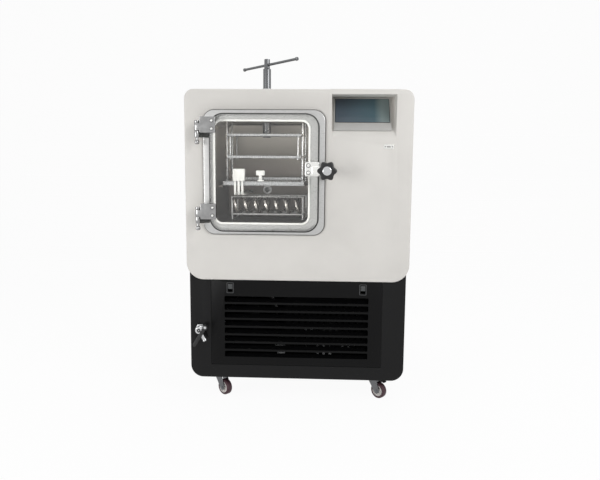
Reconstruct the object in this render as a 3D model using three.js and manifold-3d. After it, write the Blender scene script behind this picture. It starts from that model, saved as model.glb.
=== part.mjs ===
// Floor-standing freeze dryer: a white housing with a square chamber behind a clear door, a press worked by a
// T-handle, and a black lower cabinet on four swivel casters.
// Millimetres; +X right, +Y back, +Z up. The floor is z = 0 and the housing's front face is y = 0.

import * as THREE from 'three';
import { mergeVertices } from 'three/addons/utils/BufferGeometryUtils.js';
import Module from 'manifold-3d';

const wasm = await Module();
wasm.setup();

// ---------------------------------------------------------------- driving dimensions

// gaps
const SEAT = 0.3; // between two pieces that touch
const RUN = 0.4; // around a shaft that turns or slides
const SLACK = 2; // around a thing that passes loosely through a panel
const OVERCUT = 1; // how far a cutting tool runs past the face it cuts

// upper housing
const HOUSING_WIDTH = 684;
const HOUSING_HEIGHT = 577;
const HOUSING_DEPTH = 600;
const HOUSING_WALL = 3;
const HOUSING_LOWER_RADIUS = 53;
const HOUSING_UPPER_RADIUS = 28;

// lower cabinet
const CABINET_SIDE_INSET = 8; // from the housing's sides
const CABINET_HEIGHT = 315;
const CABINET_SETBACK = 8;
const CABINET_WALL = 3;
const CABINET_LOWER_RADIUS = 39;
const BASE_PLATE_THICKNESS = 5;
const BASE_PLATE_MARGIN = 12;

// front panel with louvres
const PANEL_LEFT_MARGIN = 67; // from the cabinet's left side
const PANEL_RIGHT_MARGIN = 72;
const PANEL_BASE_MARGIN = 44; // from the cabinet's base
const PANEL_THICKNESS = 2.5;
const REBATE_WIDTH = 12;
const REBATE_THICKNESS = 2.3;
const SLOT_PITCH = 25.1;
const SLOT_HEIGHT = 19;
const SLOT_SIDE_MARGIN = 41; // from the panel's sides
const SLOT_FLOOR_MARGIN = 23.7; // from the panel's lower edge
const SLOT_CATCH_MARGIN = 5; // at least, between the top slot and the catches
const SLOT_RADIUS = 4;
const BLADE_REACH = 14;
const BLADE_RISE = 9;
const BLADE_THICKNESS = 1.5;

// slide catches on the front panel
const CATCH_SIDE_INSET = 18; // from the slots' ends
const CATCH_DROP = 26; // from the housing's base down to a catch's centre
const CATCH_FRAME_WIDTH = 22;
const CATCH_FRAME_HEIGHT = 34;
const CATCH_FRAME_PROUD = 1.2;
const CATCH_FRAME_RADIUS = 3;
const CATCH_PAD_WIDTH = 14;
const CATCH_PAD_HEIGHT = 14;
const CATCH_TRAVEL = 9;
const CATCH_TONGUE_THICKNESS = 2;
const CATCH_TONGUE_REACH = 6;

// chamber
const CHAMBER_LEFT_MARGIN = 97; // from the housing's left side
const CHAMBER_BASE_MARGIN = 181.5; // from the housing's base
const CHAMBER_WIDTH = 276;
const CHAMBER_HEIGHT = 298;
const CHAMBER_DEPTH = 280;
const CHAMBER_WALL = 4;
const CHAMBER_RADIUS = 20;
const FLANGE_PROUD = 6;
const FLANGE_THICKNESS = 12;
const FLANGE_RADIUS = 34;
const FLANGE_LEFT_LAP = 40;
const FLANGE_RIGHT_LAP = 51;
const FLANGE_TOP_LAP = 37;
const FLANGE_BOTTOM_LAP = 39;
const CHAMBER_LEG_SIZE = 20;
const LEDGE_WIDTH = 12;
const LEDGE_THICKNESS = 6;

// door
const SEAL_WIDTH = 6.5;
const SEAL_THICKNESS = 5.4;
const DOOR_THICKNESS = 25;
const DOOR_LEFT_LAP = 17;
const DOOR_RIGHT_LAP = 34;
const DOOR_TOP_LAP = 25;
const DOOR_BOTTOM_LAP = 28;
const DOOR_RADIUS = 42;

// hinges
const HINGE_AXIS_OUTSET = 35; // from the door's left edge
const HINGE_KNUCKLE_RADIUS = 8;
const HINGE_PIN_RADIUS = 3.5;
const HINGE_LEAF_HEIGHT = 47;
const HINGE_LEAF_THICKNESS = 5;
const HINGE_LEAF_LAP = 21; // onto the door plate
const HINGE_KNUCKLE_HEIGHT = 21;
const HINGE_KNUCKLE_RISE = 7; // from the leaf's lower edge
const HINGE_UPPER_EAR = 8;
const HINGE_LOWER_EAR = 20;
const HINGE_SCREW_RADIUS = 4;
const HINGE_SCREW_HEAD = 2;
const HINGE_BASE_WIDTH = 18;
const HINGE_BASE_THICKNESS = 5;
const HINGE_TAIL_RADIUS = 7;
const HINGE_TAIL_LENGTH = 12;
const HINGE_TAIL_END_RADIUS = 4.9;
const HINGE_TAIL_CHAMFER = 3.6;
const HINGE_TAIL_STEM = 8;
const HINGE_TOP_INSET = 11.5; // from the door's top edge down to the upper leaf
const HINGE_BOTTOM_INSET = 37.5; // from the door's bottom edge up to the lower leaf

// clamp
const CLAMP_OUTSET = 23; // screw axis, right of the door's edge
const CLAMP_AXIS_RISE = 156; // above the chamber's floor
const CLAMP_PLATE_THICKNESS = 4;
const CLAMP_PLATE_HEIGHT = 42;
const CLAMP_PLATE_LAP = 42; // onto the door plate
const CLAMP_PLATE_OFFSET_Z = 4.5;
const CLAMP_ARM_HEIGHT = 24;
const CLAMP_ARM_THICKNESS = 7;
const CLAMP_BOSS_RADIUS = 12;
const CLAMP_BOSS_DEPTH = 12;
const CLAMP_BOLT_RADIUS = 5;
const CLAMP_COLLAR_RADIUS = 9;
const CLAMP_COLLAR_THICKNESS = 2.5;
const CLAMP_SCREW_RADIUS = 4;
const CLAMP_TRAVEL = 18;
const CLAMP_SWING_ROOM = 1.6; // around the screw in its socket, for the door's arc
const SOCKET_HEIGHT = 27;
const SOCKET_FLOOR = 2;
const SOCKET_EDGE_GAP = 3.3;
const SOCKET_FAR_WALL = 12;
const KNOB_RADIUS = 26;
const KNOB_LOBE = 3;
const KNOB_LOBES = 6;
const KNOB_THICKNESS = 18;
const KNOB_HUB_RADIUS = 10;
const KNOB_HUB_LENGTH = 5;
const KNOB_FACE = 3; // material left in front of the screw's end
const KNOB_CAP_RADIUS = 13;
const KNOB_CAP_HEIGHT = 3;
const KNOB_CAP_CUTS = 3;

// press and shelves
const RAM_RADIUS = 12.5;
const RAM_UPPER_RADIUS = 9;
const RAM_NECK_RADIUS = 8;
const RAM_STEP_ABOVE_HOUSING = 78.5;
const RAM_TOP_ABOVE_STEP = 30.5;
const RAM_TOP_CHAMFER = 1;
const RAM_COLLAR_RADIUS = 12;
const RAM_COLLAR_HEIGHT = 3;
const TEE_BAR_RADIUS = 4;
const TEE_BAR_LENGTH = 288;
const TEE_BAR_OFFSET = 12;
const TEE_BAR_ANGLE = 49;
const TEE_BAR_RISE = 12.5; // above the spindle's step
const TEE_BAR_END_RADIUS = 5.5;
const TEE_BAR_END_LENGTH = 6;
const GLAND_FLANGE_RADIUS = 34;
const GLAND_FLANGE_HEIGHT = 8;
const GLAND_RADIUS = 21;
const GLAND_ABOVE_HOUSING = 16;
const PLATE_SIDE_GAP = 23; // from the chamber's sides
const PLATE_SETBACK = 10; // from the lower shelf's front and back
const PLATE_THICKNESS = 8;
const PLATE_RADIUS = 5;
const PRESS_PLATE_DROP = 33.5; // from the chamber's roof to the plate's top
const MIDDLE_SHELF_DROP = 57.5; // from the press plate's underside to the shelf's top
const LOWER_SHELF_RISE = 122; // from the chamber's floor to the shelf's top
const LOWER_SHELF_SIDE_GAP = 12; // from the chamber's sides
const LOWER_SHELF_FRONT_GAP = 40; // from the housing's front
const LOWER_SHELF_BACK_GAP = 30; // from the chamber's back
const LOWER_SHELF_THICKNESS = 13;
const REAR_STOP_HEIGHT = 8;
const REAR_STOP_THICKNESS = 4;
const GUIDE_RADIUS = 4;
const GUIDE_SIDE_INSET = 11; // from the lower shelf's edges
const GUIDE_END_INSET = 45;
const HANGER_RADIUS = 3;
const HANGER_SIDE_INSET = 12; // from the press plate's edges
const HANGER_END_INSET = 13;
const HANGER_HEAD_RADIUS = 5;
const HANGER_HEAD_HEIGHT = 4;

// condenser coil and its rack
const COIL_TUBE_RADIUS = 4.5;
const COIL_PITCH = 31;
const COIL_LEFT_ROOM = 45; // from the chamber's left side to the first run
const COIL_RIGHT_ROOM = 29; // at least, from the last run to the chamber's right side
const COIL_BEND_RADIUS = 20;
const COIL_BEND_CUTS = 4;
const COIL_RISE = 47.5; // from the chamber's floor to the coil's middle
const COIL_FRONT_Y = 62;
const COIL_BACK_ROOM = 44; // from the rear bends' centres to the chamber's back
const RACK_BAR = 5;
const RACK_TOP_BAR = 3;
const RACK_INSET = 20; // from the coil's bend centres to a frame of the rack

// sensor block, leads and probe
const BLOCK_WIDTH = 35;
const BLOCK_DEPTH = 24;
const BLOCK_HEIGHT = 37;
const BLOCK_OVERHANG = 12;
const BLOCK_OFFSET_X = -74; // from the chamber's middle
const BLOCK_RADIUS = 2;
const BLOCK_GROOVE_DEPTH = 1.5;
const BLOCK_GROOVE_HEIGHT = 2;
const LEAD_RADIUS = 3.5;
const LEAD_SPACING = 11;
const LEAD_COUNT = 3;
const LEAD_BEND_RADIUS = 9;
const LEAD_SET_IN = 1; // behind the block's front face
const LEAD_RUN_RISE = 82.5; // above the chamber's floor
const PROBE_OFFSET_X = -10; // from the chamber's middle
const PROBE_WIDTH = 26;
const PROBE_HEIGHT = 32;
const PROBE_HEAD_HEIGHT = 15;
const PROBE_STEM_WIDTH = 9;
const PROBE_DEPTH = 10;
const PROBE_FOOT_WIDTH = 17;
const PROBE_FOOT_HEIGHT = 3;

// vacuum port
const PORT_OFFSET_X = -12; // from the chamber's middle
const PORT_RISE = 89.5; // above the chamber's floor
const PORT_RADIUS = 10;
const PORT_WALL = 2;
const PORT_COLLAR_RADIUS = 14;
const PORT_COLLAR_THICKNESS = 3;
const PORT_FLANGE_RADIUS = 20;
const PORT_FLANGE_THICKNESS = 6;
const PORT_BEHIND_COVER = 40;

// display and socket
const POCKET_LEFT_GAP = 18; // from the chamber's flange
const POCKET_RIGHT_MARGIN = 51; // from the housing's right side
const POCKET_SILL_DROP = 140.5; // below the housing's top
const POCKET_LIP_HEIGHT = 18.5;
const POCKET_LIP_DEPTH = 9;
const POCKET_TILT = 35;
const POCKET_ROOF = 15; // the housing's top edge, which runs on above the display
const BEZEL_THICKNESS = 6;
const BEZEL_LEFT_INSET = 6;
const BEZEL_RIGHT_INSET = 12.5;
const BEZEL_TOP_GAP = 24; // from the top of the pocket's slope
const BEZEL_RADIUS = 2;
const SCREEN_LEFT_BORDER = 3.5;
const SCREEN_RIGHT_BORDER = 4;
const SCREEN_BOTTOM_BORDER = 28;
const SCREEN_TOP_BORDER = 5;
const SCREEN_THICKNESS = 3;
const SCREEN_RADIUS = 2;
const SOCKET_PLATE_INSET = 21; // left of the pocket's right side
const SOCKET_PLATE_DROP = 26.5; // below the pocket's sill
const SOCKET_PLATE_WIDTH = 30;
const SOCKET_PLATE_HEIGHT = 12;
const SOCKET_PLATE_THICKNESS = 1.5;
const SOCKET_PLATE_RADIUS = 3;
const SOCKET_PLATE_SCREW_RADIUS = 2;
const SOCKET_PLATE_SCREW_HEAD = 0.8;
const SOCKET_PLATE_SCREW_INSET = 4; // from the plate's ends
const DATA_PORT_WIDTH = 12.5;
const DATA_PORT_HEIGHT = 5;
const DATA_PORT_DEPTH = 14;
const DATA_PORT_WALL = 1;

// drain
const VALVE_INSET = 32; // from the cabinet's left side
const VALVE_RISE = 158; // above the cabinet's base
const VALVE_NUT_RADIUS = 16;
const VALVE_NUT_THICKNESS = 6;
const VALVE_BODY_RADIUS = 12;
const VALVE_BODY_REACH = 23;
const VALVE_TAIL_RADIUS = 7;
const VALVE_TAIL_LENGTH = 24;
const VALVE_BORE_RADIUS = 4;
const VALVE_BOSS_RADIUS = 7;
const VALVE_SPOUT_RADIUS = 7;
const VALVE_SPOUT_LENGTH = 26;
const VALVE_SPOUT_ANGLE = 28;
const VALVE_SPOUT_SETBACK = 1; // behind the body's front
const VALVE_STEM_RADIUS = 4;
const VALVE_STEM_LENGTH = 4;
const LEVER_OFFSET_X = 20; // from the valve's axis
const LEVER_OFFSET_Z = 11;
const LEVER_THICKNESS = 5;
const LEVER_LENGTH = 70;
const LEVER_WIDTH = 11;
const LEVER_ANGLE = 31;
const LEVER_HUB_RADIUS = 8;
const LEVER_END_FLAT = 0.2; // between the round corners of each end
const HOSE_RADIUS = 8;
const HOSE_WALL = 2;
const HOSE_BEND = 12;
const HOSE_TOP_RUN = 50; // straight, under the drain
const HOSE_DECK_RUN = 20; // straight, above the deck
const DRAIN_INSET = 20; // from the chamber's left side
const DRAIN_Y = 34;
const DRAIN_STUB_LENGTH = 20;

// refrigeration
const COMPRESSOR_INSET = 164; // from the cabinet's left side
const COMPRESSOR_Y = 330;
const COMPRESSOR_RADIUS = 85;
const COMPRESSOR_HEIGHT = 190;
const COMPRESSOR_BASE_RADIUS = 68;
const COMPRESSOR_BASE_RISE = 28.5;
const COMPRESSOR_SEAM_RISE = 85.5;
const COMPRESSOR_SEAM_HEIGHT = 7.6;
const COMPRESSOR_SEAM_PROUD = 3;
const COMPRESSOR_SEAM_SLOPE = 1.9;
const COMPRESSOR_DOME_HEIGHT = 47.5;
const COMPRESSOR_CROWN_HEIGHT = 15.2;
const COMPRESSOR_CROWN_RADIUS = 72.25;
const COMPRESSOR_TOP_RADIUS = 42.5;
const COMPRESSOR_FOOT_RADIUS = 105;
const COMPRESSOR_FOOT_THICKNESS = 6;
const CONDENSER_INSET = 229; // from the cabinet's right side
const CONDENSER_WIDTH = 290;
const CONDENSER_HEIGHT = 240;
const CONDENSER_DEPTH = 44;
const CONDENSER_Y = 60;
const CONDENSER_FIN_PITCH = 20;
const CONDENSER_FIN_GAP = 8;
const FAN_RADIUS = 95;
const FAN_TIP_GAP = 4;
const FAN_HUB_RADIUS = 26;
const FAN_BLADES = 5;
const FAN_DEPTH = 24;
const FAN_BLADE_WIDTH = 41.6;
const FAN_BLADE_THICKNESS = 2;
const FAN_BLADE_ROOT = 2; // sunk into the hub
const FAN_TIP_TRIM = 2; // off a blade's flat end, to keep its corners inside the ring
const FAN_BLADE_PITCH = 25;
const SHROUD_DEPTH = 40;
const SHROUD_WALL = 3;
const MOTOR_RADIUS = 30;
const MOTOR_LENGTH = 50;
const MOTOR_SHAFT_RADIUS = 4;
const MOTOR_BAR_HEIGHT = 16;
const MOTOR_BAR_THICKNESS = 4;
const MOTOR_BAR_LAP = 16; // onto the shroud at each end
const PIPE_RADIUS = 5;
const PIPE_SPACING = 56; // between the two lines at the compressor's top
const PIPE_BEND = 10;
const PIPE_BACK_RUN = 15; // straight, behind the coil's ends
const PIPE_HIGH_BEND = 100; // above the deck
const PIPE_LOW_BEND = 30;

// electrics
const BOX_WIDTH = 190;
const BOX_DEPTH = 230;
const BOX_HEIGHT = 150;
const BOX_Y = 250;
const BOX_VENT_COUNT = 5;
const BOX_VENT_PITCH = 22;
const BOX_VENT_MARGIN = 44; // from the box's front and sides
const INLET_INSET = 94; // from the cabinet's right side
const INLET_RISE = 62; // above the cabinet's base
const INLET_WIDTH = 80;
const INLET_HEIGHT = 30;
const INLET_DEPTH = 24;
const INLET_FLANGE = 5;
const INLET_FLANGE_THICKNESS = 3;
const INLET_RADIUS = 4;
const WELL_WIDTH = 38;
const WELL_HEIGHT = 20;
const WELL_OFFSET_X = 14;
const WELL_FLOOR = 3;
const PIN_SPACING = 7;
const PIN_THICKNESS = 2;
const PIN_HEIGHT = 5;
const PIN_DROP = 2; // from the inlet's middle to a pin's lower edge
const SWITCH_WIDTH = 20;
const SWITCH_HEIGHT = 26;
const SWITCH_OFFSET_X = -24;
const SWITCH_THROW = 10;
const SWITCH_DEPTH = 6;
const SWITCH_ROOT_INSET = 2.4; // from the rocker's ends
const COVER_THICKNESS = 2;
const VENT_COUNT = 6;
const VENT_PITCH = 26;
const VENT_HEIGHT = 8;
const VENT_WIDTH = 200;
const VENT_RISE = 112; // above the cabinet's base

// casters
const CASTER_INSET_X = 87; // from the cabinet's sides
const CASTER_INSET_Y = 47;
const CASTER_PLATE_RADIUS = 26;
const CASTER_PLATE_THICKNESS = 4;
const CASTER_STEM_RADIUS = 6;
const CASTER_RIVET_RADIUS = 10;
const CASTER_RIVET_HEIGHT = 3;
const CASTER_HEAD_RADIUS = 21;
const CASTER_HEAD_THICKNESS = 4;
const CASTER_TRAIL = 20;
const CASTER_YAW = -40;
const CASTER_HEADROOM = 18; // from the wheels' top to the cabinet's base
const CHEEK_THICKNESS = 2.5;
const CHEEK_LEADING_REACH = 12.6; // from the swivel's axis, under the head
const CHEEK_TRAILING_REACH = 16.8;
const CHEEK_FOOT_REACH = 8; // from the axle to each side
const CHEEK_FOOT_DROP = 9; // below the axle
const CHEEK_LEADING_DROP = 6;
const CHEEK_TRAILING_DROP = 4;
const WHEEL_RADIUS = 25;
const WHEEL_WIDTH = 20;
const WHEEL_HUB_RADIUS = 17;
const WHEEL_DISH = 2;
const WHEEL_DISH_SLOPE = 1;
const WHEEL_CHAMFER = 3;
const AXLE_RADIUS = 4;
const AXLE_PROUD = 1.5; // of the fork's cheeks
const BRAKED_CASTER = 'front_right';
const PEDAL_LENGTH = 22;
const PEDAL_THICKNESS = 3;
const PEDAL_WIDTH = 15;
const PEDAL_FALL = 4;

// ---------------------------------------------------------------- values that follow from them

const CABINET_WIDTH = HOUSING_WIDTH - 2 * CABINET_SIDE_INSET;
const CABINET_LEFT_X = -CABINET_WIDTH / 2;
const CABINET_RIGHT_X = CABINET_WIDTH / 2;
const CABINET_BASE_Z = 2 * WHEEL_RADIUS + CASTER_HEADROOM;
const HOUSING_BASE_Z = CABINET_BASE_Z + CABINET_HEIGHT;
const HOUSING_TOP_Z = HOUSING_BASE_Z + HOUSING_HEIGHT;
const DECK_TOP_Z = HOUSING_BASE_Z + HOUSING_WALL;
const CABINET_BACK_Y = HOUSING_DEPTH;
const CABINET_INNER_Y = CABINET_SETBACK + CABINET_WALL;
const CABINET_FLOOR_Z = CABINET_BASE_Z + CABINET_WALL;
const PANEL_BACK_Y = CABINET_INNER_Y - SEAT;
const PANEL_FRONT_Y = PANEL_BACK_Y - PANEL_THICKNESS;
const PANEL_LEFT_X = CABINET_LEFT_X + PANEL_LEFT_MARGIN;
const PANEL_RIGHT_X = CABINET_RIGHT_X - PANEL_RIGHT_MARGIN;
const PANEL_FLOOR_Z = CABINET_BASE_Z + PANEL_BASE_MARGIN;
const PANEL_TOP_Z = HOUSING_BASE_Z - SEAT;
const CATCH_CENTRE_Z = HOUSING_BASE_Z - CATCH_DROP;
const SLOT_LEFT_X = PANEL_LEFT_X + SLOT_SIDE_MARGIN;
const SLOT_RIGHT_X = PANEL_RIGHT_X - SLOT_SIDE_MARGIN;
const SLOT_FLOOR_Z = PANEL_FLOOR_Z + SLOT_FLOOR_MARGIN;
const SLOT_CEILING_Z = CATCH_CENTRE_Z - CATCH_FRAME_HEIGHT / 2 - SLOT_CATCH_MARGIN;
const SLOT_COUNT = Math.floor((SLOT_CEILING_Z - SLOT_FLOOR_Z - SLOT_HEIGHT) / SLOT_PITCH) + 1;
const CHAMBER_LEFT_X = -HOUSING_WIDTH / 2 + CHAMBER_LEFT_MARGIN;
const CHAMBER_RIGHT_X = CHAMBER_LEFT_X + CHAMBER_WIDTH;
const CHAMBER_CENTRE_X = CHAMBER_LEFT_X + CHAMBER_WIDTH / 2;
const CHAMBER_FLOOR_Z = HOUSING_BASE_Z + CHAMBER_BASE_MARGIN;
const CHAMBER_ROOF_Z = CHAMBER_FLOOR_Z + CHAMBER_HEIGHT;
const CHAMBER_BACK_Y = CHAMBER_DEPTH;
const FLANGE_FACE_Y = -FLANGE_PROUD;
const SEAL_FACE_Y = FLANGE_FACE_Y - SEAT - SEAL_THICKNESS;
const DOOR_BACK_Y = SEAL_FACE_Y - SEAT;
const DOOR_FRONT_Y = DOOR_BACK_Y - DOOR_THICKNESS;
const DOOR_LEFT_X = CHAMBER_LEFT_X - DOOR_LEFT_LAP;
const DOOR_RIGHT_X = CHAMBER_RIGHT_X + DOOR_RIGHT_LAP;
const DOOR_TOP_Z = CHAMBER_ROOF_Z + DOOR_TOP_LAP;
const DOOR_BOTTOM_Z = CHAMBER_FLOOR_Z - DOOR_BOTTOM_LAP;
const LEAF_BACK_Y = DOOR_FRONT_Y - SEAT;
const LEAF_FRONT_Y = LEAF_BACK_Y - HINGE_LEAF_THICKNESS;
const HINGE_X = DOOR_LEFT_X - HINGE_AXIS_OUTSET;
const HINGE_Y = LEAF_FRONT_Y + HINGE_LEAF_THICKNESS / 2 + HINGE_KNUCKLE_RADIUS;
const CLAMP_X = DOOR_RIGHT_X + CLAMP_OUTSET;
const CLAMP_AXIS_Z = CHAMBER_FLOOR_Z + CLAMP_AXIS_RISE;
const CLAMP_PLATE_FRONT_Y = LEAF_BACK_Y - CLAMP_PLATE_THICKNESS;
const CLAMP_BOSS_FRONT_Y = LEAF_BACK_Y - CLAMP_BOSS_DEPTH;
const COLLAR_BACK_Y = CLAMP_BOSS_FRONT_Y - SEAT;
const COLLAR_FRONT_Y = COLLAR_BACK_Y - CLAMP_COLLAR_THICKNESS;
const KNOB_HUB_BACK_Y = COLLAR_FRONT_Y - SEAT;
const KNOB_BACK_Y = KNOB_HUB_BACK_Y - KNOB_HUB_LENGTH;
const KNOB_FRONT_Y = KNOB_BACK_Y - KNOB_THICKNESS;
const CAP_BACK_Y = KNOB_FRONT_Y - SEAT;
const CAP_FRONT_Y = CAP_BACK_Y - KNOB_CAP_HEIGHT;
const SOCKET_BACK_Y = FLANGE_FACE_Y - SEAT;
const SCREW_TIP_Y = SOCKET_BACK_Y - SOCKET_FLOOR - SEAT;
const SOCKET_FRONT_Y = SCREW_TIP_Y - CLAMP_TRAVEL + 2 * SEAT;
const PRESS_PLATE_TOP_Z = CHAMBER_ROOF_Z - PRESS_PLATE_DROP;
const PRESS_PLATE_FLOOR_Z = PRESS_PLATE_TOP_Z - PLATE_THICKNESS;
const MIDDLE_SHELF_TOP_Z = PRESS_PLATE_FLOOR_Z - MIDDLE_SHELF_DROP;
const MIDDLE_SHELF_FLOOR_Z = MIDDLE_SHELF_TOP_Z - PLATE_THICKNESS;
const LOWER_SHELF_TOP_Z = CHAMBER_FLOOR_Z + LOWER_SHELF_RISE;
const LOWER_SHELF_FLOOR_Z = LOWER_SHELF_TOP_Z - LOWER_SHELF_THICKNESS;
const LOWER_SHELF_WIDTH = CHAMBER_WIDTH - 2 * LOWER_SHELF_SIDE_GAP;
const SHELF_FRONT_Y = LOWER_SHELF_FRONT_GAP;
const SHELF_BACK_Y = CHAMBER_BACK_Y - LOWER_SHELF_BACK_GAP;
const SHELF_CENTRE_Y = (SHELF_FRONT_Y + SHELF_BACK_Y) / 2;
const LOWER_SHELF_DEPTH = SHELF_BACK_Y - SHELF_FRONT_Y;
const PLATE_WIDTH = CHAMBER_WIDTH - 2 * PLATE_SIDE_GAP;
const PLATE_DEPTH = LOWER_SHELF_DEPTH - 2 * PLATE_SETBACK;
const GUIDE_SPACING_X = LOWER_SHELF_WIDTH - 2 * GUIDE_SIDE_INSET;
const GUIDE_SPACING_Y = LOWER_SHELF_DEPTH - 2 * GUIDE_END_INSET;
const HANGER_SPACING_X = PLATE_WIDTH - 2 * HANGER_SIDE_INSET;
const HANGER_SPACING_Y = PLATE_DEPTH - 2 * HANGER_END_INSET;
const RAM_STEP_Z = HOUSING_TOP_Z + RAM_STEP_ABOVE_HOUSING;
const RAM_TOP_Z = RAM_STEP_Z + RAM_TOP_ABOVE_STEP;
const TEE_BAR_Z = RAM_STEP_Z + TEE_BAR_RISE;
const GLAND_FLOOR_Z = CHAMBER_ROOF_Z + CHAMBER_WALL + SEAT;
const GLAND_TOP_Z = HOUSING_TOP_Z + GLAND_ABOVE_HOUSING;
const COIL_TURNS = Math.floor((CHAMBER_WIDTH - COIL_LEFT_ROOM - COIL_RIGHT_ROOM) / COIL_PITCH + 0.5);
const COIL_CENTRE_Z = CHAMBER_FLOOR_Z + COIL_RISE;
const COIL_REAR_Y = CHAMBER_BACK_Y - COIL_BACK_ROOM;
const BLOCK_CENTRE_X = CHAMBER_CENTRE_X + BLOCK_OFFSET_X;
const LEAD_RUN_Z = CHAMBER_FLOOR_Z + LEAD_RUN_RISE;
const PROBE_X = CHAMBER_CENTRE_X + PROBE_OFFSET_X;
const PORT_X = CHAMBER_CENTRE_X + PORT_OFFSET_X;
const PORT_Z = CHAMBER_FLOOR_Z + PORT_RISE;
const POCKET_LEFT_X = CHAMBER_RIGHT_X + FLANGE_RIGHT_LAP + POCKET_LEFT_GAP;
const POCKET_RIGHT_X = HOUSING_WIDTH / 2 - POCKET_RIGHT_MARGIN;
const POCKET_SILL_Z = HOUSING_TOP_Z - POCKET_SILL_DROP;
const POCKET_SLOPE_HEIGHT = POCKET_SILL_DROP - POCKET_LIP_HEIGHT;
const BEZEL_LEFT_X = POCKET_LEFT_X + BEZEL_LEFT_INSET;
const BEZEL_RIGHT_X = POCKET_RIGHT_X - BEZEL_RIGHT_INSET;
const BEZEL_LENGTH = POCKET_SLOPE_HEIGHT / Math.cos(THREE.MathUtils.degToRad(POCKET_TILT)) - BEZEL_TOP_GAP;
const SCREEN_LEFT_X = BEZEL_LEFT_X + SCREEN_LEFT_BORDER;
const SCREEN_RIGHT_X = BEZEL_RIGHT_X - SCREEN_RIGHT_BORDER;
const SCREEN_LENGTH = BEZEL_LENGTH - SCREEN_BOTTOM_BORDER - SCREEN_TOP_BORDER;
const SOCKET_PLATE_X = POCKET_RIGHT_X - SOCKET_PLATE_INSET;
const SOCKET_PLATE_Z = POCKET_SILL_Z - SOCKET_PLATE_DROP;
const BASE_PLATE_FLOOR_Z = CABINET_FLOOR_Z + SEAT;
const BASE_PLATE_TOP_Z = BASE_PLATE_FLOOR_Z + BASE_PLATE_THICKNESS;
const COVER_BACK_Y = HOUSING_DEPTH;
const COVER_FRONT_Y = COVER_BACK_Y - COVER_THICKNESS;
const CASTER_PLATE_TOP_Z = CABINET_BASE_Z - SEAT;
const CASTER_PLATE_FLOOR_Z = CASTER_PLATE_TOP_Z - CASTER_PLATE_THICKNESS;
const CASTER_HEAD_TOP_Z = CASTER_PLATE_FLOOR_Z - SEAT;
const CASTER_HEAD_FLOOR_Z = CASTER_HEAD_TOP_Z - CASTER_HEAD_THICKNESS;
const CASTER_LEFT_X = CABINET_LEFT_X + CASTER_INSET_X;
const CASTER_RIGHT_X = CABINET_RIGHT_X - CASTER_INSET_X;
const CASTER_FRONT_Y = CABINET_SETBACK + CASTER_INSET_Y;
const CASTER_BACK_Y = CABINET_BACK_Y - CASTER_INSET_Y;
const PORT_END_Y = HOUSING_DEPTH + PORT_BEHIND_COVER;
const VALVE_X = CABINET_LEFT_X + VALVE_INSET;
const VALVE_Z = CABINET_BASE_Z + VALVE_RISE;
const VALVE_WALL_Y = CABINET_SETBACK;
const LEVER_X = VALVE_X + LEVER_OFFSET_X;
const LEVER_Z = VALVE_Z + LEVER_OFFSET_Z;
const DRAIN_X = CHAMBER_LEFT_X + DRAIN_INSET;
const COMPRESSOR_X = CABINET_LEFT_X + COMPRESSOR_INSET;
const SUCTION_X = COMPRESSOR_X - PIPE_SPACING / 2;
const LIQUID_X = COMPRESSOR_X + PIPE_SPACING / 2;
const CONDENSER_X = CABINET_RIGHT_X - CONDENSER_INSET;
const BOX_RIGHT_X = HOUSING_WIDTH / 2 - HOUSING_LOWER_RADIUS - 2 * SLACK;
const BOX_X = BOX_RIGHT_X - BOX_WIDTH / 2;
const INLET_X = CABINET_RIGHT_X - INLET_INSET;
const INLET_Z = CABINET_BASE_Z + INLET_RISE;
const VENT_FLOOR_Z = CABINET_BASE_Z + VENT_RISE;
const HOSE_Y = CABINET_INNER_Y + VALVE_TAIL_LENGTH + 2 * HOSE_RADIUS;
const FAN_CENTRE_Z = BASE_PLATE_TOP_Z + SEAT + CONDENSER_HEIGHT / 2;
const CONDENSER_BACK_Y = CONDENSER_Y + CONDENSER_DEPTH;
const SHROUD_FRONT_Y = CONDENSER_BACK_Y + SEAT;
const SHROUD_BACK_Y = SHROUD_FRONT_Y + SHROUD_DEPTH;

const degrees = THREE.MathUtils.degToRad;
const X_AXIS = new THREE.Vector3(1, 0, 0);
const Y_AXIS = new THREE.Vector3(0, 1, 0);
const Z_AXIS = new THREE.Vector3(0, 0, 1);

// ---------------------------------------------------------------- solids

// A closed three.js geometry as a manifold solid.
function solid(geometry) {
  const bare = geometry.clone();
  bare.deleteAttribute('normal');
  bare.deleteAttribute('uv');
  const merged = mergeVertices(bare, 1e-4);
  const vertProperties = new Float32Array(merged.attributes.position.array);
  const triVerts = new Uint32Array(merged.index.array);
  return new wasm.Manifold(new wasm.Mesh({ numProp: 3, vertProperties, triVerts }));
}

// A manifold solid as a three.js geometry.
function geometryOf(body) {
  const mesh = body.getMesh();
  const geometry = new THREE.BufferGeometry();
  geometry.setAttribute('position', new THREE.BufferAttribute(mesh.vertProperties, 3));
  geometry.setIndex(new THREE.BufferAttribute(mesh.triVerts, 1));
  geometry.computeVertexNormals();
  return geometry;
}

function join(...bodies) {
  return bodies.reduce((whole, next) => whole.add(next));
}

function cut(body, ...tools) {
  return tools.reduce((whole, tool) => whole.subtract(tool), body);
}

// An outline pushed along one axis. Its own x and y run along the next two axes: (x, z) for 'y',
// (y, z) for 'x' and (x, y) for 'z'.
function prism(outline, axis, from, to, curveSegments = 5) {
  const depth = to - from;
  const geometry = new THREE.ExtrudeGeometry(outline, { depth, bevelEnabled: false, curveSegments });
  if (axis === 'y') {
    geometry.rotateX(Math.PI / 2);
    geometry.translate(0, to, 0);
  } else if (axis === 'x') {
    geometry.applyMatrix4(new THREE.Matrix4().makeBasis(Y_AXIS, Z_AXIS, X_AXIS));
    geometry.translate(from, 0, 0);
  } else {
    geometry.translate(0, 0, from);
  }
  return solid(geometry);
}

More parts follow.
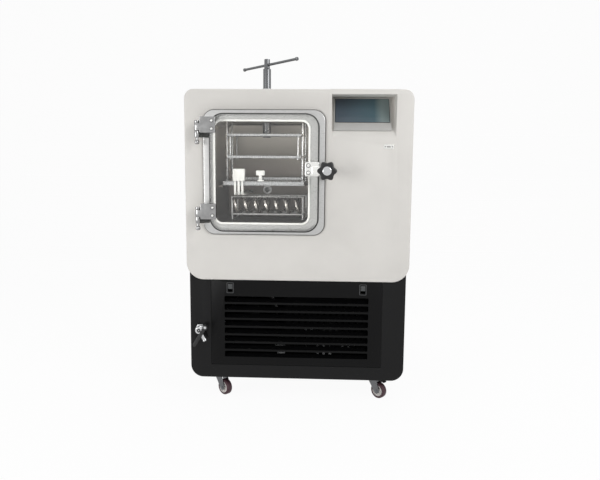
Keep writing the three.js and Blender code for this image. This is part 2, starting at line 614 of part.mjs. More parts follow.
function block(x0, x1, y0, y1, z0, z1) {
  const geometry = new THREE.BoxGeometry(x1 - x0, y1 - y0, z1 - z0);
  geometry.translate((x0 + x1) / 2, (y0 + y1) / 2, (z0 + z1) / 2);
  return solid(geometry);
}

// A round bar along an axis, at (a, b) on the two other axes in X, Y, Z order.
function rod(axis, a, b, radius, from, to, sides = 16) {
  const geometry = new THREE.CylinderGeometry(radius, radius, to - from, sides);
  const middle = (from + to) / 2;
  if (axis === 'x') {
    geometry.rotateZ(Math.PI / 2);
    geometry.translate(middle, a, b);
  } else if (axis === 'y') {
    geometry.translate(a, middle, b);
  } else {
    geometry.rotateX(Math.PI / 2);
    geometry.translate(a, b, middle);
  }
  return solid(geometry);
}

// A turned piece about the vertical axis through (x, y): its profile is a list of [radius, z].
function turned(profile, x, y, sides = 20) {
  const points = profile.map(([radius, z]) => new THREE.Vector2(radius, z));
  const geometry = new THREE.LatheGeometry(points, sides);
  geometry.rotateX(Math.PI / 2);
  geometry.translate(x, y, 0);
  return solid(geometry);
}

// A rectangle with its own radius on its lower and upper corners.
function roundedRectangle(x0, x1, z0, z1, lowerRadius, upperRadius = lowerRadius) {
  const shape = new THREE.Shape();
  shape.moveTo(x0 + lowerRadius, z0);
  shape.lineTo(x1 - lowerRadius, z0);
  shape.absarc(x1 - lowerRadius, z0 + lowerRadius, lowerRadius, -Math.PI / 2, 0, false);
  shape.lineTo(x1, z1 - upperRadius);
  shape.absarc(x1 - upperRadius, z1 - upperRadius, upperRadius, 0, Math.PI / 2, false);
  shape.lineTo(x0 + upperRadius, z1);
  shape.absarc(x0 + upperRadius, z1 - upperRadius, upperRadius, Math.PI / 2, Math.PI, false);
  shape.lineTo(x0, z0 + lowerRadius);
  shape.absarc(x0 + lowerRadius, z0 + lowerRadius, lowerRadius, Math.PI, Math.PI * 1.5, false);
  return shape;
}

function polygon(points) {
  return new THREE.Shape(points.map(([u, v]) => new THREE.Vector2(u, v)));
}

// A round bar whose centre line runs through the given points, with a ring of vertices square to it at each.
function pipe(points, radius, sides = 8) {
  const positions = [];
  const triangles = [];
  const last = points.length - 1;
  let normal = points[0].x === points[1].x ? X_AXIS.clone() : Z_AXIS.clone();
  points.forEach((point, i) => {
    const along = new THREE.Vector3();
    if (i > 0) along.add(point.clone().sub(points[i - 1]).normalize());
    if (i < last) along.add(points[i + 1].clone().sub(point).normalize());
    along.normalize();
    normal = normal.clone().addScaledVector(along, -normal.dot(along)).normalize();
    const binormal = along.clone().cross(normal);
    for (let j = 0; j < sides; j += 1) {
      const angle = (j / sides) * Math.PI * 2;
      const out = normal.clone().multiplyScalar(Math.cos(angle)).addScaledVector(binormal, Math.sin(angle));
      positions.push(...point.clone().addScaledVector(out, radius).toArray());
    }
  });
  for (let i = 0; i < last; i += 1) {
    for (let j = 0; j < sides; j += 1) {
      const a = i * sides + j;
      const b = i * sides + ((j + 1) % sides);
      triangles.push(a, b, b + sides, a, b + sides, a + sides);
    }
  }
  for (let j = 1; j < sides - 1; j += 1) {
    triangles.push(0, j + 1, j);
    triangles.push(last * sides, last * sides + j, last * sides + j + 1);
  }
  const geometry = new THREE.BufferGeometry();
  geometry.setAttribute('position', new THREE.Float32BufferAttribute(positions, 3));
  geometry.setIndex(triangles);
  return solid(geometry);
}

// A route through straight stretches, with each inner corner eased over the given reach.
function eased(corners, reach, cuts = 3) {
  const route = [corners[0]];
  for (let i = 1; i < corners.length - 1; i += 1) {
    const corner = corners[i];
    const before = corner.clone().sub(corners[i - 1]).normalize();
    const after = corners[i + 1].clone().sub(corner).normalize();
    const curve = new THREE.QuadraticBezierCurve3(
      corner.clone().addScaledVector(before, -reach), corner, corner.clone().addScaledVector(after, reach),
    );
    route.push(...curve.getPoints(cuts));
  }
  route.push(corners[corners.length - 1]);
  return route;
}

function vector(x, y, z) {
  return new THREE.Vector3(x, y, z);
}

function turnedCopy(body, axis, angle, centre) {
  const turn = new THREE.Matrix4().makeTranslation(centre.x, centre.y, centre.z);
  turn.multiply(new THREE.Matrix4().makeRotationAxis(axis, angle));
  turn.multiply(new THREE.Matrix4().makeTranslation(-centre.x, -centre.y, -centre.z));
  return body.transform(turn.elements);
}

// ---------------------------------------------------------------- materials and the assembly

function finish(color, roughness, metalness) {
  return { color, roughness, metalness };
}

const WHITE_PAINT = finish(0xd8d6d2, 0.45, 0);
const BLACK_PAINT = finish(0x2b2b2d, 0.5, 0.1);
const PANEL_PAINT = finish(0x1c1c1e, 0.45, 0.1);
const STAINLESS = finish(0xb9b8b4, 0.3, 0.9);
const POLISHED = finish(0xd5d5d3, 0.12, 1);
const ZINC = finish(0xa3a8aa, 0.35, 0.8);
const COPPER = finish(0xb5704a, 0.3, 0.9);
const BLACK_PLASTIC = finish(0x161617, 0.4, 0);
const GREY_PLASTIC = finish(0x8d8d8a, 0.5, 0);
const WHITE_SILICONE = finish(0xe6e4df, 0.5, 0);
const CLEAR_ACRYLIC = finish(0xdfe6e4, 0.05, 0);
const SCREEN_GLASS = finish(0x46535e, 0.15, 0);
const TREAD = finish(0x38242c, 0.7, 0);

const model = new THREE.Group();

function piece(name, body, look, parent = model) {
  const material = new THREE.MeshStandardMaterial(look);
  const mesh = new THREE.Mesh(geometryOf(body), material);
  mesh.name = name;
  parent.add(mesh);
  return mesh;
}

// ---------------------------------------------------------------- upper housing

function housingOutline(inset) {
  const half = HOUSING_WIDTH / 2 - inset;
  const low = HOUSING_BASE_Z + inset;
  const high = HOUSING_TOP_Z - inset;
  return roundedRectangle(-half, half, low, high, HOUSING_LOWER_RADIUS - inset, HOUSING_UPPER_RADIUS - inset);
}

// The display pocket's side outline, in (y, z): a short lip, then the sloped back.
function pocketOutline(grow, topZ) {
  const reach = OVERCUT + grow;
  const lipY = POCKET_LIP_DEPTH + grow;
  const lipZ = POCKET_SILL_Z + POCKET_LIP_HEIGHT;
  const topY = lipY + (topZ - lipZ) * Math.tan(degrees(POCKET_TILT));
  const sillZ = POCKET_SILL_Z - grow;
  return polygon([[-reach, sillZ], [0, sillZ], [lipY, lipZ - grow / 2], [topY, topZ], [-reach, topZ]]);
}

function flangeOutline(grow) {
  const low = CHAMBER_FLOOR_Z - FLANGE_BOTTOM_LAP - grow;
  const high = CHAMBER_ROOF_Z + FLANGE_TOP_LAP + grow;
  const left = CHAMBER_LEFT_X - FLANGE_LEFT_LAP - grow;
  const right = CHAMBER_RIGHT_X + FLANGE_RIGHT_LAP + grow;
  return roundedRectangle(left, right, low, high, FLANGE_RADIUS + grow);
}

function catchCentreX(side) {
  return side < 0 ? SLOT_LEFT_X + CATCH_SIDE_INSET : SLOT_RIGHT_X - CATCH_SIDE_INSET;
}

function tongueSlot(side) {
  const half = CATCH_PAD_WIDTH / 2 + SLACK * 2;
  const x = catchCentreX(side);
  const y0 = PANEL_BACK_Y - SLACK / 2;
  const y1 = CABINET_INNER_Y + CATCH_TONGUE_THICKNESS + SLACK;
  return block(x - half, x + half, y0, y1, HOUSING_BASE_Z - OVERCUT, DECK_TOP_Z + OVERCUT);
}

function deckHole(x, y, radius) {
  return rod('z', x, y, radius + SLACK, HOUSING_BASE_Z - OVERCUT, DECK_TOP_Z + 2 * HOUSING_WALL, 8);
}

function upperHousing() {
  const shell = cut(
    prism(housingOutline(0), 'y', 0, HOUSING_DEPTH),
    prism(housingOutline(HOUSING_WALL), 'y', HOUSING_WALL, HOUSING_DEPTH + OVERCUT),
  );
  const pocketWalls = prism(
    pocketOutline(HOUSING_WALL, HOUSING_TOP_Z + OVERCUT), 'x', POCKET_LEFT_X - HOUSING_WALL,
    POCKET_RIGHT_X + HOUSING_WALL,
  ).intersect(prism(housingOutline(0), 'y', 0, HOUSING_DEPTH));
  const portHalf = DATA_PORT_WIDTH / 2 + SLACK;
  const portHigh = DATA_PORT_HEIGHT / 2 + SLACK;
  return cut(
    join(shell, pocketWalls),
    prism(pocketOutline(0, HOUSING_TOP_Z - POCKET_ROOF), 'x', POCKET_LEFT_X, POCKET_RIGHT_X),
    prism(flangeOutline(SLACK), 'y', -OVERCUT, HOUSING_WALL + OVERCUT, 5),
    rod('z', CHAMBER_CENTRE_X, SHELF_CENTRE_Y, GLAND_RADIUS + SLACK, HOUSING_TOP_Z - HOUSING_WALL - OVERCUT,
      HOUSING_TOP_Z + OVERCUT, 20),
    block(SOCKET_PLATE_X - portHalf, SOCKET_PLATE_X + portHalf, -OVERCUT, HOUSING_WALL + OVERCUT,
      SOCKET_PLATE_Z - portHigh, SOCKET_PLATE_Z + portHigh),
    tongueSlot(-1),
    tongueSlot(1),
    deckHole(VALVE_X, HOSE_Y, HOSE_RADIUS),
    deckHole(SUCTION_X, COMPRESSOR_Y, PIPE_RADIUS),
    deckHole(LIQUID_X, COMPRESSOR_Y, PIPE_RADIUS),
  );
}

function rearCoverUpper() {
  const inset = HOUSING_WALL + SEAT;
  const before = COVER_FRONT_Y - OVERCUT;
  const portHole = rod('y', PORT_X, PORT_Z, PORT_RADIUS + SLACK, before, COVER_BACK_Y + OVERCUT);
  const ventFloor = DECK_TOP_Z + BOX_HEIGHT + VENT_PITCH;
  const vents = ventRow(BOX_X, ventFloor, BOX_VENT_COUNT, BOX_WIDTH - 2 * VENT_PITCH);
  return cut(prism(housingOutline(inset), 'y', COVER_FRONT_Y, COVER_BACK_Y, 4), portHole, ...vents);
}

function ventRow(x, floorZ, count, width) {
  const vents = [];
  for (let i = 0; i < count; i += 1) {
    const z = floorZ + i * VENT_PITCH;
    vents.push(block(x - width / 2, x + width / 2, COVER_FRONT_Y - OVERCUT, COVER_BACK_Y + OVERCUT, z,
      z + VENT_HEIGHT));
  }
  return vents;
}

// ---------------------------------------------------------------- lower cabinet

// The cabinet's front outline. Its top corners follow the housing's rounded lower corners.
function cabinetOutline() {
  const half = CABINET_WIDTH / 2;
  const low = CABINET_BASE_Z;
  const radius = CABINET_LOWER_RADIUS;
  const corner = HOUSING_LOWER_RADIUS + SEAT;
  const cornerX = HOUSING_WIDTH / 2 - HOUSING_LOWER_RADIUS;
  const cornerZ = HOUSING_BASE_Z + HOUSING_LOWER_RADIUS;
  const reach = Math.acos((half - cornerX) / corner);
  const shape = new THREE.Shape();
  shape.moveTo(-half + radius, low);
  shape.lineTo(half - radius, low);
  shape.absarc(half - radius, low + radius, radius, -Math.PI / 2, 0, false);
  shape.lineTo(half, cornerZ - corner * Math.sin(reach));
  shape.absarc(cornerX, cornerZ, corner, -reach, -Math.PI / 2, true);
  shape.lineTo(-cornerX, cornerZ - corner);
  shape.absarc(-cornerX, cornerZ, corner, -Math.PI / 2, -Math.PI + reach, true);
  shape.lineTo(-half, low + radius);
  shape.absarc(-half + radius, low + radius, radius, Math.PI, Math.PI * 1.5, false);
  return shape;
}

function cabinetHollow() {
  const half = CABINET_WIDTH / 2 - CABINET_WALL;
  const radius = CABINET_LOWER_RADIUS - CABINET_WALL;
  const low = CABINET_FLOOR_Z;
  const high = HOUSING_BASE_Z + HOUSING_LOWER_RADIUS;
  const outline = new THREE.Shape();
  outline.moveTo(-half + radius, low);
  outline.lineTo(half - radius, low);
  outline.absarc(half - radius, low + radius, radius, -Math.PI / 2, 0, false);
  outline.lineTo(half, high);
  outline.lineTo(-half, high);
  outline.lineTo(-half, low + radius);
  outline.absarc(-half + radius, low + radius, radius, Math.PI, Math.PI * 1.5, false);
  return prism(outline, 'y', CABINET_INNER_Y, CABINET_BACK_Y + OVERCUT, 5);
}

function lowerCabinet() {
  const left = PANEL_LEFT_X - SLACK;
  const right = PANEL_RIGHT_X + SLACK;
  const low = PANEL_FLOOR_Z - SLACK;
  const behind = CABINET_INNER_Y + REBATE_THICKNESS;
  const front = CABINET_SETBACK - OVERCUT;
  const lap = REBATE_WIDTH / 2;
  let shell = cut(
    prism(cabinetOutline(), 'y', CABINET_SETBACK, CABINET_BACK_Y, 5),
    cabinetHollow(),
    block(left, right, front, CABINET_INNER_Y + OVERCUT, low, HOUSING_BASE_Z + OVERCUT),
  );
  shell = join(
    shell,
    block(left - lap, left + REBATE_WIDTH, CABINET_INNER_Y, behind, low - lap, PANEL_TOP_Z),
    block(right - REBATE_WIDTH, right + lap, CABINET_INNER_Y, behind, low - lap, PANEL_TOP_Z),
    block(left - lap, right + lap, CABINET_INNER_Y, behind, low - lap, low + REBATE_WIDTH),
  );
  const stems = casterPlaces().map(({ x, y }) => (
    rod('z', x, y, CASTER_STEM_RADIUS + SEAT, CABINET_BASE_Z - OVERCUT, CABINET_FLOOR_Z + OVERCUT, 12)
  ));
  const valveHole = rod('y', VALVE_X, VALVE_Z, VALVE_TAIL_RADIUS + RUN, front, CABINET_INNER_Y + OVERCUT);
  return cut(shell, valveHole, ...stems);
}

function rearCoverLower() {
  const inset = CABINET_WALL + SEAT;
  const half = CABINET_WIDTH / 2 - inset;
  const radius = CABINET_LOWER_RADIUS - inset;
  const outline = new THREE.Shape();
  const low = CABINET_BASE_Z + inset;
  const high = HOUSING_BASE_Z - SEAT;
  outline.moveTo(-half + radius, low);
  outline.lineTo(half - radius, low);
  outline.absarc(half - radius, low + radius, radius, -Math.PI / 2, 0, false);
  outline.lineTo(half, high);
  outline.lineTo(-half, high);
  outline.lineTo(-half, low + radius);
  outline.absarc(-half + radius, low + radius, radius, Math.PI, Math.PI * 1.5, false);
  const through = [COVER_FRONT_Y - OVERCUT, COVER_BACK_Y + OVERCUT];
  const hole = (x, width, height) => block(
    x - width / 2, x + width / 2, ...through, INLET_Z - height / 2, INLET_Z + height / 2,
  );
  return cut(
    prism(outline, 'y', COVER_FRONT_Y, COVER_BACK_Y, 4),
    hole(INLET_X, INLET_WIDTH + 2 * SEAT, INLET_HEIGHT + 2 * SEAT),
    ...ventRow(COMPRESSOR_X, VENT_FLOOR_Z, VENT_COUNT, VENT_WIDTH),
    ...ventRow(CONDENSER_X, VENT_FLOOR_Z, VENT_COUNT, VENT_WIDTH),
  );
}

function casterPlaces() {
  return [
    { name: 'front_left', x: CASTER_LEFT_X, y: CASTER_FRONT_Y },
    { name: 'front_right', x: CASTER_RIGHT_X, y: CASTER_FRONT_Y },
    { name: 'rear_left', x: CASTER_LEFT_X, y: CASTER_BACK_Y },
    { name: 'rear_right', x: CASTER_RIGHT_X, y: CASTER_BACK_Y },
  ];
}

// The chassis plate, with the casters' top plates and king pins welded to it through the cabinet's floor.
function basePlate() {
  const half = CABINET_WIDTH / 2 - CABINET_LOWER_RADIUS - BASE_PLATE_MARGIN;
  const front = CABINET_INNER_Y + BASE_PLATE_MARGIN;
  const back = COVER_FRONT_Y - BASE_PLATE_MARGIN;
  const stems = casterPlaces().map(({ x, y }) => turned([
    [0, BASE_PLATE_TOP_Z],
    [CASTER_STEM_RADIUS, BASE_PLATE_TOP_Z],
    [CASTER_STEM_RADIUS, CASTER_PLATE_TOP_Z],
    [CASTER_PLATE_RADIUS, CASTER_PLATE_TOP_Z],
    [CASTER_PLATE_RADIUS, CASTER_PLATE_FLOOR_Z],
    [CASTER_STEM_RADIUS, CASTER_PLATE_FLOOR_Z],
    [CASTER_STEM_RADIUS, CASTER_HEAD_FLOOR_Z - SEAT],
    [CASTER_RIVET_RADIUS, CASTER_HEAD_FLOOR_Z - SEAT],
    [CASTER_RIVET_RADIUS, CASTER_HEAD_FLOOR_Z - SEAT - CASTER_RIVET_HEIGHT],
    [0, CASTER_HEAD_FLOOR_Z - SEAT - CASTER_RIVET_HEIGHT],
  ].reverse(), x, y, 12));
  return join(block(-half, half, front, back, BASE_PLATE_FLOOR_Z, BASE_PLATE_TOP_Z), ...stems);
}

// ---------------------------------------------------------------- front panel and catches

function frontGrille() {
  let panel = block(PANEL_LEFT_X, PANEL_RIGHT_X, PANEL_FRONT_Y, PANEL_BACK_Y, PANEL_FLOOR_Z, PANEL_TOP_Z);
  for (let i = 0; i < SLOT_COUNT; i += 1) {
    const z = SLOT_FLOOR_Z + i * SLOT_PITCH;
    const outline = roundedRectangle(SLOT_LEFT_X, SLOT_RIGHT_X, z, z + SLOT_HEIGHT, SLOT_RADIUS);
    panel = cut(panel, prism(outline, 'y', PANEL_FRONT_Y - OVERCUT, PANEL_BACK_Y + OVERCUT, 1));
  }
  for (let i = 0; i < SLOT_COUNT; i += 1) {
    const z = SLOT_FLOOR_Z + i * SLOT_PITCH;
    const rootY = PANEL_BACK_Y - BLADE_THICKNESS / 2;
    const tipY = PANEL_BACK_Y + BLADE_REACH;
    const tipZ = z + BLADE_RISE;
    const outline = polygon([
      [rootY, z - BLADE_THICKNESS], [tipY, tipZ - BLADE_THICKNESS], [tipY, tipZ], [rootY, z],
    ]);
    panel = join(panel, prism(outline, 'x', SLOT_LEFT_X, SLOT_RIGHT_X));
  }
  for (const side of [-1, 1]) {
    const x = catchCentreX(side);
    const halfX = CATCH_FRAME_WIDTH / 2;
    const halfZ = CATCH_FRAME_HEIGHT / 2;
    const frameLow = CATCH_CENTRE_Z - halfZ;
    const frameHigh = CATCH_CENTRE_Z + halfZ;
    const frame = roundedRectangle(x - halfX, x + halfX, frameLow, frameHigh, CATCH_FRAME_RADIUS);
    const window = CATCH_PAD_WIDTH / 2 + SEAT;
    const top = catchPadTop() + SEAT;
    const low = catchPadTop() - CATCH_PAD_HEIGHT - CATCH_TRAVEL - SEAT;
    panel = join(panel, prism(frame, 'y', PANEL_FRONT_Y - CATCH_FRAME_PROUD, PANEL_BACK_Y, 3));
    panel = cut(panel, block(x - window, x + window, PANEL_FRONT_Y - CATCH_FRAME_PROUD - OVERCUT,
      PANEL_BACK_Y + OVERCUT, low, top));
  }
  return panel;
}

function catchPadTop() {
  return CATCH_CENTRE_Z + (CATCH_PAD_HEIGHT + CATCH_TRAVEL) / 2;
}

function slideCatch(side) {
  const x = catchCentreX(side);
  const half = CATCH_PAD_WIDTH / 2;
  const top = catchPadTop();
  const tongueFront = PANEL_BACK_Y + SEAT;
  const tongueBack = tongueFront + CATCH_TONGUE_THICKNESS;
  const ridgeZ = top - CATCH_PAD_HEIGHT / 2;
  return join(
    block(x - half, x + half, PANEL_FRONT_Y, tongueFront, top - CATCH_PAD_HEIGHT, top),
    block(x - half, x + half, PANEL_FRONT_Y - CATCH_FRAME_PROUD, PANEL_FRONT_Y, ridgeZ - SLACK / 2,
      ridgeZ + SLACK / 2),
    block(x - half - SLACK, x + half + SLACK, tongueFront, tongueBack, top - CATCH_PAD_HEIGHT - SLACK,
      HOUSING_BASE_Z + CATCH_TONGUE_REACH),
  );
}

// ---------------------------------------------------------------- chamber

function chamberOutline(grow) {
  return roundedRectangle(CHAMBER_LEFT_X - grow, CHAMBER_RIGHT_X + grow, CHAMBER_FLOOR_Z - grow,
    CHAMBER_ROOF_Z + grow, CHAMBER_RADIUS + grow);
}

function chamber() {
  const back = CHAMBER_BACK_Y + CHAMBER_WALL;
  const behindFlange = FLANGE_FACE_Y + FLANGE_THICKNESS;
  let shell = join(
    prism(flangeOutline(0), 'y', FLANGE_FACE_Y, behindFlange, 5),
    prism(chamberOutline(CHAMBER_WALL), 'y', behindFlange - OVERCUT, back, 4),
    ...chamberLegs(),
  );
  shell = cut(shell, prism(chamberOutline(0), 'y', FLANGE_FACE_Y - OVERCUT, CHAMBER_BACK_Y, 4));
  shell = join(shell, ...shelfLedges());
  const wallFront = CHAMBER_BACK_Y - OVERCUT;
  const rearHole = (x, z, radius, sides) => rod('y', x, z, radius + SEAT, wallFront, back + OVERCUT, sides);
  return cut(
    shell,
    rod('z', CHAMBER_CENTRE_X, SHELF_CENTRE_Y, RAM_RADIUS + RUN, CHAMBER_ROOF_Z - OVERCUT,
      CHAMBER_ROOF_Z + CHAMBER_WALL + OVERCUT, 20),
    rod('z', DRAIN_X, DRAIN_Y, VALVE_BORE_RADIUS, drainStubFloor() - OVERCUT, CHAMBER_FLOOR_Z + OVERCUT, 10),
    rearHole(PORT_X, PORT_Z, PORT_RADIUS, 20),
    ...coilEnds().map(({ x, z }) => rearHole(x, z, COIL_TUBE_RADIUS, 10)),
    ...leadXs().map((x) => rearHole(x, LEAD_RUN_Z, LEAD_RADIUS, 10)),
  );
}

function drainStubFloor() {
  return CHAMBER_FLOOR_Z - CHAMBER_WALL - DRAIN_STUB_LENGTH;
}

// Legs and the drain stub, welded under the chamber's floor.
function chamberLegs() {
  const size = CHAMBER_LEG_SIZE;
  const inset = CHAMBER_RADIUS;
  const low = DECK_TOP_Z + SEAT;
  const high = CHAMBER_FLOOR_Z - CHAMBER_WALL / 2;
  const legs = [];
  for (const x of [CHAMBER_LEFT_X + inset, CHAMBER_RIGHT_X - inset - size]) {
    for (const y of [2 * size, CHAMBER_BACK_Y - size]) {
      legs.push(block(x, x + size, y + size / 2, y + size * 1.5, low, high));
    }
  }
  legs.push(rod('z', DRAIN_X, DRAIN_Y, HOSE_RADIUS - HOSE_WALL - SEAT, drainStubFloor(), high, 10));
  return legs;
}

function shelfLedges() {
  const top = LOWER_SHELF_FLOOR_Z - SEAT;
  const low = top - LEDGE_THICKNESS;
  const wall = CHAMBER_WALL / 2;
  const back = SHELF_BACK_Y;
  return [
    block(CHAMBER_LEFT_X - wall, CHAMBER_LEFT_X + LEDGE_WIDTH, COIL_FRONT_Y, back, low, top),
    block(CHAMBER_RIGHT_X - LEDGE_WIDTH, CHAMBER_RIGHT_X + wall, COIL_FRONT_Y, back, low, top),
  ];
}

function doorSeal() {
  const ring = chamberOutline(SEAL_WIDTH);
  const inner = chamberOutline(SEAT);
  return cut(
    prism(ring, 'y', SEAL_FACE_Y, FLANGE_FACE_Y - SEAT, 4),
    prism(inner, 'y', SEAL_FACE_Y - OVERCUT, FLANGE_FACE_Y, 4),
  );
}

// ---------------------------------------------------------------- door, hinges and clamp

function doorPlate() {
  const outline = roundedRectangle(DOOR_LEFT_X, DOOR_RIGHT_X, DOOR_BOTTOM_Z, DOOR_TOP_Z, DOOR_RADIUS);
  return prism(outline, 'y', DOOR_FRONT_Y, DOOR_BACK_Y, 6);
}

function leafFloors() {
  return {
    upper: DOOR_TOP_Z - HINGE_TOP_INSET - HINGE_LEAF_HEIGHT,
    lower: DOOR_BOTTOM_Z + HINGE_BOTTOM_INSET,
  };
}

// The hinge leaf that is screwed to the door's face, with its knuckle around the pin.
function hingeLeaf(floorZ) {
  const leafLeft = HINGE_X + HINGE_KNUCKLE_RADIUS + SLACK / 2;
  const leafRight = DOOR_LEFT_X + HINGE_LEAF_LAP;
  const top = floorZ + HINGE_LEAF_HEIGHT;
  const low = floorZ + HINGE_KNUCKLE_RISE;
  const high = low + HINGE_KNUCKLE_HEIGHT;
  const screwX = leafRight - HINGE_LEAF_LAP / 2;
  const screws = [floorZ + HINGE_LEAF_HEIGHT / 4, top - HINGE_LEAF_HEIGHT / 4].map((z) => (
    rod('y', screwX, z, HINGE_SCREW_RADIUS, LEAF_FRONT_Y - HINGE_SCREW_HEAD, LEAF_FRONT_Y + OVERCUT, 10)
  ));
  const body = join(
    block(leafLeft, leafRight, LEAF_FRONT_Y, LEAF_BACK_Y, floorZ, top),
    block(HINGE_X, leafLeft + OVERCUT, LEAF_FRONT_Y, LEAF_BACK_Y, low, high),
    rod('z', HINGE_X, HINGE_Y, HINGE_KNUCKLE_RADIUS, low, high),
    ...screws,
  );
  return cut(body, rod('z', HINGE_X, HINGE_Y, HINGE_PIN_RADIUS + RUN, low - OVERCUT, high + OVERCUT));
}

// The fixed bracket on the chamber's flange: a base, two ears and the pin with its round lower end.
function hingeBracket(floorZ) {
  const low = floorZ + HINGE_KNUCKLE_RISE;
  const high = low + HINGE_KNUCKLE_HEIGHT;
  const radius = HINGE_KNUCKLE_RADIUS - SEAT;
  const baseBack = FLANGE_FACE_Y - SEAT;
  const baseFront = baseBack - HINGE_BASE_THICKNESS;
  const baseLeft = CHAMBER_LEFT_X - FLANGE_LEFT_LAP + OVERCUT;
  const baseRight = baseLeft + HINGE_BASE_WIDTH;
  const lowerEar = [low - SEAT - HINGE_LOWER_EAR, low - SEAT];
  const upperEar = [high + SEAT, high + SEAT + HINGE_UPPER_EAR];
  const web = polygon([
    [HINGE_X - radius, HINGE_Y], [HINGE_X + radius, HINGE_Y], [baseRight, baseFront], [baseLeft, baseBack],
  ]);
  const parts = [];
  for (const [from, to] of [lowerEar, upperEar]) {
    parts.push(prism(web, 'z', from, to));
    parts.push(rod('z', HINGE_X, HINGE_Y, radius, from, to));
  }
  parts.push(block(baseLeft, baseRight, baseFront, baseBack, lowerEar[0], upperEar[1]));
  const tailTop = lowerEar[0] - HINGE_TAIL_STEM;
  const tailFloor = tailTop - HINGE_TAIL_LENGTH;
  parts.push(turned([
    [0, tailFloor],
    [HINGE_TAIL_END_RADIUS, tailFloor],
    [HINGE_TAIL_RADIUS, tailFloor + HINGE_TAIL_CHAMFER],
    [HINGE_TAIL_RADIUS, tailTop - HINGE_TAIL_CHAMFER],
    [HINGE_TAIL_END_RADIUS, tailTop],
    [HINGE_PIN_RADIUS, tailTop],
    [HINGE_PIN_RADIUS, upperEar[1]],
    [0, upperEar[1]],
  ], HINGE_X, HINGE_Y, 12));
  return join(...parts);
}

function clampBracket() {
  const plateLeft = DOOR_RIGHT_X - CLAMP_PLATE_LAP;
  const plateMiddle = CLAMP_AXIS_Z + CLAMP_PLATE_OFFSET_Z;
  const halfPlate = CLAMP_PLATE_HEIGHT / 2;
  const armBack = LEAF_BACK_Y;
  const boltX = plateLeft + CLAMP_BOLT_RADIUS * 2;
  const boltZ = plateMiddle - halfPlate / 2;
  const boltFace = CLAMP_PLATE_FRONT_Y - HINGE_SCREW_HEAD;
  const arm = polygon([
    [CLAMP_X, CLAMP_AXIS_Z - CLAMP_BOSS_RADIUS], [CLAMP_X, CLAMP_AXIS_Z + CLAMP_BOSS_RADIUS],
    [plateLeft + CLAMP_PLATE_LAP / 2, CLAMP_AXIS_Z + CLAMP_ARM_HEIGHT / 2],
    [plateLeft + CLAMP_PLATE_LAP / 2, CLAMP_AXIS_Z - CLAMP_ARM_HEIGHT / 2],
  ]);
  const body = join(
    block(plateLeft, DOOR_RIGHT_X, CLAMP_PLATE_FRONT_Y, armBack, plateMiddle - halfPlate,
      plateMiddle + halfPlate),
    prism(arm, 'y', armBack - CLAMP_ARM_THICKNESS, armBack),
    rod('y', CLAMP_X, CLAMP_AXIS_Z, CLAMP_BOSS_RADIUS, CLAMP_BOSS_FRONT_Y, armBack, 20),
    rod('y', boltX, boltZ, CLAMP_BOLT_RADIUS, boltFace, armBack, 12),
    rod('y', boltX, boltZ + halfPlate, CLAMP_BOLT_RADIUS, boltFace, armBack, 12),
  );
  return cut(body, rod('y', CLAMP_X, CLAMP_AXIS_Z, CLAMP_SCREW_RADIUS + RUN, CLAMP_BOSS_FRONT_Y - OVERCUT,
    armBack + OVERCUT));
}

function clampCollar() {
  const bore = CLAMP_SCREW_RADIUS + RUN;
  return cut(
    rod('y', CLAMP_X, CLAMP_AXIS_Z, CLAMP_COLLAR_RADIUS, COLLAR_FRONT_Y, COLLAR_BACK_Y, 20),
    rod('y', CLAMP_X, CLAMP_AXIS_Z, bore, COLLAR_FRONT_Y - OVERCUT, COLLAR_BACK_Y + OVERCUT),
  );
}

function clampScrew() {
  const end = KNOB_FRONT_Y + KNOB_FACE + SEAT;
  return rod('y', CLAMP_X, CLAMP_AXIS_Z, CLAMP_SCREW_RADIUS, end, SCREW_TIP_Y);
}

function starKnob() {
  const outline = [];
  const count = KNOB_LOBES * 6;
  for (let i = 0; i < count; i += 1) {
    const angle = (i / count) * Math.PI * 2;
    const radius = KNOB_RADIUS + KNOB_LOBE * Math.cos(KNOB_LOBES * angle);
    outline.push([CLAMP_X + radius * Math.cos(angle), CLAMP_AXIS_Z + radius * Math.sin(angle)]);
  }
  const body = join(
    prism(polygon(outline), 'y', KNOB_FRONT_Y, KNOB_BACK_Y),
    rod('y', CLAMP_X, CLAMP_AXIS_Z, KNOB_HUB_RADIUS, KNOB_BACK_Y - OVERCUT, KNOB_HUB_BACK_Y),
  );
  return cut(body, rod('y', CLAMP_X, CLAMP_AXIS_Z, CLAMP_SCREW_RADIUS + SEAT, KNOB_FRONT_Y + KNOB_FACE,
    KNOB_HUB_BACK_Y + OVERCUT));
}

function knobCap() {
  const profile = [[0, 0], [KNOB_CAP_RADIUS, 0]];
  for (let i = 1; i < KNOB_CAP_CUTS; i += 1) {
    const angle = (i / KNOB_CAP_CUTS) * Math.PI / 2;
    profile.push([KNOB_CAP_RADIUS * Math.cos(angle), KNOB_CAP_HEIGHT * Math.sin(angle)]);
  }
  profile.push([0, KNOB_CAP_HEIGHT]);
  const points = profile.map(([radius, reach]) => new THREE.Vector2(radius, reach));
  const geometry = new THREE.LatheGeometry(points, 16);
  geometry.rotateX(Math.PI);
  geometry.translate(CLAMP_X, CAP_BACK_Y, CLAMP_AXIS_Z);
  return solid(geometry);
}

function clampSocket() {
  const left = DOOR_RIGHT_X + SOCKET_EDGE_GAP;
  const right = CLAMP_X + SOCKET_FAR_WALL + CLAMP_SCREW_RADIUS;
  const half = SOCKET_HEIGHT / 2;
  return cut(
    block(left, right, SOCKET_FRONT_Y, SOCKET_BACK_Y, CLAMP_AXIS_Z - half, CLAMP_AXIS_Z + half),
    rod('y', CLAMP_X, CLAMP_AXIS_Z, CLAMP_SCREW_RADIUS + CLAMP_SWING_ROOM, SOCKET_FRONT_Y - OVERCUT,
      SOCKET_BACK_Y - SOCKET_FLOOR),
  );
}

// ---------------------------------------------------------------- press and shelves

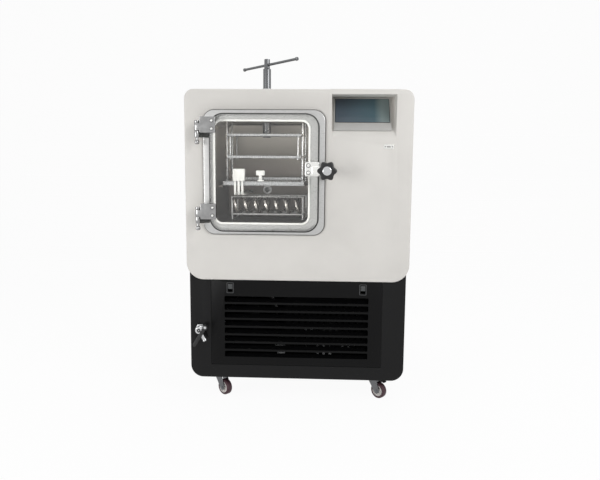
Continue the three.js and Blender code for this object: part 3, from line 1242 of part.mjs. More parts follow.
function corners(spacingX, spacingY) {
  const places = [];
  for (const x of [-spacingX / 2, spacingX / 2]) {
    for (const y of [-spacingY / 2, spacingY / 2]) {
      places.push({ x: CHAMBER_CENTRE_X + x, y: SHELF_CENTRE_Y + y });
    }
  }
  return places;
}

function plateOutline(width, depth) {
  return roundedRectangle(CHAMBER_CENTRE_X - width / 2, CHAMBER_CENTRE_X + width / 2,
    SHELF_CENTRE_Y - depth / 2, SHELF_CENTRE_Y + depth / 2, PLATE_RADIUS);
}

function guideNotches(low, high) {
  return corners(GUIDE_SPACING_X, GUIDE_SPACING_Y).map(({ x, y }) => (
    rod('z', x, y, GUIDE_RADIUS + RUN, low - OVERCUT, high + OVERCUT, 10)
  ));
}

// The press plate, with the four headed bolts that the middle shelf hangs on.
function pressPlate() {
  const headTop = MIDDLE_SHELF_FLOOR_Z - SEAT;
  const headLow = headTop - HANGER_HEAD_HEIGHT;
  const bolts = corners(HANGER_SPACING_X, HANGER_SPACING_Y).map(({ x, y }) => turned([
    [0, headLow],
    [HANGER_HEAD_RADIUS, headLow],
    [HANGER_HEAD_RADIUS, headTop],
    [HANGER_RADIUS, headTop],
    [HANGER_RADIUS, PRESS_PLATE_TOP_Z - OVERCUT],
    [0, PRESS_PLATE_TOP_Z - OVERCUT],
  ], x, y, 8));
  const plate = prism(plateOutline(PLATE_WIDTH, PLATE_DEPTH), 'z', PRESS_PLATE_FLOOR_Z, PRESS_PLATE_TOP_Z, 2);
  return cut(
    join(plate, ...bolts),
    rod('z', CHAMBER_CENTRE_X, SHELF_CENTRE_Y, RAM_NECK_RADIUS + RUN, PRESS_PLATE_FLOOR_Z - OVERCUT,
      PRESS_PLATE_TOP_Z + OVERCUT),
    ...guideNotches(PRESS_PLATE_FLOOR_Z, PRESS_PLATE_TOP_Z),
  );
}

function middleShelf() {
  const holes = corners(HANGER_SPACING_X, HANGER_SPACING_Y).map(({ x, y }) => (
    rod('z', x, y, HANGER_RADIUS + RUN, MIDDLE_SHELF_FLOOR_Z - OVERCUT, MIDDLE_SHELF_TOP_Z + OVERCUT, 8)
  ));
  return cut(
    prism(plateOutline(PLATE_WIDTH, PLATE_DEPTH), 'z', MIDDLE_SHELF_FLOOR_Z, MIDDLE_SHELF_TOP_Z, 2),
    ...holes,
    ...guideNotches(MIDDLE_SHELF_FLOOR_Z, MIDDLE_SHELF_TOP_Z),
  );
}

// The fixed heated shelf, with its rear stop and the four rods that guide the plates above it.
function lowerShelf() {
  const rods = corners(GUIDE_SPACING_X, GUIDE_SPACING_Y).map(({ x, y }) => (
    rod('z', x, y, GUIDE_RADIUS, LOWER_SHELF_TOP_Z - OVERCUT, CHAMBER_ROOF_Z - SEAT, 8)
  ));
  const half = LOWER_SHELF_WIDTH / 2 - PLATE_RADIUS;
  return join(
    prism(plateOutline(LOWER_SHELF_WIDTH, LOWER_SHELF_DEPTH), 'z', LOWER_SHELF_FLOOR_Z, LOWER_SHELF_TOP_Z, 2),
    block(CHAMBER_CENTRE_X - half, CHAMBER_CENTRE_X + half, SHELF_BACK_Y - REAR_STOP_THICKNESS - PLATE_RADIUS,
      SHELF_BACK_Y - PLATE_RADIUS, LOWER_SHELF_TOP_Z - OVERCUT, LOWER_SHELF_TOP_Z + REAR_STOP_HEIGHT),
    ...rods,
  );
}

function ramSpindle() {
  const neckTop = PRESS_PLATE_TOP_Z + SEAT;
  const neckLow = PRESS_PLATE_FLOOR_Z - SEAT;
  const body = turned([
    [0, neckLow - RAM_COLLAR_HEIGHT],
    [RAM_COLLAR_RADIUS, neckLow - RAM_COLLAR_HEIGHT],
    [RAM_COLLAR_RADIUS, neckLow],
    [RAM_NECK_RADIUS, neckLow],
    [RAM_NECK_RADIUS, neckTop],
    [RAM_RADIUS, neckTop],
    [RAM_RADIUS, RAM_STEP_Z],
    [RAM_UPPER_RADIUS, RAM_STEP_Z],
    [RAM_UPPER_RADIUS, RAM_TOP_Z - RAM_TOP_CHAMFER],
    [RAM_UPPER_RADIUS - RAM_TOP_CHAMFER, RAM_TOP_Z],
    [0, RAM_TOP_Z],
  ], CHAMBER_CENTRE_X, SHELF_CENTRE_Y);
  const hole = rod('x', SHELF_CENTRE_Y, TEE_BAR_Z, TEE_BAR_RADIUS + SEAT,
    CHAMBER_CENTRE_X - RAM_RADIUS - OVERCUT, CHAMBER_CENTRE_X + RAM_RADIUS + OVERCUT);
  const centre = vector(CHAMBER_CENTRE_X, SHELF_CENTRE_Y, TEE_BAR_Z);
  return cut(body, turnedCopy(hole, Z_AXIS, degrees(-TEE_BAR_ANGLE), centre));
}

function teeBar() {
  const half = TEE_BAR_LENGTH / 2;
  const from = CHAMBER_CENTRE_X + TEE_BAR_OFFSET - half;
  const to = CHAMBER_CENTRE_X + TEE_BAR_OFFSET + half;
  const bar = join(
    rod('x', SHELF_CENTRE_Y, TEE_BAR_Z, TEE_BAR_RADIUS, from, to, 16),
    rod('x', SHELF_CENTRE_Y, TEE_BAR_Z, TEE_BAR_END_RADIUS, from, from + TEE_BAR_END_LENGTH, 16),
    rod('x', SHELF_CENTRE_Y, TEE_BAR_Z, TEE_BAR_END_RADIUS, to - TEE_BAR_END_LENGTH, to, 16),
  );
  const centre = vector(CHAMBER_CENTRE_X, SHELF_CENTRE_Y, TEE_BAR_Z);
  return turnedCopy(bar, Z_AXIS, degrees(-TEE_BAR_ANGLE), centre);
}

function ramGland() {
  const bore = RAM_RADIUS + RUN;
  return turned([
    [bore, GLAND_FLOOR_Z],
    [GLAND_FLANGE_RADIUS, GLAND_FLOOR_Z],
    [GLAND_FLANGE_RADIUS, GLAND_FLOOR_Z + GLAND_FLANGE_HEIGHT],
    [GLAND_RADIUS, GLAND_FLOOR_Z + GLAND_FLANGE_HEIGHT],
    [GLAND_RADIUS, GLAND_TOP_Z],
    [bore, GLAND_TOP_Z],
    [bore, GLAND_FLOOR_Z],
  ], CHAMBER_CENTRE_X, SHELF_CENTRE_Y);
}

// ---------------------------------------------------------------- condenser coil, leads and probe

function coilRunX(turn) {
  return CHAMBER_LEFT_X + COIL_LEFT_ROOM + turn * COIL_PITCH;
}

function coilEnds() {
  return [
    { x: coilRunX(0), z: COIL_CENTRE_Z + COIL_BEND_RADIUS },
    { x: coilRunX(COIL_TURNS - 0.5), z: COIL_CENTRE_Z - COIL_BEND_RADIUS },
  ];
}

// Straight runs joined by bends: each front bend steps half a pitch to the right as it goes down, and each
// rear bend another half as it comes up.
function condenserCoil() {
  const outside = CHAMBER_BACK_Y + CHAMBER_WALL + COIL_BEND_RADIUS;
  const points = [vector(coilRunX(0), outside, COIL_CENTRE_Z + COIL_BEND_RADIUS)];
  const bend = (x, y, way, up) => {
    for (let i = 0; i <= COIL_BEND_CUTS; i += 1) {
      const part = i / COIL_BEND_CUTS;
      const out = way * COIL_BEND_RADIUS * Math.sin(part * Math.PI);
      const rise = up * COIL_BEND_RADIUS * Math.cos(part * Math.PI);
      points.push(vector(x + part * COIL_PITCH / 2, y + out, COIL_CENTRE_Z + rise));
    }
  };
  for (let turn = 0; turn < COIL_TURNS; turn += 1) {
    bend(coilRunX(turn), COIL_FRONT_Y, -1, 1);
    if (turn < COIL_TURNS - 1) bend(coilRunX(turn + 0.5), COIL_REAR_Y, 1, -1);
  }
  points.push(vector(coilRunX(COIL_TURNS - 0.5), outside, COIL_CENTRE_Z - COIL_BEND_RADIUS));
  return pipe(points, COIL_TUBE_RADIUS, 6);
}

function coilRack() {
  const left = coilRunX(0) - COIL_TUBE_RADIUS - SEAT - RACK_BAR;
  const right = coilRunX(COIL_TURNS - 0.5) + COIL_TUBE_RADIUS + SEAT;
  const reach = COIL_BEND_RADIUS + COIL_TUBE_RADIUS + SEAT;
  const barTop = COIL_CENTRE_Z - reach;
  const railLow = COIL_CENTRE_Z + reach;
  const floor = CHAMBER_FLOOR_Z + SEAT;
  const front = COIL_FRONT_Y + RACK_INSET;
  const back = COIL_REAR_Y - RACK_INSET;
  const parts = [];
  for (const y of [front, back]) {
    parts.push(block(left, right + RACK_BAR, y, y + RACK_BAR, barTop - RACK_BAR, barTop));
    parts.push(block(left, right + RACK_BAR, y, y + RACK_BAR, railLow, railLow + RACK_TOP_BAR));
    for (const x of [left, right]) {
      parts.push(block(x, x + RACK_BAR, y, y + RACK_BAR, floor, railLow + RACK_TOP_BAR));
    }
  }
  for (const x of [left, right]) {
    parts.push(block(x, x + RACK_BAR, front, back + RACK_BAR, floor, floor + RACK_BAR));
  }
  return join(...parts);
}

function leadXs() {
  const xs = [];
  for (let i = 0; i < LEAD_COUNT; i += 1) {
    xs.push(BLOCK_CENTRE_X + (i - (LEAD_COUNT - 1) / 2) * LEAD_SPACING);
  }
  return xs;
}

function blockFrontY() {
  return SHELF_FRONT_Y - BLOCK_OVERHANG;
}

function probeBlock() {
  const low = LOWER_SHELF_TOP_Z + SEAT;
  const front = blockFrontY();
  const high = low + BLOCK_HEIGHT;
  const left = BLOCK_CENTRE_X - BLOCK_WIDTH / 2;
  const right = BLOCK_CENTRE_X + BLOCK_WIDTH / 2;
  const grooveLow = low + BLOCK_HEIGHT / 2;
  const outline = roundedRectangle(left, right, low, high, BLOCK_RADIUS);
  const groove = block(left - OVERCUT, right + OVERCUT, front - OVERCUT, front + BLOCK_GROOVE_DEPTH,
    grooveLow, grooveLow + BLOCK_GROOVE_HEIGHT);
  return cut(prism(outline, 'y', front, front + BLOCK_DEPTH, 3), groove);
}

// One lead: down from the block in front of the shelf, then back under it and out through the rear wall.
function sensorLead(x) {
  const y = blockFrontY() + LEAD_RADIUS + LEAD_SET_IN;
  const end = CHAMBER_BACK_Y + CHAMBER_WALL + LEAD_BEND_RADIUS;
  const route = [vector(x, y, LOWER_SHELF_TOP_Z), vector(x, y, LEAD_RUN_Z), vector(x, end, LEAD_RUN_Z)];
  return pipe(eased(route, LEAD_BEND_RADIUS), LEAD_RADIUS, 6);
}

function probeClip() {
  const low = LOWER_SHELF_TOP_Z + SEAT;
  const headLow = low + PROBE_HEIGHT - PROBE_HEAD_HEIGHT;
  const y = SHELF_FRONT_Y + PROBE_DEPTH / 2;
  const foot = PROBE_FOOT_WIDTH / 2;
  const post = PROBE_STEM_WIDTH / 2;
  return join(
    block(PROBE_X - PROBE_WIDTH / 2, PROBE_X + PROBE_WIDTH / 2, y, y + PROBE_DEPTH, headLow,
      headLow + PROBE_HEAD_HEIGHT),
    block(PROBE_X - post, PROBE_X + post, y, y + PROBE_DEPTH, low, headLow + OVERCUT),
    block(PROBE_X - foot, PROBE_X + foot, y, y + 2 * PROBE_DEPTH, low, low + PROBE_FOOT_HEIGHT),
  );
}

// ---------------------------------------------------------------- vacuum port

function vacuumPort() {
  const inner = CHAMBER_BACK_Y - SEAT;
  const outer = CHAMBER_BACK_Y + CHAMBER_WALL + SEAT;
  const tube = join(
    rod('y', PORT_X, PORT_Z, PORT_RADIUS, inner - PORT_COLLAR_THICKNESS, PORT_END_Y),
    rod('y', PORT_X, PORT_Z, PORT_COLLAR_RADIUS, inner - PORT_COLLAR_THICKNESS, inner),
    rod('y', PORT_X, PORT_Z, PORT_COLLAR_RADIUS, outer, outer + PORT_COLLAR_THICKNESS),
    rod('y', PORT_X, PORT_Z, PORT_FLANGE_RADIUS, PORT_END_Y - PORT_FLANGE_THICKNESS, PORT_END_Y, 20),
  );
  const mouth = inner - PORT_COLLAR_THICKNESS - OVERCUT;
  return cut(tube, rod('y', PORT_X, PORT_Z, PORT_RADIUS - PORT_WALL, mouth, PORT_END_Y + OVERCUT));
}

// ---------------------------------------------------------------- display and data socket

// A frame that lies on the pocket's sloped back: its x is the part's x, its y runs up the slope and its z out
// of it. Its origin is where the slope meets the lip.
function pocketFrame(body) {
  const tilt = degrees(POCKET_TILT);
  const up = vector(0, Math.sin(tilt), Math.cos(tilt));
  const out = vector(0, -Math.cos(tilt), Math.sin(tilt));
  const place = new THREE.Matrix4().makeBasis(X_AXIS, up, out);
  place.setPosition(0, POCKET_LIP_DEPTH, POCKET_SILL_Z + POCKET_LIP_HEIGHT);
  return body.transform(place.elements);
}

function displayBezel() {
  const plate = roundedRectangle(BEZEL_LEFT_X, BEZEL_RIGHT_X, SEAT, BEZEL_LENGTH, BEZEL_RADIUS);
  const face = SEAT + BEZEL_THICKNESS;
  const recess = block(SCREEN_LEFT_X - SEAT, SCREEN_RIGHT_X + SEAT, SCREEN_BOTTOM_BORDER - SEAT,
    SCREEN_BOTTOM_BORDER + SCREEN_LENGTH + SEAT, face - SCREEN_THICKNESS - SEAT, face + OVERCUT);
  return pocketFrame(cut(prism(plate, 'z', SEAT, face, 3), recess));
}

function displayScreen() {
  const high = SCREEN_BOTTOM_BORDER + SCREEN_LENGTH;
  const outline = roundedRectangle(SCREEN_LEFT_X, SCREEN_RIGHT_X, SCREEN_BOTTOM_BORDER, high, SCREEN_RADIUS);
  const face = SEAT + BEZEL_THICKNESS;
  return pocketFrame(prism(outline, 'z', face - SCREEN_THICKNESS, face, 3));
}

function dataSocket() {
  const halfX = SOCKET_PLATE_WIDTH / 2;
  const halfZ = SOCKET_PLATE_HEIGHT / 2;
  const face = -SEAT - SOCKET_PLATE_THICKNESS;
  const outline = roundedRectangle(SOCKET_PLATE_X - halfX, SOCKET_PLATE_X + halfX, SOCKET_PLATE_Z - halfZ,
    SOCKET_PLATE_Z + halfZ, SOCKET_PLATE_RADIUS);
  const shellX = DATA_PORT_WIDTH / 2 + DATA_PORT_WALL;
  const shellZ = DATA_PORT_HEIGHT / 2 + DATA_PORT_WALL;
  const screws = [-1, 1].map((side) => rod('y', SOCKET_PLATE_X + side * (halfX - SOCKET_PLATE_SCREW_INSET),
    SOCKET_PLATE_Z, SOCKET_PLATE_SCREW_RADIUS, face - SOCKET_PLATE_SCREW_HEAD, -SEAT, 12));
  return cut(
    join(
      prism(outline, 'y', face, -SEAT, 3),
      block(SOCKET_PLATE_X - shellX, SOCKET_PLATE_X + shellX, face + OVERCUT, DATA_PORT_DEPTH,
        SOCKET_PLATE_Z - shellZ, SOCKET_PLATE_Z + shellZ),
      ...screws,
    ),
    block(SOCKET_PLATE_X - DATA_PORT_WIDTH / 2, SOCKET_PLATE_X + DATA_PORT_WIDTH / 2, face - OVERCUT,
      DATA_PORT_DEPTH - DATA_PORT_WALL, SOCKET_PLATE_Z - DATA_PORT_HEIGHT / 2,
      SOCKET_PLATE_Z + DATA_PORT_HEIGHT / 2),
  );
}

// ---------------------------------------------------------------- drain valve and hose

// The valve's body on the cabinet's front, with a spout that points down and a boss for the lever.
function drainValve() {
  const wall = VALVE_WALL_Y - SEAT;
  const front = valveFrontY();
  const tailEnd = CABINET_INNER_Y + VALVE_TAIL_LENGTH;
  const spoutY = front + VALVE_SPOUT_RADIUS + VALVE_SPOUT_SETBACK;
  const centre = vector(VALVE_X, spoutY, VALVE_Z);
  const reach = VALVE_BODY_RADIUS + VALVE_SPOUT_LENGTH;
  const spout = (radius, length) => {
    const upright = rod('z', VALVE_X, spoutY, radius, VALVE_Z - length, VALVE_Z, 12);
    return turnedCopy(upright, Y_AXIS, degrees(-VALVE_SPOUT_ANGLE), centre);
  };
  const arm = polygon([
    [VALVE_X, VALVE_Z + VALVE_BODY_RADIUS], [VALVE_X, VALVE_Z - VALVE_STEM_RADIUS],
    [LEVER_X, LEVER_Z - VALVE_BOSS_RADIUS], [LEVER_X, LEVER_Z + VALVE_BOSS_RADIUS],
  ]);
  return cut(
    join(
      rod('y', VALVE_X, VALVE_Z, VALVE_NUT_RADIUS, wall - VALVE_NUT_THICKNESS, wall, 6),
      rod('y', VALVE_X, VALVE_Z, VALVE_BODY_RADIUS, front, wall, 20),
      rod('y', VALVE_X, VALVE_Z, VALVE_TAIL_RADIUS, wall - OVERCUT, tailEnd, 16),
      spout(VALVE_SPOUT_RADIUS, reach),
      prism(arm, 'y', front, front + 2 * VALVE_BOSS_RADIUS),
      rod('y', LEVER_X, LEVER_Z, VALVE_BOSS_RADIUS, front, front + 2 * VALVE_BOSS_RADIUS, 16),
      rod('y', LEVER_X, LEVER_Z, VALVE_STEM_RADIUS, front - VALVE_STEM_LENGTH, front + OVERCUT, 12),
    ),
    rod('y', VALVE_X, VALVE_Z, VALVE_BORE_RADIUS, spoutY, tailEnd + OVERCUT, 12),
    spout(VALVE_BORE_RADIUS, reach + OVERCUT),
  );
}

function valveFrontY() {
  return VALVE_WALL_Y - SEAT - VALVE_NUT_THICKNESS - VALVE_BODY_REACH;
}

// The black lever: a hub on the valve's stem and a flat arm that rests down to the left.
function drainLever() {
  const back = valveFrontY() - SEAT;
  const face = back - LEVER_THICKNESS;
  const half = LEVER_WIDTH / 2;
  const arm = roundedRectangle(LEVER_X - half, LEVER_X + half, LEVER_Z - LEVER_LENGTH, LEVER_Z + half,
    half - LEVER_END_FLAT / 2);
  const body = join(
    turnedCopy(prism(arm, 'y', face, back, 3), Y_AXIS, degrees(LEVER_ANGLE), vector(LEVER_X, 0, LEVER_Z)),
    rod('y', LEVER_X, LEVER_Z, LEVER_HUB_RADIUS, face, back, 16),
  );
  return cut(body, rod('y', LEVER_X, LEVER_Z, VALVE_STEM_RADIUS + RUN, face + SLACK / 2, back + OVERCUT, 16));
}

function drainHose() {
  const top = CHAMBER_FLOOR_Z - CHAMBER_WALL - SEAT;
  const tailTip = CABINET_INNER_Y + VALVE_TAIL_LENGTH / 2;
  const corner = (grow) => eased([
    vector(DRAIN_X, DRAIN_Y, top + grow),
    vector(DRAIN_X, DRAIN_Y, top - HOSE_TOP_RUN),
    vector(VALVE_X, HOSE_Y, DECK_TOP_Z + HOSE_DECK_RUN),
    vector(VALVE_X, HOSE_Y, VALVE_Z),
    vector(VALVE_X, tailTip - grow, VALVE_Z),
  ], HOSE_BEND, 2);
  return cut(
    pipe(corner(0), HOSE_RADIUS, 8),
    pipe(corner(OVERCUT), HOSE_RADIUS - HOSE_WALL, 8),
    rod('z', DRAIN_X, DRAIN_Y, HOSE_RADIUS - HOSE_WALL, top - DRAIN_STUB_LENGTH - SEAT, top + OVERCUT),
    rod('y', VALVE_X, VALVE_Z, VALVE_TAIL_RADIUS + SEAT, tailTip - OVERCUT,
      tailTip + VALVE_TAIL_LENGTH / 2 + SEAT, 16),
  );
}

// ---------------------------------------------------------------- refrigeration

function compressor() {
  const floor = BASE_PLATE_TOP_Z + SEAT;
  const foot = COMPRESSOR_FOOT_RADIUS / Math.SQRT2;
  const top = floor + COMPRESSOR_HEIGHT;
  const seamLow = floor + COMPRESSOR_SEAM_RISE;
  const seamHigh = seamLow + COMPRESSOR_SEAM_HEIGHT;
  const shell = turned([
    [0, floor],
    [COMPRESSOR_BASE_RADIUS, floor],
    [COMPRESSOR_RADIUS, floor + COMPRESSOR_BASE_RISE],
    [COMPRESSOR_RADIUS, seamLow - COMPRESSOR_SEAM_SLOPE],
    [COMPRESSOR_RADIUS + COMPRESSOR_SEAM_PROUD, seamLow],
    [COMPRESSOR_RADIUS + COMPRESSOR_SEAM_PROUD, seamHigh],
    [COMPRESSOR_RADIUS, seamHigh + COMPRESSOR_SEAM_SLOPE],
    [COMPRESSOR_RADIUS, top - COMPRESSOR_DOME_HEIGHT],
    [COMPRESSOR_CROWN_RADIUS, top - COMPRESSOR_CROWN_HEIGHT],
    [COMPRESSOR_TOP_RADIUS, top],
    [0, top],
  ], COMPRESSOR_X, COMPRESSOR_Y);
  return join(
    shell,
    block(COMPRESSOR_X - foot, COMPRESSOR_X + foot, COMPRESSOR_Y - foot, COMPRESSOR_Y + foot, floor,
      floor + COMPRESSOR_FOOT_THICKNESS),
  );
}

// The finned condenser block: a core with a row of vertical air gaps through it.
function airCondenser() {
  const low = BASE_PLATE_TOP_Z + SEAT;
  const left = CONDENSER_X - CONDENSER_WIDTH / 2;
  const right = CONDENSER_X + CONDENSER_WIDTH / 2;
  const gapLow = low + CONDENSER_FIN_PITCH / 2;
  const gapHigh = low + CONDENSER_HEIGHT - CONDENSER_FIN_PITCH / 2;
  const gaps = [];
  const count = Math.floor((CONDENSER_WIDTH - CONDENSER_FIN_PITCH) / CONDENSER_FIN_PITCH);
  const first = CONDENSER_X - (count - 1) * CONDENSER_FIN_PITCH / 2;
  for (let i = 0; i < count; i += 1) {
    const x = first + i * CONDENSER_FIN_PITCH;
    gaps.push(block(x - CONDENSER_FIN_GAP / 2, x + CONDENSER_FIN_GAP / 2, CONDENSER_Y - OVERCUT,
      CONDENSER_BACK_Y + OVERCUT, gapLow, gapHigh));
  }
  return cut(block(left, right, CONDENSER_Y, CONDENSER_BACK_Y, low, low + CONDENSER_HEIGHT), ...gaps);
}

function fanShroud() {
  const low = BASE_PLATE_TOP_Z + SEAT;
  const half = CONDENSER_WIDTH / 2;
  const opening = FAN_RADIUS + FAN_TIP_GAP;
  const box = cut(
    block(CONDENSER_X - half, CONDENSER_X + half, SHROUD_FRONT_Y, SHROUD_BACK_Y, low, low + CONDENSER_HEIGHT),
    block(CONDENSER_X - half + SHROUD_WALL, CONDENSER_X + half - SHROUD_WALL, SHROUD_FRONT_Y - OVERCUT,
      SHROUD_BACK_Y - SHROUD_WALL, low + SHROUD_WALL, low + CONDENSER_HEIGHT - SHROUD_WALL),
  );
  const ringFront = SHROUD_BACK_Y - FAN_DEPTH;
  const ring = cut(
    rod('y', CONDENSER_X, FAN_CENTRE_Z, opening + SHROUD_WALL, ringFront, SHROUD_BACK_Y, 20),
    rod('y', CONDENSER_X, FAN_CENTRE_Z, opening, ringFront - OVERCUT, SHROUD_BACK_Y + OVERCUT, 20),
  );
  const hole = rod('y', CONDENSER_X, FAN_CENTRE_Z, opening, SHROUD_FRONT_Y, SHROUD_BACK_Y + OVERCUT, 20);
  return join(cut(box, hole), ring);
}

// The fan's motor, on a cross bar that is screwed to the shroud's back.
function fanMotor() {
  const front = SHROUD_BACK_Y + SEAT;
  const bar = FAN_RADIUS + FAN_TIP_GAP + MOTOR_BAR_LAP;
  const shaftTip = SHROUD_BACK_Y - FAN_DEPTH / 2;
  return join(
    rod('y', CONDENSER_X, FAN_CENTRE_Z, MOTOR_RADIUS, front, front + MOTOR_LENGTH),
    block(CONDENSER_X - bar, CONDENSER_X + bar, front, front + MOTOR_BAR_THICKNESS,
      FAN_CENTRE_Z - MOTOR_BAR_HEIGHT / 2, FAN_CENTRE_Z + MOTOR_BAR_HEIGHT / 2),
    rod('y', CONDENSER_X, FAN_CENTRE_Z, MOTOR_SHAFT_RADIUS, shaftTip, front + OVERCUT, 16),
  );
}

function fanRotor() {
  const back = SHROUD_BACK_Y - SEAT;
  const front = back - FAN_DEPTH;
  const parts = [rod('y', CONDENSER_X, FAN_CENTRE_Z, FAN_HUB_RADIUS, front, back)];
  const centre = vector(CONDENSER_X, (front + back) / 2, FAN_CENTRE_Z);
  const root = CONDENSER_X + FAN_HUB_RADIUS - FAN_BLADE_ROOT;
  const tip = CONDENSER_X + FAN_RADIUS - FAN_TIP_TRIM;
  const thick = FAN_BLADE_THICKNESS / 2;
  const wide = FAN_BLADE_WIDTH / 2;
  for (let i = 0; i < FAN_BLADES; i += 1) {
    const blade = block(root, tip, centre.y - thick, centre.y + thick, centre.z - wide, centre.z + wide);
    const pitched = turnedCopy(blade, X_AXIS, degrees(FAN_BLADE_PITCH), centre);
    parts.push(turnedCopy(pitched, Y_AXIS, (i / FAN_BLADES) * Math.PI * 2, centre));
  }
  const socket = rod('y', CONDENSER_X, FAN_CENTRE_Z, MOTOR_SHAFT_RADIUS + RUN, back - FAN_DEPTH / 2 - SEAT,
    back + OVERCUT, 16);
  return cut(join(...parts), socket);
}

// A line from one end of the coil down through the housing's deck to the compressor's top.
function refrigerantLine(end, toX) {
  const behind = CHAMBER_BACK_Y + CHAMBER_WALL + COIL_BEND_RADIUS + SEAT;
  const top = BASE_PLATE_TOP_Z + 2 * SEAT + COMPRESSOR_HEIGHT;
  const turnY = behind + PIPE_BACK_RUN;
  return pipe(eased([
    vector(end.x, behind, end.z),
    vector(end.x, turnY, end.z),
    vector(end.x, turnY, DECK_TOP_Z + PIPE_HIGH_BEND),
    vector(toX, COMPRESSOR_Y, DECK_TOP_Z + PIPE_LOW_BEND),
    vector(toX, COMPRESSOR_Y, top),
  ], PIPE_BEND, 2), PIPE_RADIUS, 6);
}

// ---------------------------------------------------------------- electrics

function controlBox() {
  const left = BOX_RIGHT_X - BOX_WIDTH;
  const right = BOX_RIGHT_X;
  const low = DECK_TOP_Z + SEAT;
  const wall = COVER_THICKNESS;
  const vents = [];
  for (let i = 0; i < BOX_VENT_COUNT; i += 1) {
    const y = BOX_Y + BOX_VENT_MARGIN + i * BOX_VENT_PITCH;
    vents.push(block(left + BOX_VENT_MARGIN, right - BOX_VENT_MARGIN, y, y + VENT_HEIGHT,
      low + BOX_HEIGHT - wall - OVERCUT, low + BOX_HEIGHT + OVERCUT));
  }
  return cut(
    block(left, right, BOX_Y, BOX_Y + BOX_DEPTH, low, low + BOX_HEIGHT),
    block(left + wall, right - wall, BOX_Y + wall, BOX_Y + BOX_DEPTH - wall, low + wall,
      low + BOX_HEIGHT - wall),
    ...vents,
  );
}

// The inlet module in the rear cover: a flanged body with the socket's well beside the switch's well.
function powerInlet() {
  const halfX = INLET_WIDTH / 2;
  const halfZ = INLET_HEIGHT / 2;
  const seat = COVER_BACK_Y + SEAT;
  const face = seat + INLET_FLANGE_THICKNESS;
  const floor = seat - INLET_DEPTH;
  const socketX = INLET_X + WELL_OFFSET_X;
  const switchX = INLET_X + SWITCH_OFFSET_X;
  const flange = roundedRectangle(INLET_X - halfX - INLET_FLANGE, INLET_X + halfX + INLET_FLANGE,
    INLET_Z - halfZ - INLET_FLANGE, INLET_Z + halfZ + INLET_FLANGE, INLET_RADIUS);
  const well = roundedRectangle(socketX - WELL_WIDTH / 2, socketX + WELL_WIDTH / 2, INLET_Z - WELL_HEIGHT / 2,
    INLET_Z + WELL_HEIGHT / 2, INLET_RADIUS);
  const body = join(
    block(INLET_X - halfX, INLET_X + halfX, floor, seat + OVERCUT, INLET_Z - halfZ, INLET_Z + halfZ),
    prism(flange, 'y', seat, face, 3),
  );
  const wellFloor = floor + WELL_FLOOR;
  const pinHalf = PIN_THICKNESS / 2;
  const pins = [-PIN_SPACING, 0, PIN_SPACING].map((x) => block(
    socketX + x - pinHalf, socketX + x + pinHalf, wellFloor - OVERCUT, seat, INLET_Z - PIN_DROP,
    INLET_Z - PIN_DROP + PIN_HEIGHT,
  ));
  const hollow = cut(
    body,
    prism(well, 'y', wellFloor, face + OVERCUT, 3),
    block(switchX - SWITCH_WIDTH / 2, switchX + SWITCH_WIDTH / 2, seat - INLET_DEPTH / 2, face + OVERCUT,
      INLET_Z - SWITCH_HEIGHT / 2, INLET_Z + SWITCH_HEIGHT / 2),
  );
  return join(hollow, ...pins);
}

// The rocker, tipped to its off side.
function switchRocker() {
  const half = SWITCH_WIDTH / 2 - SEAT;
  const face = COVER_BACK_Y + SEAT + INLET_FLANGE_THICKNESS;
  const reach = SWITCH_HEIGHT / 2 - SLACK / 2;
  const rise = reach * Math.tan(degrees(SWITCH_THROW));
  const root = reach - SWITCH_ROOT_INSET;
  const outline = polygon([
    [face - SWITCH_DEPTH, INLET_Z - root],
    [face - rise / 2, INLET_Z - reach],
    [face + rise / 4, INLET_Z],
    [face + rise, INLET_Z + reach],
    [face - SWITCH_DEPTH, INLET_Z + root],
  ]);
  const x = INLET_X + SWITCH_OFFSET_X;
  return prism(outline, 'x', x - half, x + half);
}

// ---------------------------------------------------------------- casters

// Each caster is made with its swivel axis at the origin and its wheel trailing along +X.
function casterFork() {
  const cheekIn = WHEEL_WIDTH / 2 + SEAT * 2;
  const cheekOut = cheekIn + CHEEK_THICKNESS;
  const axleReach = cheekOut + AXLE_PROUD;
  const cheek = polygon([
    [-CHEEK_LEADING_REACH, CASTER_HEAD_FLOOR_Z + OVERCUT],
    [CASTER_TRAIL - CHEEK_FOOT_REACH, WHEEL_RADIUS - CHEEK_LEADING_DROP],
    [CASTER_TRAIL, WHEEL_RADIUS - CHEEK_FOOT_DROP],
    [CASTER_TRAIL + CHEEK_FOOT_REACH, WHEEL_RADIUS - CHEEK_TRAILING_DROP],
    [CHEEK_TRAILING_REACH, CASTER_HEAD_FLOOR_Z + OVERCUT],
  ]);
  const body = join(
    rod('z', 0, 0, CASTER_HEAD_RADIUS, CASTER_HEAD_FLOOR_Z, CASTER_HEAD_TOP_Z, 16),
    prism(cheek, 'y', cheekIn, cheekOut),
    prism(cheek, 'y', -cheekOut, -cheekIn),
    rod('y', CASTER_TRAIL, WHEEL_RADIUS, AXLE_RADIUS, -axleReach, axleReach, 8),
  );
  return cut(body, rod('z', 0, 0, CASTER_STEM_RADIUS + RUN, CASTER_HEAD_FLOOR_Z - OVERCUT,
    CASTER_HEAD_TOP_Z + OVERCUT, 14));
}

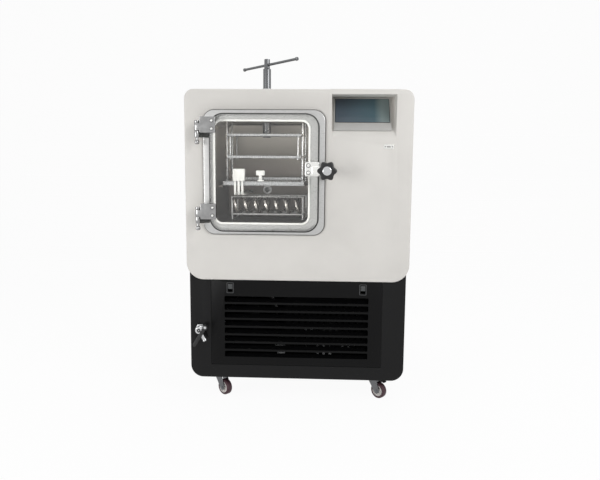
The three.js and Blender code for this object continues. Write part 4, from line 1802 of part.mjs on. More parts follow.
function casterWheel() {
  const half = WHEEL_WIDTH / 2;
  const dish = half - WHEEL_DISH;
  const rim = WHEEL_HUB_RADIUS + WHEEL_DISH_SLOPE;
  const flat = WHEEL_RADIUS - WHEEL_CHAMFER;
  const tread = half - WHEEL_CHAMFER;
  const bore = AXLE_RADIUS + RUN;
  const points = [
    [bore, -dish], [WHEEL_HUB_RADIUS, -dish], [rim, -half], [flat, -half], [WHEEL_RADIUS, -tread],
    [WHEEL_RADIUS, tread], [flat, half], [rim, half], [WHEEL_HUB_RADIUS, dish], [bore, dish], [bore, -dish],
  ];
  const geometry = new THREE.LatheGeometry(points.map(([r, y]) => new THREE.Vector2(r, y)), 16);
  geometry.translate(CASTER_TRAIL, 0, WHEEL_RADIUS);
  return solid(geometry);
}

// The brake pedal, hinged on the fork's trailing edge above the wheel.
function brakePedal() {
  const x0 = CASTER_HEAD_RADIUS + 2 * SEAT;
  const z = CASTER_HEAD_FLOOR_Z;
  const x1 = x0 + PEDAL_LENGTH;
  const tipZ = z - PEDAL_FALL;
  const outline = polygon([
    [x0, z], [x1, tipZ], [x1, tipZ + PEDAL_THICKNESS], [x0, z + PEDAL_THICKNESS],
  ]);
  return prism(outline, 'y', -PEDAL_WIDTH / 2, PEDAL_WIDTH / 2);
}

// ---------------------------------------------------------------- put together

piece('upper_housing', upperHousing(), WHITE_PAINT);
piece('rear_cover_upper', rearCoverUpper(), WHITE_PAINT);
piece('lower_cabinet', lowerCabinet(), BLACK_PAINT);
piece('rear_cover_lower', rearCoverLower(), BLACK_PAINT);
piece('base_plate', basePlate(), ZINC);

piece('front_grille', frontGrille(), PANEL_PAINT);
piece('slide_catch_left', slideCatch(-1), BLACK_PLASTIC);
piece('slide_catch_right', slideCatch(1), BLACK_PLASTIC);

piece('chamber', chamber(), STAINLESS);
piece('door_seal', doorSeal(), WHITE_SILICONE);
piece('door_plate', doorPlate(), CLEAR_ACRYLIC);
for (const [place, floorZ] of Object.entries(leafFloors())) {
  piece(`hinge_leaf_${place}`, hingeLeaf(floorZ), STAINLESS);
  piece(`hinge_bracket_${place}`, hingeBracket(floorZ), STAINLESS);
}
piece('clamp_bracket', clampBracket(), POLISHED);
piece('clamp_collar', clampCollar(), POLISHED);
piece('clamp_screw', clampScrew(), STAINLESS);
piece('star_knob', starKnob(), BLACK_PLASTIC);
piece('knob_cap', knobCap(), POLISHED);
piece('clamp_socket', clampSocket(), STAINLESS);

piece('ram_gland', ramGland(), STAINLESS);
piece('ram_spindle', ramSpindle(), STAINLESS);
piece('tee_bar', teeBar(), STAINLESS);
piece('press_plate', pressPlate(), STAINLESS);
piece('middle_shelf', middleShelf(), STAINLESS);
piece('lower_shelf', lowerShelf(), STAINLESS);

piece('condenser_coil', condenserCoil(), STAINLESS);
piece('coil_rack', coilRack(), STAINLESS);
piece('probe_block', probeBlock(), WHITE_SILICONE);
leadXs().forEach((x, i) => piece(`sensor_lead_${i + 1}`, sensorLead(x), WHITE_SILICONE));
piece('probe_clip', probeClip(), WHITE_SILICONE);
piece('vacuum_port', vacuumPort(), STAINLESS);

piece('display_bezel', displayBezel(), GREY_PLASTIC);
piece('display_screen', displayScreen(), SCREEN_GLASS);
piece('data_socket', dataSocket(), ZINC);

piece('drain_valve', drainValve(), POLISHED);
piece('drain_lever', drainLever(), BLACK_PLASTIC);
piece('drain_hose', drainHose(), WHITE_SILICONE);

piece('compressor', compressor(), BLACK_PAINT);
piece('air_condenser', airCondenser(), ZINC);
piece('fan_shroud', fanShroud(), BLACK_PAINT);
piece('fan_motor', fanMotor(), ZINC);
piece('fan_rotor', fanRotor(), BLACK_PLASTIC);
piece('suction_pipe', refrigerantLine(coilEnds()[0], SUCTION_X), COPPER);
piece('liquid_pipe', refrigerantLine(coilEnds()[1], LIQUID_X), COPPER);

piece('control_box', controlBox(), ZINC);
piece('power_inlet', powerInlet(), BLACK_PLASTIC);
piece('switch_rocker', switchRocker(), BLACK_PLASTIC);

for (const { name, x, y } of casterPlaces()) {
  const caster = new THREE.Group();
  caster.position.set(x, y, 0);
  caster.rotation.z = degrees(CASTER_YAW);
  model.add(caster);
  piece(`caster_fork_${name}`, casterFork(), ZINC, caster);
  piece(`caster_wheel_${name}`, casterWheel(), TREAD, caster);
  if (name === BRAKED_CASTER) piece('brake_pedal', brakePedal(), BLACK_PLASTIC, caster);
}

// The origin is under the middle of the whole machine.
model.position.y = -(CAP_FRONT_Y + PORT_END_Y) / 2;

export default model;
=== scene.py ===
# A floor-standing freeze dryer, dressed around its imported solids. Metres; +X right, +Y back, +Z up.

import math

import bmesh
import bpy
from mathutils import Matrix, Vector


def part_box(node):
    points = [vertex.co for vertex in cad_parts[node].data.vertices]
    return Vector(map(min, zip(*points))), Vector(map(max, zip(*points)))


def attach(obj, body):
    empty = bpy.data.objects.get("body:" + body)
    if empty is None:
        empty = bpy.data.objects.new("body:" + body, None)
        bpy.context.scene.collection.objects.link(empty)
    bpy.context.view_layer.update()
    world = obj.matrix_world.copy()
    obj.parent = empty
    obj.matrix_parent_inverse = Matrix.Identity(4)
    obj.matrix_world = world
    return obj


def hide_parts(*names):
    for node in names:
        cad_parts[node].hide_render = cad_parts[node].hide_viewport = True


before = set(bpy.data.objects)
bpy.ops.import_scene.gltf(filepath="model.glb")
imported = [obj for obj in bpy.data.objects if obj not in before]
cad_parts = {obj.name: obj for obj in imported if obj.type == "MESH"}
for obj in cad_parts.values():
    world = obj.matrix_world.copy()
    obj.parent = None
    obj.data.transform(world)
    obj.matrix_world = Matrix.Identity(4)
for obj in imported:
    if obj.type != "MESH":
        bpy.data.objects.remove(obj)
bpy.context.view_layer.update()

# ---------------------------------------------------------------- where the machine stands
# A pale sweep runs under and behind the machine. A soft lamp stands at the front left, a larger one stands
# high at the right and one hangs above. The eye is a little right of the middle and looks slightly down.

eye_place = Vector((0.087, -2.08065, 0.740))
eye_turn = math.radians(2.5)
eye_dip = math.radians(7.26)
eye_roll = math.radians(0.45)
eye_lens = 35.78

ahead = Vector((
    -math.sin(eye_turn) * math.cos(eye_dip),
    math.cos(eye_turn) * math.cos(eye_dip),
    -math.sin(eye_dip),
))
level = Vector((math.cos(eye_turn), math.sin(eye_turn), 0))
upright = level.cross(ahead)
across = level * math.cos(eye_roll) + upright * math.sin(eye_roll)
over = upright * math.cos(eye_roll) - level * math.sin(eye_roll)

eye = bpy.data.objects.new("eye", bpy.data.cameras.new("eye"))
eye.data.lens = eye_lens
eye.data.sensor_width = 36
eye.data.clip_end = 50
eye.matrix_world = Matrix.Translation(eye_place) @ Matrix((across, over, -ahead)).transposed().to_4x4()
bpy.context.scene.collection.objects.link(eye)
bpy.context.scene.camera = eye
bpy.context.scene.view_settings.view_transform = "Standard"


def seen_directly(nodes, links):
    """A socket that is 1 for what the eye, a mirror or a clear piece shows, and 0 for light on its way."""
    path = nodes.new("ShaderNodeLightPath")
    either = nodes.new("ShaderNodeMath")
    either.operation = "MAXIMUM"
    links.new(path.outputs["Is Camera Ray"], either.inputs[0])
    links.new(path.outputs["Is Glossy Ray"], either.inputs[1])
    any_of = nodes.new("ShaderNodeMath")
    any_of.operation = "MAXIMUM"
    links.new(either.outputs[0], any_of.inputs[0])
    links.new(path.outputs["Is Transmission Ray"], any_of.inputs[1])
    return any_of.outputs[0]


def shown_two_ways(nodes, links, factor, unseen, seen, output):
    """Ends a material or a world in one shader for light on its way and another for what is seen directly."""
    blended = nodes.new("ShaderNodeMixShader")
    links.new(factor, blended.inputs[0])
    links.new(unseen.outputs[0], blended.inputs[1])
    links.new(seen.outputs[0], blended.inputs[2])
    links.new(blended.outputs[0], nodes.new(output).inputs["Surface"])


sweep_half_width = 6.0
sweep_front = -6.0
sweep_back = 3.2
sweep_bend = 1.6
sweep_top = 5.0
sweep_cuts = 12
paper_white = (0.9, 0.9, 0.9, 1)
paper_glow = 0.95
air_tint = (0.98, 0.99, 1, 1)
air_strength = 0.32

profile = [(sweep_front, 0.0)]
for step in range(sweep_cuts + 1):
    angle = step / sweep_cuts * math.pi / 2
    y = sweep_back - sweep_bend + sweep_bend * math.sin(angle)
    profile.append((y, sweep_bend * (1 - math.cos(angle))))
profile.append((sweep_back, sweep_top))
sweep_mesh = bpy.data.meshes.new("sweep")
sweep_mesh.from_pydata(
    [(side * sweep_half_width, y, z) for y, z in profile for side in (-1, 1)],
    [],
    [(2 * i, 2 * i + 1, 2 * i + 3, 2 * i + 2) for i in range(len(profile) - 1)],
)
sweep = bpy.data.objects.new("sweep", sweep_mesh)
bpy.context.scene.collection.objects.link(sweep)

sweep_paper = bpy.data.materials.new("sweep_paper")
sweep_paper.use_nodes = True
nodes, links = sweep_paper.node_tree.nodes, sweep_paper.node_tree.links
nodes.clear()
paper = nodes.new("ShaderNodeBsdfDiffuse")
paper.inputs["Color"].default_value = paper_white
glow = nodes.new("ShaderNodeEmission")
share = nodes.new("ShaderNodeMath")
share.operation = "MULTIPLY"
share.inputs[1].default_value = paper_glow
links.new(seen_directly(nodes, links), share.inputs[0])
shown_two_ways(nodes, links, share.outputs[0], paper, glow, "ShaderNodeOutputMaterial")
sweep_mesh.materials.append(sweep_paper)

room = bpy.data.worlds.new("room")
room.use_nodes = True
bpy.context.scene.world = room
nodes, links = room.node_tree.nodes, room.node_tree.links
nodes.clear()
air = nodes.new("ShaderNodeBackground")
air.inputs["Strength"].default_value = air_strength
air.inputs["Color"].default_value = air_tint
white = nodes.new("ShaderNodeBackground")
white.inputs["Color"].default_value = (1, 1, 1, 1)
shown_two_ways(nodes, links, seen_directly(nodes, links), air, white, "ShaderNodeOutputWorld")


def soft_lamp(name, place, target, size, power):
    lamp = bpy.data.objects.new(name, bpy.data.lights.new(name, "AREA"))
    lamp.data.shape = "SQUARE"
    lamp.data.size = size
    lamp.data.energy = power
    lamp.location = place
    lamp.visible_camera = False
    lamp.rotation_euler = (Vector(target) - Vector(place)).to_track_quat("-Z", "Y").to_euler()
    bpy.context.scene.collection.objects.link(lamp)


soft_lamp("left_lamp", (-1.75, -1.8, 0.75), (0, -0.2, 0.6), 0.9, 16)
soft_lamp("right_lamp", (2.0, -2.0, 1.9), (0, 0, 0.6), 1.4, 36)
soft_lamp("top_lamp", (0.2, 0.3, 3.0), (0, 0, 0), 2.0, 24)

# ---------------------------------------------------------------- upper housing
# One folded shell of 3 mm sheet steel in white powder coat, open at the back. Its front edge is rolled, the
# lower corners are wide and the upper ones tighter. The display's pocket is welded in under the top edge.


def rounded_outline(x0, x1, z0, z1, low, high=None, steps=10):
    """A rectangle as a list of points, with its own radius on its lower and its upper corners."""
    high = low if high is None else high
    corners = ((x1 - low, z0 + low, low, -90), (x1 - high, z1 - high, high, 0))
    corners += ((x0 + high, z1 - high, high, 90), (x0 + low, z0 + low, low, 180))
    points = []
    for x, z, radius, start in corners:
        for step in range(steps + 1):
            angle = math.radians(start + 90 * step / steps)
            points.append((x + radius * math.cos(angle), z + radius * math.sin(angle)))
    return points


def shrunk(outline, inset):
    """The same outline with every side moved inwards, or outwards where the inset is negative."""
    if not inset:
        return list(outline)
    count = len(outline)
    moved = []
    for i, (x, z) in enumerate(outline):
        before = Vector(outline[i]) - Vector(outline[i - 1])
        after = Vector(outline[(i + 1) % count]) - Vector(outline[i])
        first = Vector((-before.y, before.x)).normalized()
        second = Vector((-after.y, after.x)).normalized()
        middle = first + second
        reach = inset / max(0.35, middle.dot(first))
        moved.append((x + middle.x * reach, z + middle.y * reach))
    return moved


def placed(axis, u, v, w):
    """A point of an outline that is pushed along an axis, with w the way along it."""
    return {"x": Vector((w, u, v)), "y": Vector((u, w, v)), "z": Vector((u, v, w))}[axis]


def slab(outline, axis, start, end, first=0.0, last=0.0, cuts=3):
    """A plate of the outline's shape between two places on an axis, with its two rims rounded over."""
    rings = []
    for step in range(cuts + 1 if first else 1):
        angle = step / cuts * math.pi / 2
        rings.append((first * (1 - math.sin(angle)), start + first * (1 - math.cos(angle))))
    for step in range(cuts + 1 if last else 1):
        angle = (1 - step / cuts) * math.pi / 2 if last else math.pi / 2
        rings.append((last * (1 - math.sin(angle)), end - last * (1 - math.cos(angle))))
    body = bmesh.new()
    loops = []
    for inset, w in rings:
        loops.append([body.verts.new(placed(axis, u, v, w)) for u, v in shrunk(outline, inset)])
    stitch(body, loops)
    body.faces.new(loops[0])
    body.faces.new(loops[-1])
    return turned_out(body)


def stitch(body, loops):
    """Closes a row of rings, each with as many corners as the last, with four-sided faces."""
    for ring, following in zip(loops, loops[1:]):
        count = len(ring)
        for i in range(count):
            j = (i + 1) % count
            body.faces.new((ring[i], ring[j], following[j], following[i]))


def turned_out(body):
    bmesh.ops.recalc_face_normals(body, faces=body.faces)
    return body


def box(x0, x1, y0, y1, z0, z1, edge=0.0):
    return slab([(x0, z0), (x1, z0), (x1, z1), (x0, z1)], "y", y0, y1, edge, edge)


def round_bar(axis, a, b, radius, start, end, edge=0.0, sides=32):
    """A round bar along an axis, at (a, b) on the two other axes."""
    ring = [(a + radius * math.cos(2 * math.pi * i / sides), b + radius * math.sin(2 * math.pi * i / sides))
            for i in range(sides)]
    return slab(ring, axis, start, end, edge, edge)


def as_object(body, name="blank"):
    mesh = bpy.data.meshes.new(name)
    body.to_mesh(mesh)
    body.free()
    thing = bpy.data.objects.new(name, mesh)
    bpy.context.scene.collection.objects.link(thing)
    return thing


def worked(body, operation, tools):
    """The body with each tool cut from it, joined to it or kept in common with it."""
    blank = as_object(body)
    parts = [as_object(tool) for tool in tools]
    for part in parts:
        step = blank.modifiers.new("work", "BOOLEAN")
        step.operation = operation
        step.solver = "MANIFOLD"
        step.object = part
    finished = blank.evaluated_get(bpy.context.evaluated_depsgraph_get())
    result = bmesh.new()
    result.from_mesh(finished.to_mesh())
    for thing in [blank, *parts]:
        mesh = thing.data
        bpy.data.objects.remove(thing)
        bpy.data.meshes.remove(mesh)
    return result


def cut(body, *tools):
    return worked(body, "DIFFERENCE", tools)


def joined(body, *parts):
    return worked(body, "UNION", parts)


def broken_edges(body, width, sharper_than=35, chosen=None, cuts=2):
    """Rounds over every edge that is sharper than an angle, where the chosen test allows it."""
    limit = math.radians(sharper_than)
    edges = []
    for edge in body.edges:
        if len(edge.link_faces) == 2 and edge.calc_face_angle(0) > limit:
            if chosen is None or chosen((edge.verts[0].co + edge.verts[1].co) / 2):
                edges.append(edge)
    bmesh.ops.bevel(body, geom=edges, offset=width, segments=cuts, profile=0.5, affect="EDGES",
                    clamp_overlap=False)
    return body


weld_reach = 1e-6
crease = math.radians(32)


def fitted(name, body, material, rides_on, slot, *stands_for):
    """Makes the piece from its mesh, gives it its finish and fixes it to the body that carries it."""
    bmesh.ops.remove_doubles(body, verts=body.verts, dist=weld_reach)
    for face in body.faces:
        face.smooth = True
    piece = as_object(body, name)
    piece.data.set_sharp_from_angle(angle=crease)
    piece.data.materials.append(material)
    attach(piece, rides_on)
    if stands_for:
        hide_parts(*stands_for)
    return piece


def shade(red, green, blue):
    """A colour as it shows on a screen, 0 to 255, as the linear colour that a material holds."""
    return tuple(((level / 255 + 0.055) / 1.055) ** 2.4 for level in (red, green, blue)) + (1.0,)


noise_low = 0.3
noise_high = 0.7


def finish(name, colour, rough, metallic=0.0, vary=0.03, cloud=9.0, grain=900.0, relief=0.0,
           stretch=(1, 1, 1), **sockets):
    """A surface whose tone and gloss drift slightly over it, with a fine grain that stands up from it."""
    material = bpy.data.materials.new(name)
    material.use_nodes = True
    nodes, links = material.node_tree.nodes, material.node_tree.links
    surface = nodes["Principled BSDF"]
    surface.inputs["Metallic"].default_value = metallic
    for socket, value in sockets.items():
        surface.inputs[socket.replace("_", " ").title().replace("Ior", "IOR")].default_value = value
    place = nodes.new("ShaderNodeTexCoord")
    turn = nodes.new("ShaderNodeMapping")
    turn.inputs["Scale"].default_value = stretch
    links.new(place.outputs["Object"], turn.inputs["Vector"])
    drift = nodes.new("ShaderNodeTexNoise")
    drift.inputs["Scale"].default_value = cloud
    drift.inputs["Detail"].default_value = 5
    links.new(place.outputs["Object"], drift.inputs["Vector"])
    tone = nodes.new("ShaderNodeValToRGB")
    tone.color_ramp.elements[0].position = noise_low
    tone.color_ramp.elements[1].position = noise_high
    tone.color_ramp.elements[0].color = tuple(c * (1 - vary) for c in colour[:3]) + (1,)
    tone.color_ramp.elements[1].color = tuple(min(1, c * (1 + vary)) for c in colour[:3]) + (1,)
    links.new(drift.outputs["Fac"], tone.inputs["Fac"])
    links.new(tone.outputs["Color"], surface.inputs["Base Color"])
    speck = nodes.new("ShaderNodeTexNoise")
    speck.inputs["Scale"].default_value = grain
    speck.inputs["Detail"].default_value = 3
    links.new(turn.outputs["Vector"], speck.inputs["Vector"])
    gloss = nodes.new("ShaderNodeMapRange")
    gloss.inputs["From Min"].default_value = noise_low
    gloss.inputs["From Max"].default_value = noise_high
    gloss.inputs["To Min"].default_value = rough[0]
    gloss.inputs["To Max"].default_value = rough[1]
    links.new((speck if stretch != (1, 1, 1) else drift).outputs["Fac"], gloss.inputs["Value"])
    links.new(gloss.outputs["Result"], surface.inputs["Roughness"])
    if relief:
        skin = nodes.new("ShaderNodeBump")
        skin.inputs["Strength"].default_value = 1.0
        skin.inputs["Distance"].default_value = relief
        links.new(speck.outputs["Fac"], skin.inputs["Height"])
        links.new(skin.outputs["Normal"], surface.inputs["Normal"])
    return material


white_coat = finish("white_powder_coat", shade(224, 221, 216), (0.38, 0.46), grain=700, relief=0.00003)

sheet = 0.003
front_roll = 0.004
inner_roll = 0.003
rear_rim = 0.0006
fold_edge = 0.0009
lower_corner = 0.053
upper_corner = 0.028
pocket_roof = 0.015
bezel_left_gap = 0.006
bezel_right_gap = 0.0125
pocket_lip = Vector((0.009, 0.0185))
pocket_sill = 0.8195
pocket_tilt = math.radians(35)
opening_slack = 0.0009
flange_corner = 0.034
flange_floor = 0.5255
gland_hole = 0.023
socket_hole = Vector((0.00825, 0.0045))
through = 0.001


def middle_of(node):
    """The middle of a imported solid's box, as x, y and z."""
    low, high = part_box(node)
    return [(a + b) / 2 for a, b in zip(low, high)]


housing_low, housing_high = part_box("upper_housing")
face_y = housing_low.y
back_y = housing_high.y
bezel_low, bezel_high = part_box("display_bezel")
pocket_left = bezel_low.x - bezel_left_gap
pocket_right = bezel_high.x + bezel_right_gap
lip_z = pocket_sill + pocket_lip.y

housing_outline = rounded_outline(housing_low.x, housing_high.x, housing_low.z, housing_high.z,
                                  lower_corner, upper_corner, steps=14)


def pocket_shape(grow, top_z):
    """The display pocket's side view, in (y, z): a short lip, then the sloped back up to the given height."""
    lip_y = face_y + pocket_lip.x + grow
    top_y = lip_y + (top_z - lip_z) * math.tan(pocket_tilt)
    front = face_y - through - grow
    return [(front, pocket_sill - grow), (face_y, pocket_sill - grow), (lip_y, lip_z - grow / 2),
            (top_y, top_z), (front, top_z)]


shell_low, shell_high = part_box("chamber")
flange_outline = rounded_outline(shell_low.x, shell_high.x, flange_floor, shell_high.z, flange_corner,
                                 steps=14)
ram_x, ram_y, _ = middle_of("ram_gland")
socket_x, _, socket_z = middle_of("data_socket")

body = slab(housing_outline, "y", face_y, back_y, front_roll, rear_rim)
body = cut(body, slab(shrunk(housing_outline, sheet), "y", face_y + sheet, back_y + through, inner_roll))
pocket_block = slab(pocket_shape(sheet, housing_high.z + through), "x", pocket_left - sheet,
                    pocket_right + sheet)
pocket_walls = worked(pocket_block, "INTERSECT", [slab(housing_outline, "y", face_y, back_y)])
body = joined(body, pocket_walls)
body = cut(
    body,
    slab(pocket_shape(0, housing_high.z - pocket_roof), "x", pocket_left, pocket_right),
    slab(shrunk(flange_outline, -opening_slack), "y", face_y - through, face_y + sheet + through),
    round_bar("z", ram_x, ram_y, gland_hole, housing_high.z - sheet - through, housing_high.z + through,
              sides=48),
    box(socket_x - socket_hole.x, socket_x + socket_hole.x, face_y - through, face_y + sheet + through,
        socket_z - socket_hole.y, socket_z + socket_hole.y),
)
broken_edges(body, fold_edge)
fitted("housing_shell", body, white_coat, "machine", "white_paint", "upper_housing")

# ---------------------------------------------------------------- lower cabinet
# The black base: a folded 3 mm steel shell in satin powder coat. Its top edge is cut to follow the housing's
# round lower corners, and a narrow stepped rebate behind the front opening carries the louvred panel.

black_coat = finish("black_powder_coat", shade(11, 11, 12), (0.3, 0.36), grain=700, relief=0.00004,
                    specular_ior_level=0.22)

front_edge = 0.0018
cabinet_corner = 0.039
seat_gap = 0.0003
panel_gap = 0.002
rebate_width = 0.012
rebate_thickness = 0.0023

cabinet_low, cabinet_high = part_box("lower_cabinet")
panel_low, panel_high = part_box("front_grille")
cabinet_front = cabinet_low.y
cabinet_inner = cabinet_front + sheet


def arc(u, v, radius, start, end, steps=12):
    """Points on a round stretch, from one angle to another in degrees."""
    angles = [math.radians(start + (end - start) * i / steps) for i in range(steps + 1)]
    return [(u + radius * math.cos(angle), v + radius * math.sin(angle)) for angle in angles]


def cabinet_outline():
    """The shell's front outline; its top follows the housing's lower corners at an even gap."""
    half = cabinet_high.x
    low = cabinet_low.z
    bend = cabinet_corner
    follow = lower_corner + seat_gap
    corner_x = housing_high.x - lower_corner
    corner_z = housing_low.z + lower_corner
    reach = math.degrees(math.acos((half - corner_x) / follow))
    points = arc(half - bend, low + bend, bend, -90, 0)
    points += arc(corner_x, corner_z, follow, -reach, -90)
    points += arc(-corner_x, corner_z, follow, -90, reach - 180)
    points += arc(-half + bend, low + bend, bend, 180, 270)
    return points


def cabinet_hollow(inset, top):
    half = cabinet_high.x - inset
    low = cabinet_low.z + inset
    bend = cabinet_corner - inset
    right = arc(half - bend, low + bend, bend, -90, 0)
    left = arc(-half + bend, low + bend, bend, 180, 270)
    return right + [(half, top), (-half, top)] + left


opening_left = panel_low.x - panel_gap
opening_right = panel_high.x + panel_gap
opening_low = panel_low.z - panel_gap
rebate_back = cabinet_inner + rebate_thickness
rebate_lap = rebate_width / 2
valve_tail = 0.007
valve_x = -0.302
valve_z = 0.226

body = cut(
    slab(cabinet_outline(), "y", cabinet_front, cabinet_high.y),
    slab(cabinet_hollow(sheet, cabinet_high.z + lower_corner), "y", cabinet_inner, cabinet_high.y + through),
    box(opening_left, opening_right, cabinet_front - through, cabinet_inner + through, opening_low,
        housing_low.z + through),
    round_bar("y", valve_x, valve_z, valve_tail + seat_gap, cabinet_front - through, cabinet_inner + through),
)
rebates = []
for left, right, top in (
    (opening_left - rebate_lap, opening_left + rebate_width, panel_high.z),
    (opening_right - rebate_width, opening_right + rebate_lap, panel_high.z),
    (opening_left - rebate_lap, opening_right + rebate_lap, opening_low + rebate_width),
):
    rebates.append(box(left, right, cabinet_inner, rebate_back, opening_low - rebate_lap, top))
body = joined(body, *rebates)
broken_edges(body, front_edge, chosen=lambda place: place.y < cabinet_front + sheet / 2, cuts=3)
fitted("cabinet_shell", body, black_coat, "machine", "black_paint", "lower_cabinet")

# ---------------------------------------------------------------- louvred front panel
# A lift-out panel pressed from one sheet of black-coated steel. Each of its eight wide louvres has a rolled
# lip at its foot and a blade that curls back and up. Two moulded frames near the top hold the slide catches.

panel_coat = finish("panel_powder_coat", shade(6, 6, 7), (0.3, 0.36), grain=800, relief=0.00003,
                    specular_ior_level=0.14)

# Painted highlight: the front faces of the two raised catch frames get this lighter grey, for the light their
# edges catch.
frame_painted_highlight = finish("catch_frame_painted_highlight", shade(58, 59, 60), (0.35, 0.45), grain=1200, relief=0.00002)

frame_rise = 0.0012
panel_sheet = 0.0025
louvre_count = 8
louvre_pitch = 0.0251
louvre_height = 0.019
louvre_width = 0.447
louvre_corner = 0.004
first_louvre = 0.1357
blade_sheet = 0.0014
blade_reach = 0.0138
blade_rise = 0.009
blade_curl = 1.6
blade_cuts = 8
lip_roll = 0.0011
lip_lap = 0.4
slot_edge = 0.0005
catch_spacing = 0.411
catch_middle = 0.357
catch_frame = Vector((0.022, 0.034))
catch_pad = Vector((0.014, 0.014))
catch_slide = 0.009
catch_frame_corner = 0.003
catch_frame_edge = 0.0007
catch_rim = 0.0022
catch_recess = 0.0006
framed_depth = 0.0005

panel_face = panel_low.y + frame_rise
panel_back = panel_face + panel_sheet
panel_middle = (panel_low.x + panel_high.x) / 2
louvre_left = panel_middle - louvre_width / 2
louvre_right = panel_middle + louvre_width / 2
catch_top = catch_middle + (catch_pad.y + catch_slide) / 2


def blade_section(foot):
    """One louvre's blade in (y, z): a rolled lip at the slot's foot, then a sheet that curls back and up."""
    roll = arc(panel_face + lip_roll * lip_lap, foot - lip_roll * lip_lap, lip_roll, 100, 280, blade_cuts)
    lower = []
    upper = []
    for step in range(blade_cuts + 1):
        part = step / blade_cuts
        y = panel_back + part * blade_reach
        z = foot + blade_rise * part ** blade_curl
        slope = math.atan2(blade_rise * blade_curl * part ** (blade_curl - 1), blade_reach)
        lower.append((y + blade_sheet / 2 * math.sin(slope), z - blade_sheet * math.cos(slope)))
        upper.append((y - blade_sheet / 2 * math.sin(slope), z))
    return roll + lower + list(reversed(upper))


def gathered(body, *parts):
    """Several closed bodies kept side by side in one mesh, for pieces that only touch."""
    for part in parts:
        mesh = bpy.data.meshes.new("part")
        part.to_mesh(mesh)
        part.free()
        body.from_mesh(mesh)
        bpy.data.meshes.remove(mesh)
    return body


body = box(panel_low.x, panel_high.x, panel_face, panel_back, panel_low.z, panel_high.z)
windows = []
recesses = []
for side in (-1, 1):
    x = panel_middle + side * catch_spacing / 2
    frame_outline = rounded_outline(
        x - catch_frame.x / 2, x + catch_frame.x / 2, catch_middle - catch_frame.y / 2,
        catch_middle + catch_frame.y / 2, catch_frame_corner, steps=6)
    body = joined(body, slab(frame_outline, "y", panel_low.y, panel_back, catch_frame_edge))
    recess = slab(shrunk(frame_outline, catch_rim), "y", panel_low.y - through, panel_low.y + catch_recess)
    recesses.append(recess)
    half_window = catch_pad.x / 2 + seat_gap
    windows.append(box(x - half_window, x + half_window, panel_low.y - through, panel_back + through,
                       catch_top - catch_pad.y - catch_slide - seat_gap, catch_top + seat_gap))
slots = []
blades = []
for i in range(louvre_count):
    foot = first_louvre + i * louvre_pitch
    slot = rounded_outline(louvre_left, louvre_right, foot, foot + louvre_height, louvre_corner, steps=5)
    slots.append(slab(slot, "y", panel_face - through, panel_back + through))
    blades.append(slab(blade_section(foot), "x", louvre_left, louvre_right))
body = cut(body, *slots, *windows, *recesses)
broken_edges(body, slot_edge, chosen=lambda place: place.y < panel_face + 2 * slot_edge)
gathered(body, *blades)
panel = fitted("louvred_panel", body, panel_coat, "machine", "panel_paint", "front_grille")
# The raised catch frames' front faces take the lighter grey, a painted highlight.
panel.data.materials.append(frame_painted_highlight)
for face in panel.data.polygons:
    framed = face.center.y < panel_low.y + framed_depth and face.center.z > catch_middle - catch_frame.y
    face.material_index = 1 if framed else 0

# ---------------------------------------------------------------- slide catches
# Two catches moulded in black plastic. Each has a ridged thumb pad in the panel's window, and a tongue behind
# the panel that reaches up through the housing's floor.

catch_moulding = finish("catch_moulding", shade(76, 78, 79), (0.32, 0.42), grain=1200, relief=0.00002)

pad_sink = 0.0002
pad_edge = 0.0005
ridge_places = (0.28, 0.5, 0.72)
ridge_half = 0.0008
ridge_margin = 0.001
ridge_sink = 0.0001
ridge_foot = 0.0012
ridge_edge = 0.0004

for side, name in ((-1, "catch_left"), (1, "catch_right")):
    catch_low, catch_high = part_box("slide_" + name)
    x = panel_middle + side * catch_spacing / 2
    tongue_face = panel_back + seat_gap
    pad_left, pad_right = x - catch_pad.x / 2, x + catch_pad.x / 2
    body = box(pad_left, pad_right, panel_face + pad_sink, tongue_face, catch_top - catch_pad.y, catch_top,
               pad_edge)
    ridges = []
    for part in ridge_places:
        ridge_z = catch_top - catch_pad.y * part
        ridges.append(box(pad_left + ridge_margin, pad_right - ridge_margin, catch_low.y + ridge_sink,
                          panel_face + ridge_foot, ridge_z - ridge_half, ridge_z + ridge_half, ridge_edge))
    tongue = box(catch_low.x, catch_high.x, tongue_face, catch_high.y, catch_low.z, catch_high.z, ridge_edge)
    gathered(body, *ridges, tongue)
    fitted(name + "_slide", body, catch_moulding, name, "black_plastic", "slide_" + name)

# ---------------------------------------------------------------- chamber
# A welded stainless vessel: a bright, wide flange in front of the housing, a square liner with round inner
# corners, a rear wall with its feedthroughs, two shelf ledges and four legs. The liner's colour carries
# painted
# shade: darker towards its foot and lighter at its top. The flange's rounded outer edge is painted dark, a
# painted reflection of the darker room that the round would mirror.

satin_steel = finish("satin_stainless", shade(192, 192, 191), (0.24, 0.4), metallic=1.0, vary=0.05, cloud=6,
                     grain=60, stretch=(1, 1, 26))

liner_steel = finish("liner_stainless", shade(250, 247, 242), (0.34, 0.5), metallic=1.0, vary=0.06, cloud=5,
                     grain=60, stretch=(1, 1, 26))

# Painted reflection: a darker steel for the flange's rounded outer edge, standing in for the dark that the
# round would mirror.
painted_dark_edge_steel = finish("flange_edge_stainless_painted_dark", shade(128, 128, 127), (0.3, 0.45), metallic=1.0, vary=0.1,
                    cloud=20, grain=300)

liner_left, liner_right = -0.245, 0.031
liner_low, liner_high = 0.5645, 0.8625
liner_depth = 0.280
liner_sheet = 0.004
liner_corner = 0.020
liner_back_round = 0.006
flange_thickness = 0.012
flange_edge = 0.003
flange_back_edge = 0.001
mouth_edge = 0.0026
mouth_reach = 0.0004
ledge_width = 0.012
ledge_thickness = 0.006
ledge_setback = 0.062
leg_size = 0.020
ram_hole = 0.0129
port_hole = 0.0103
lead_z = 0.647
lead_gap = 0.0003


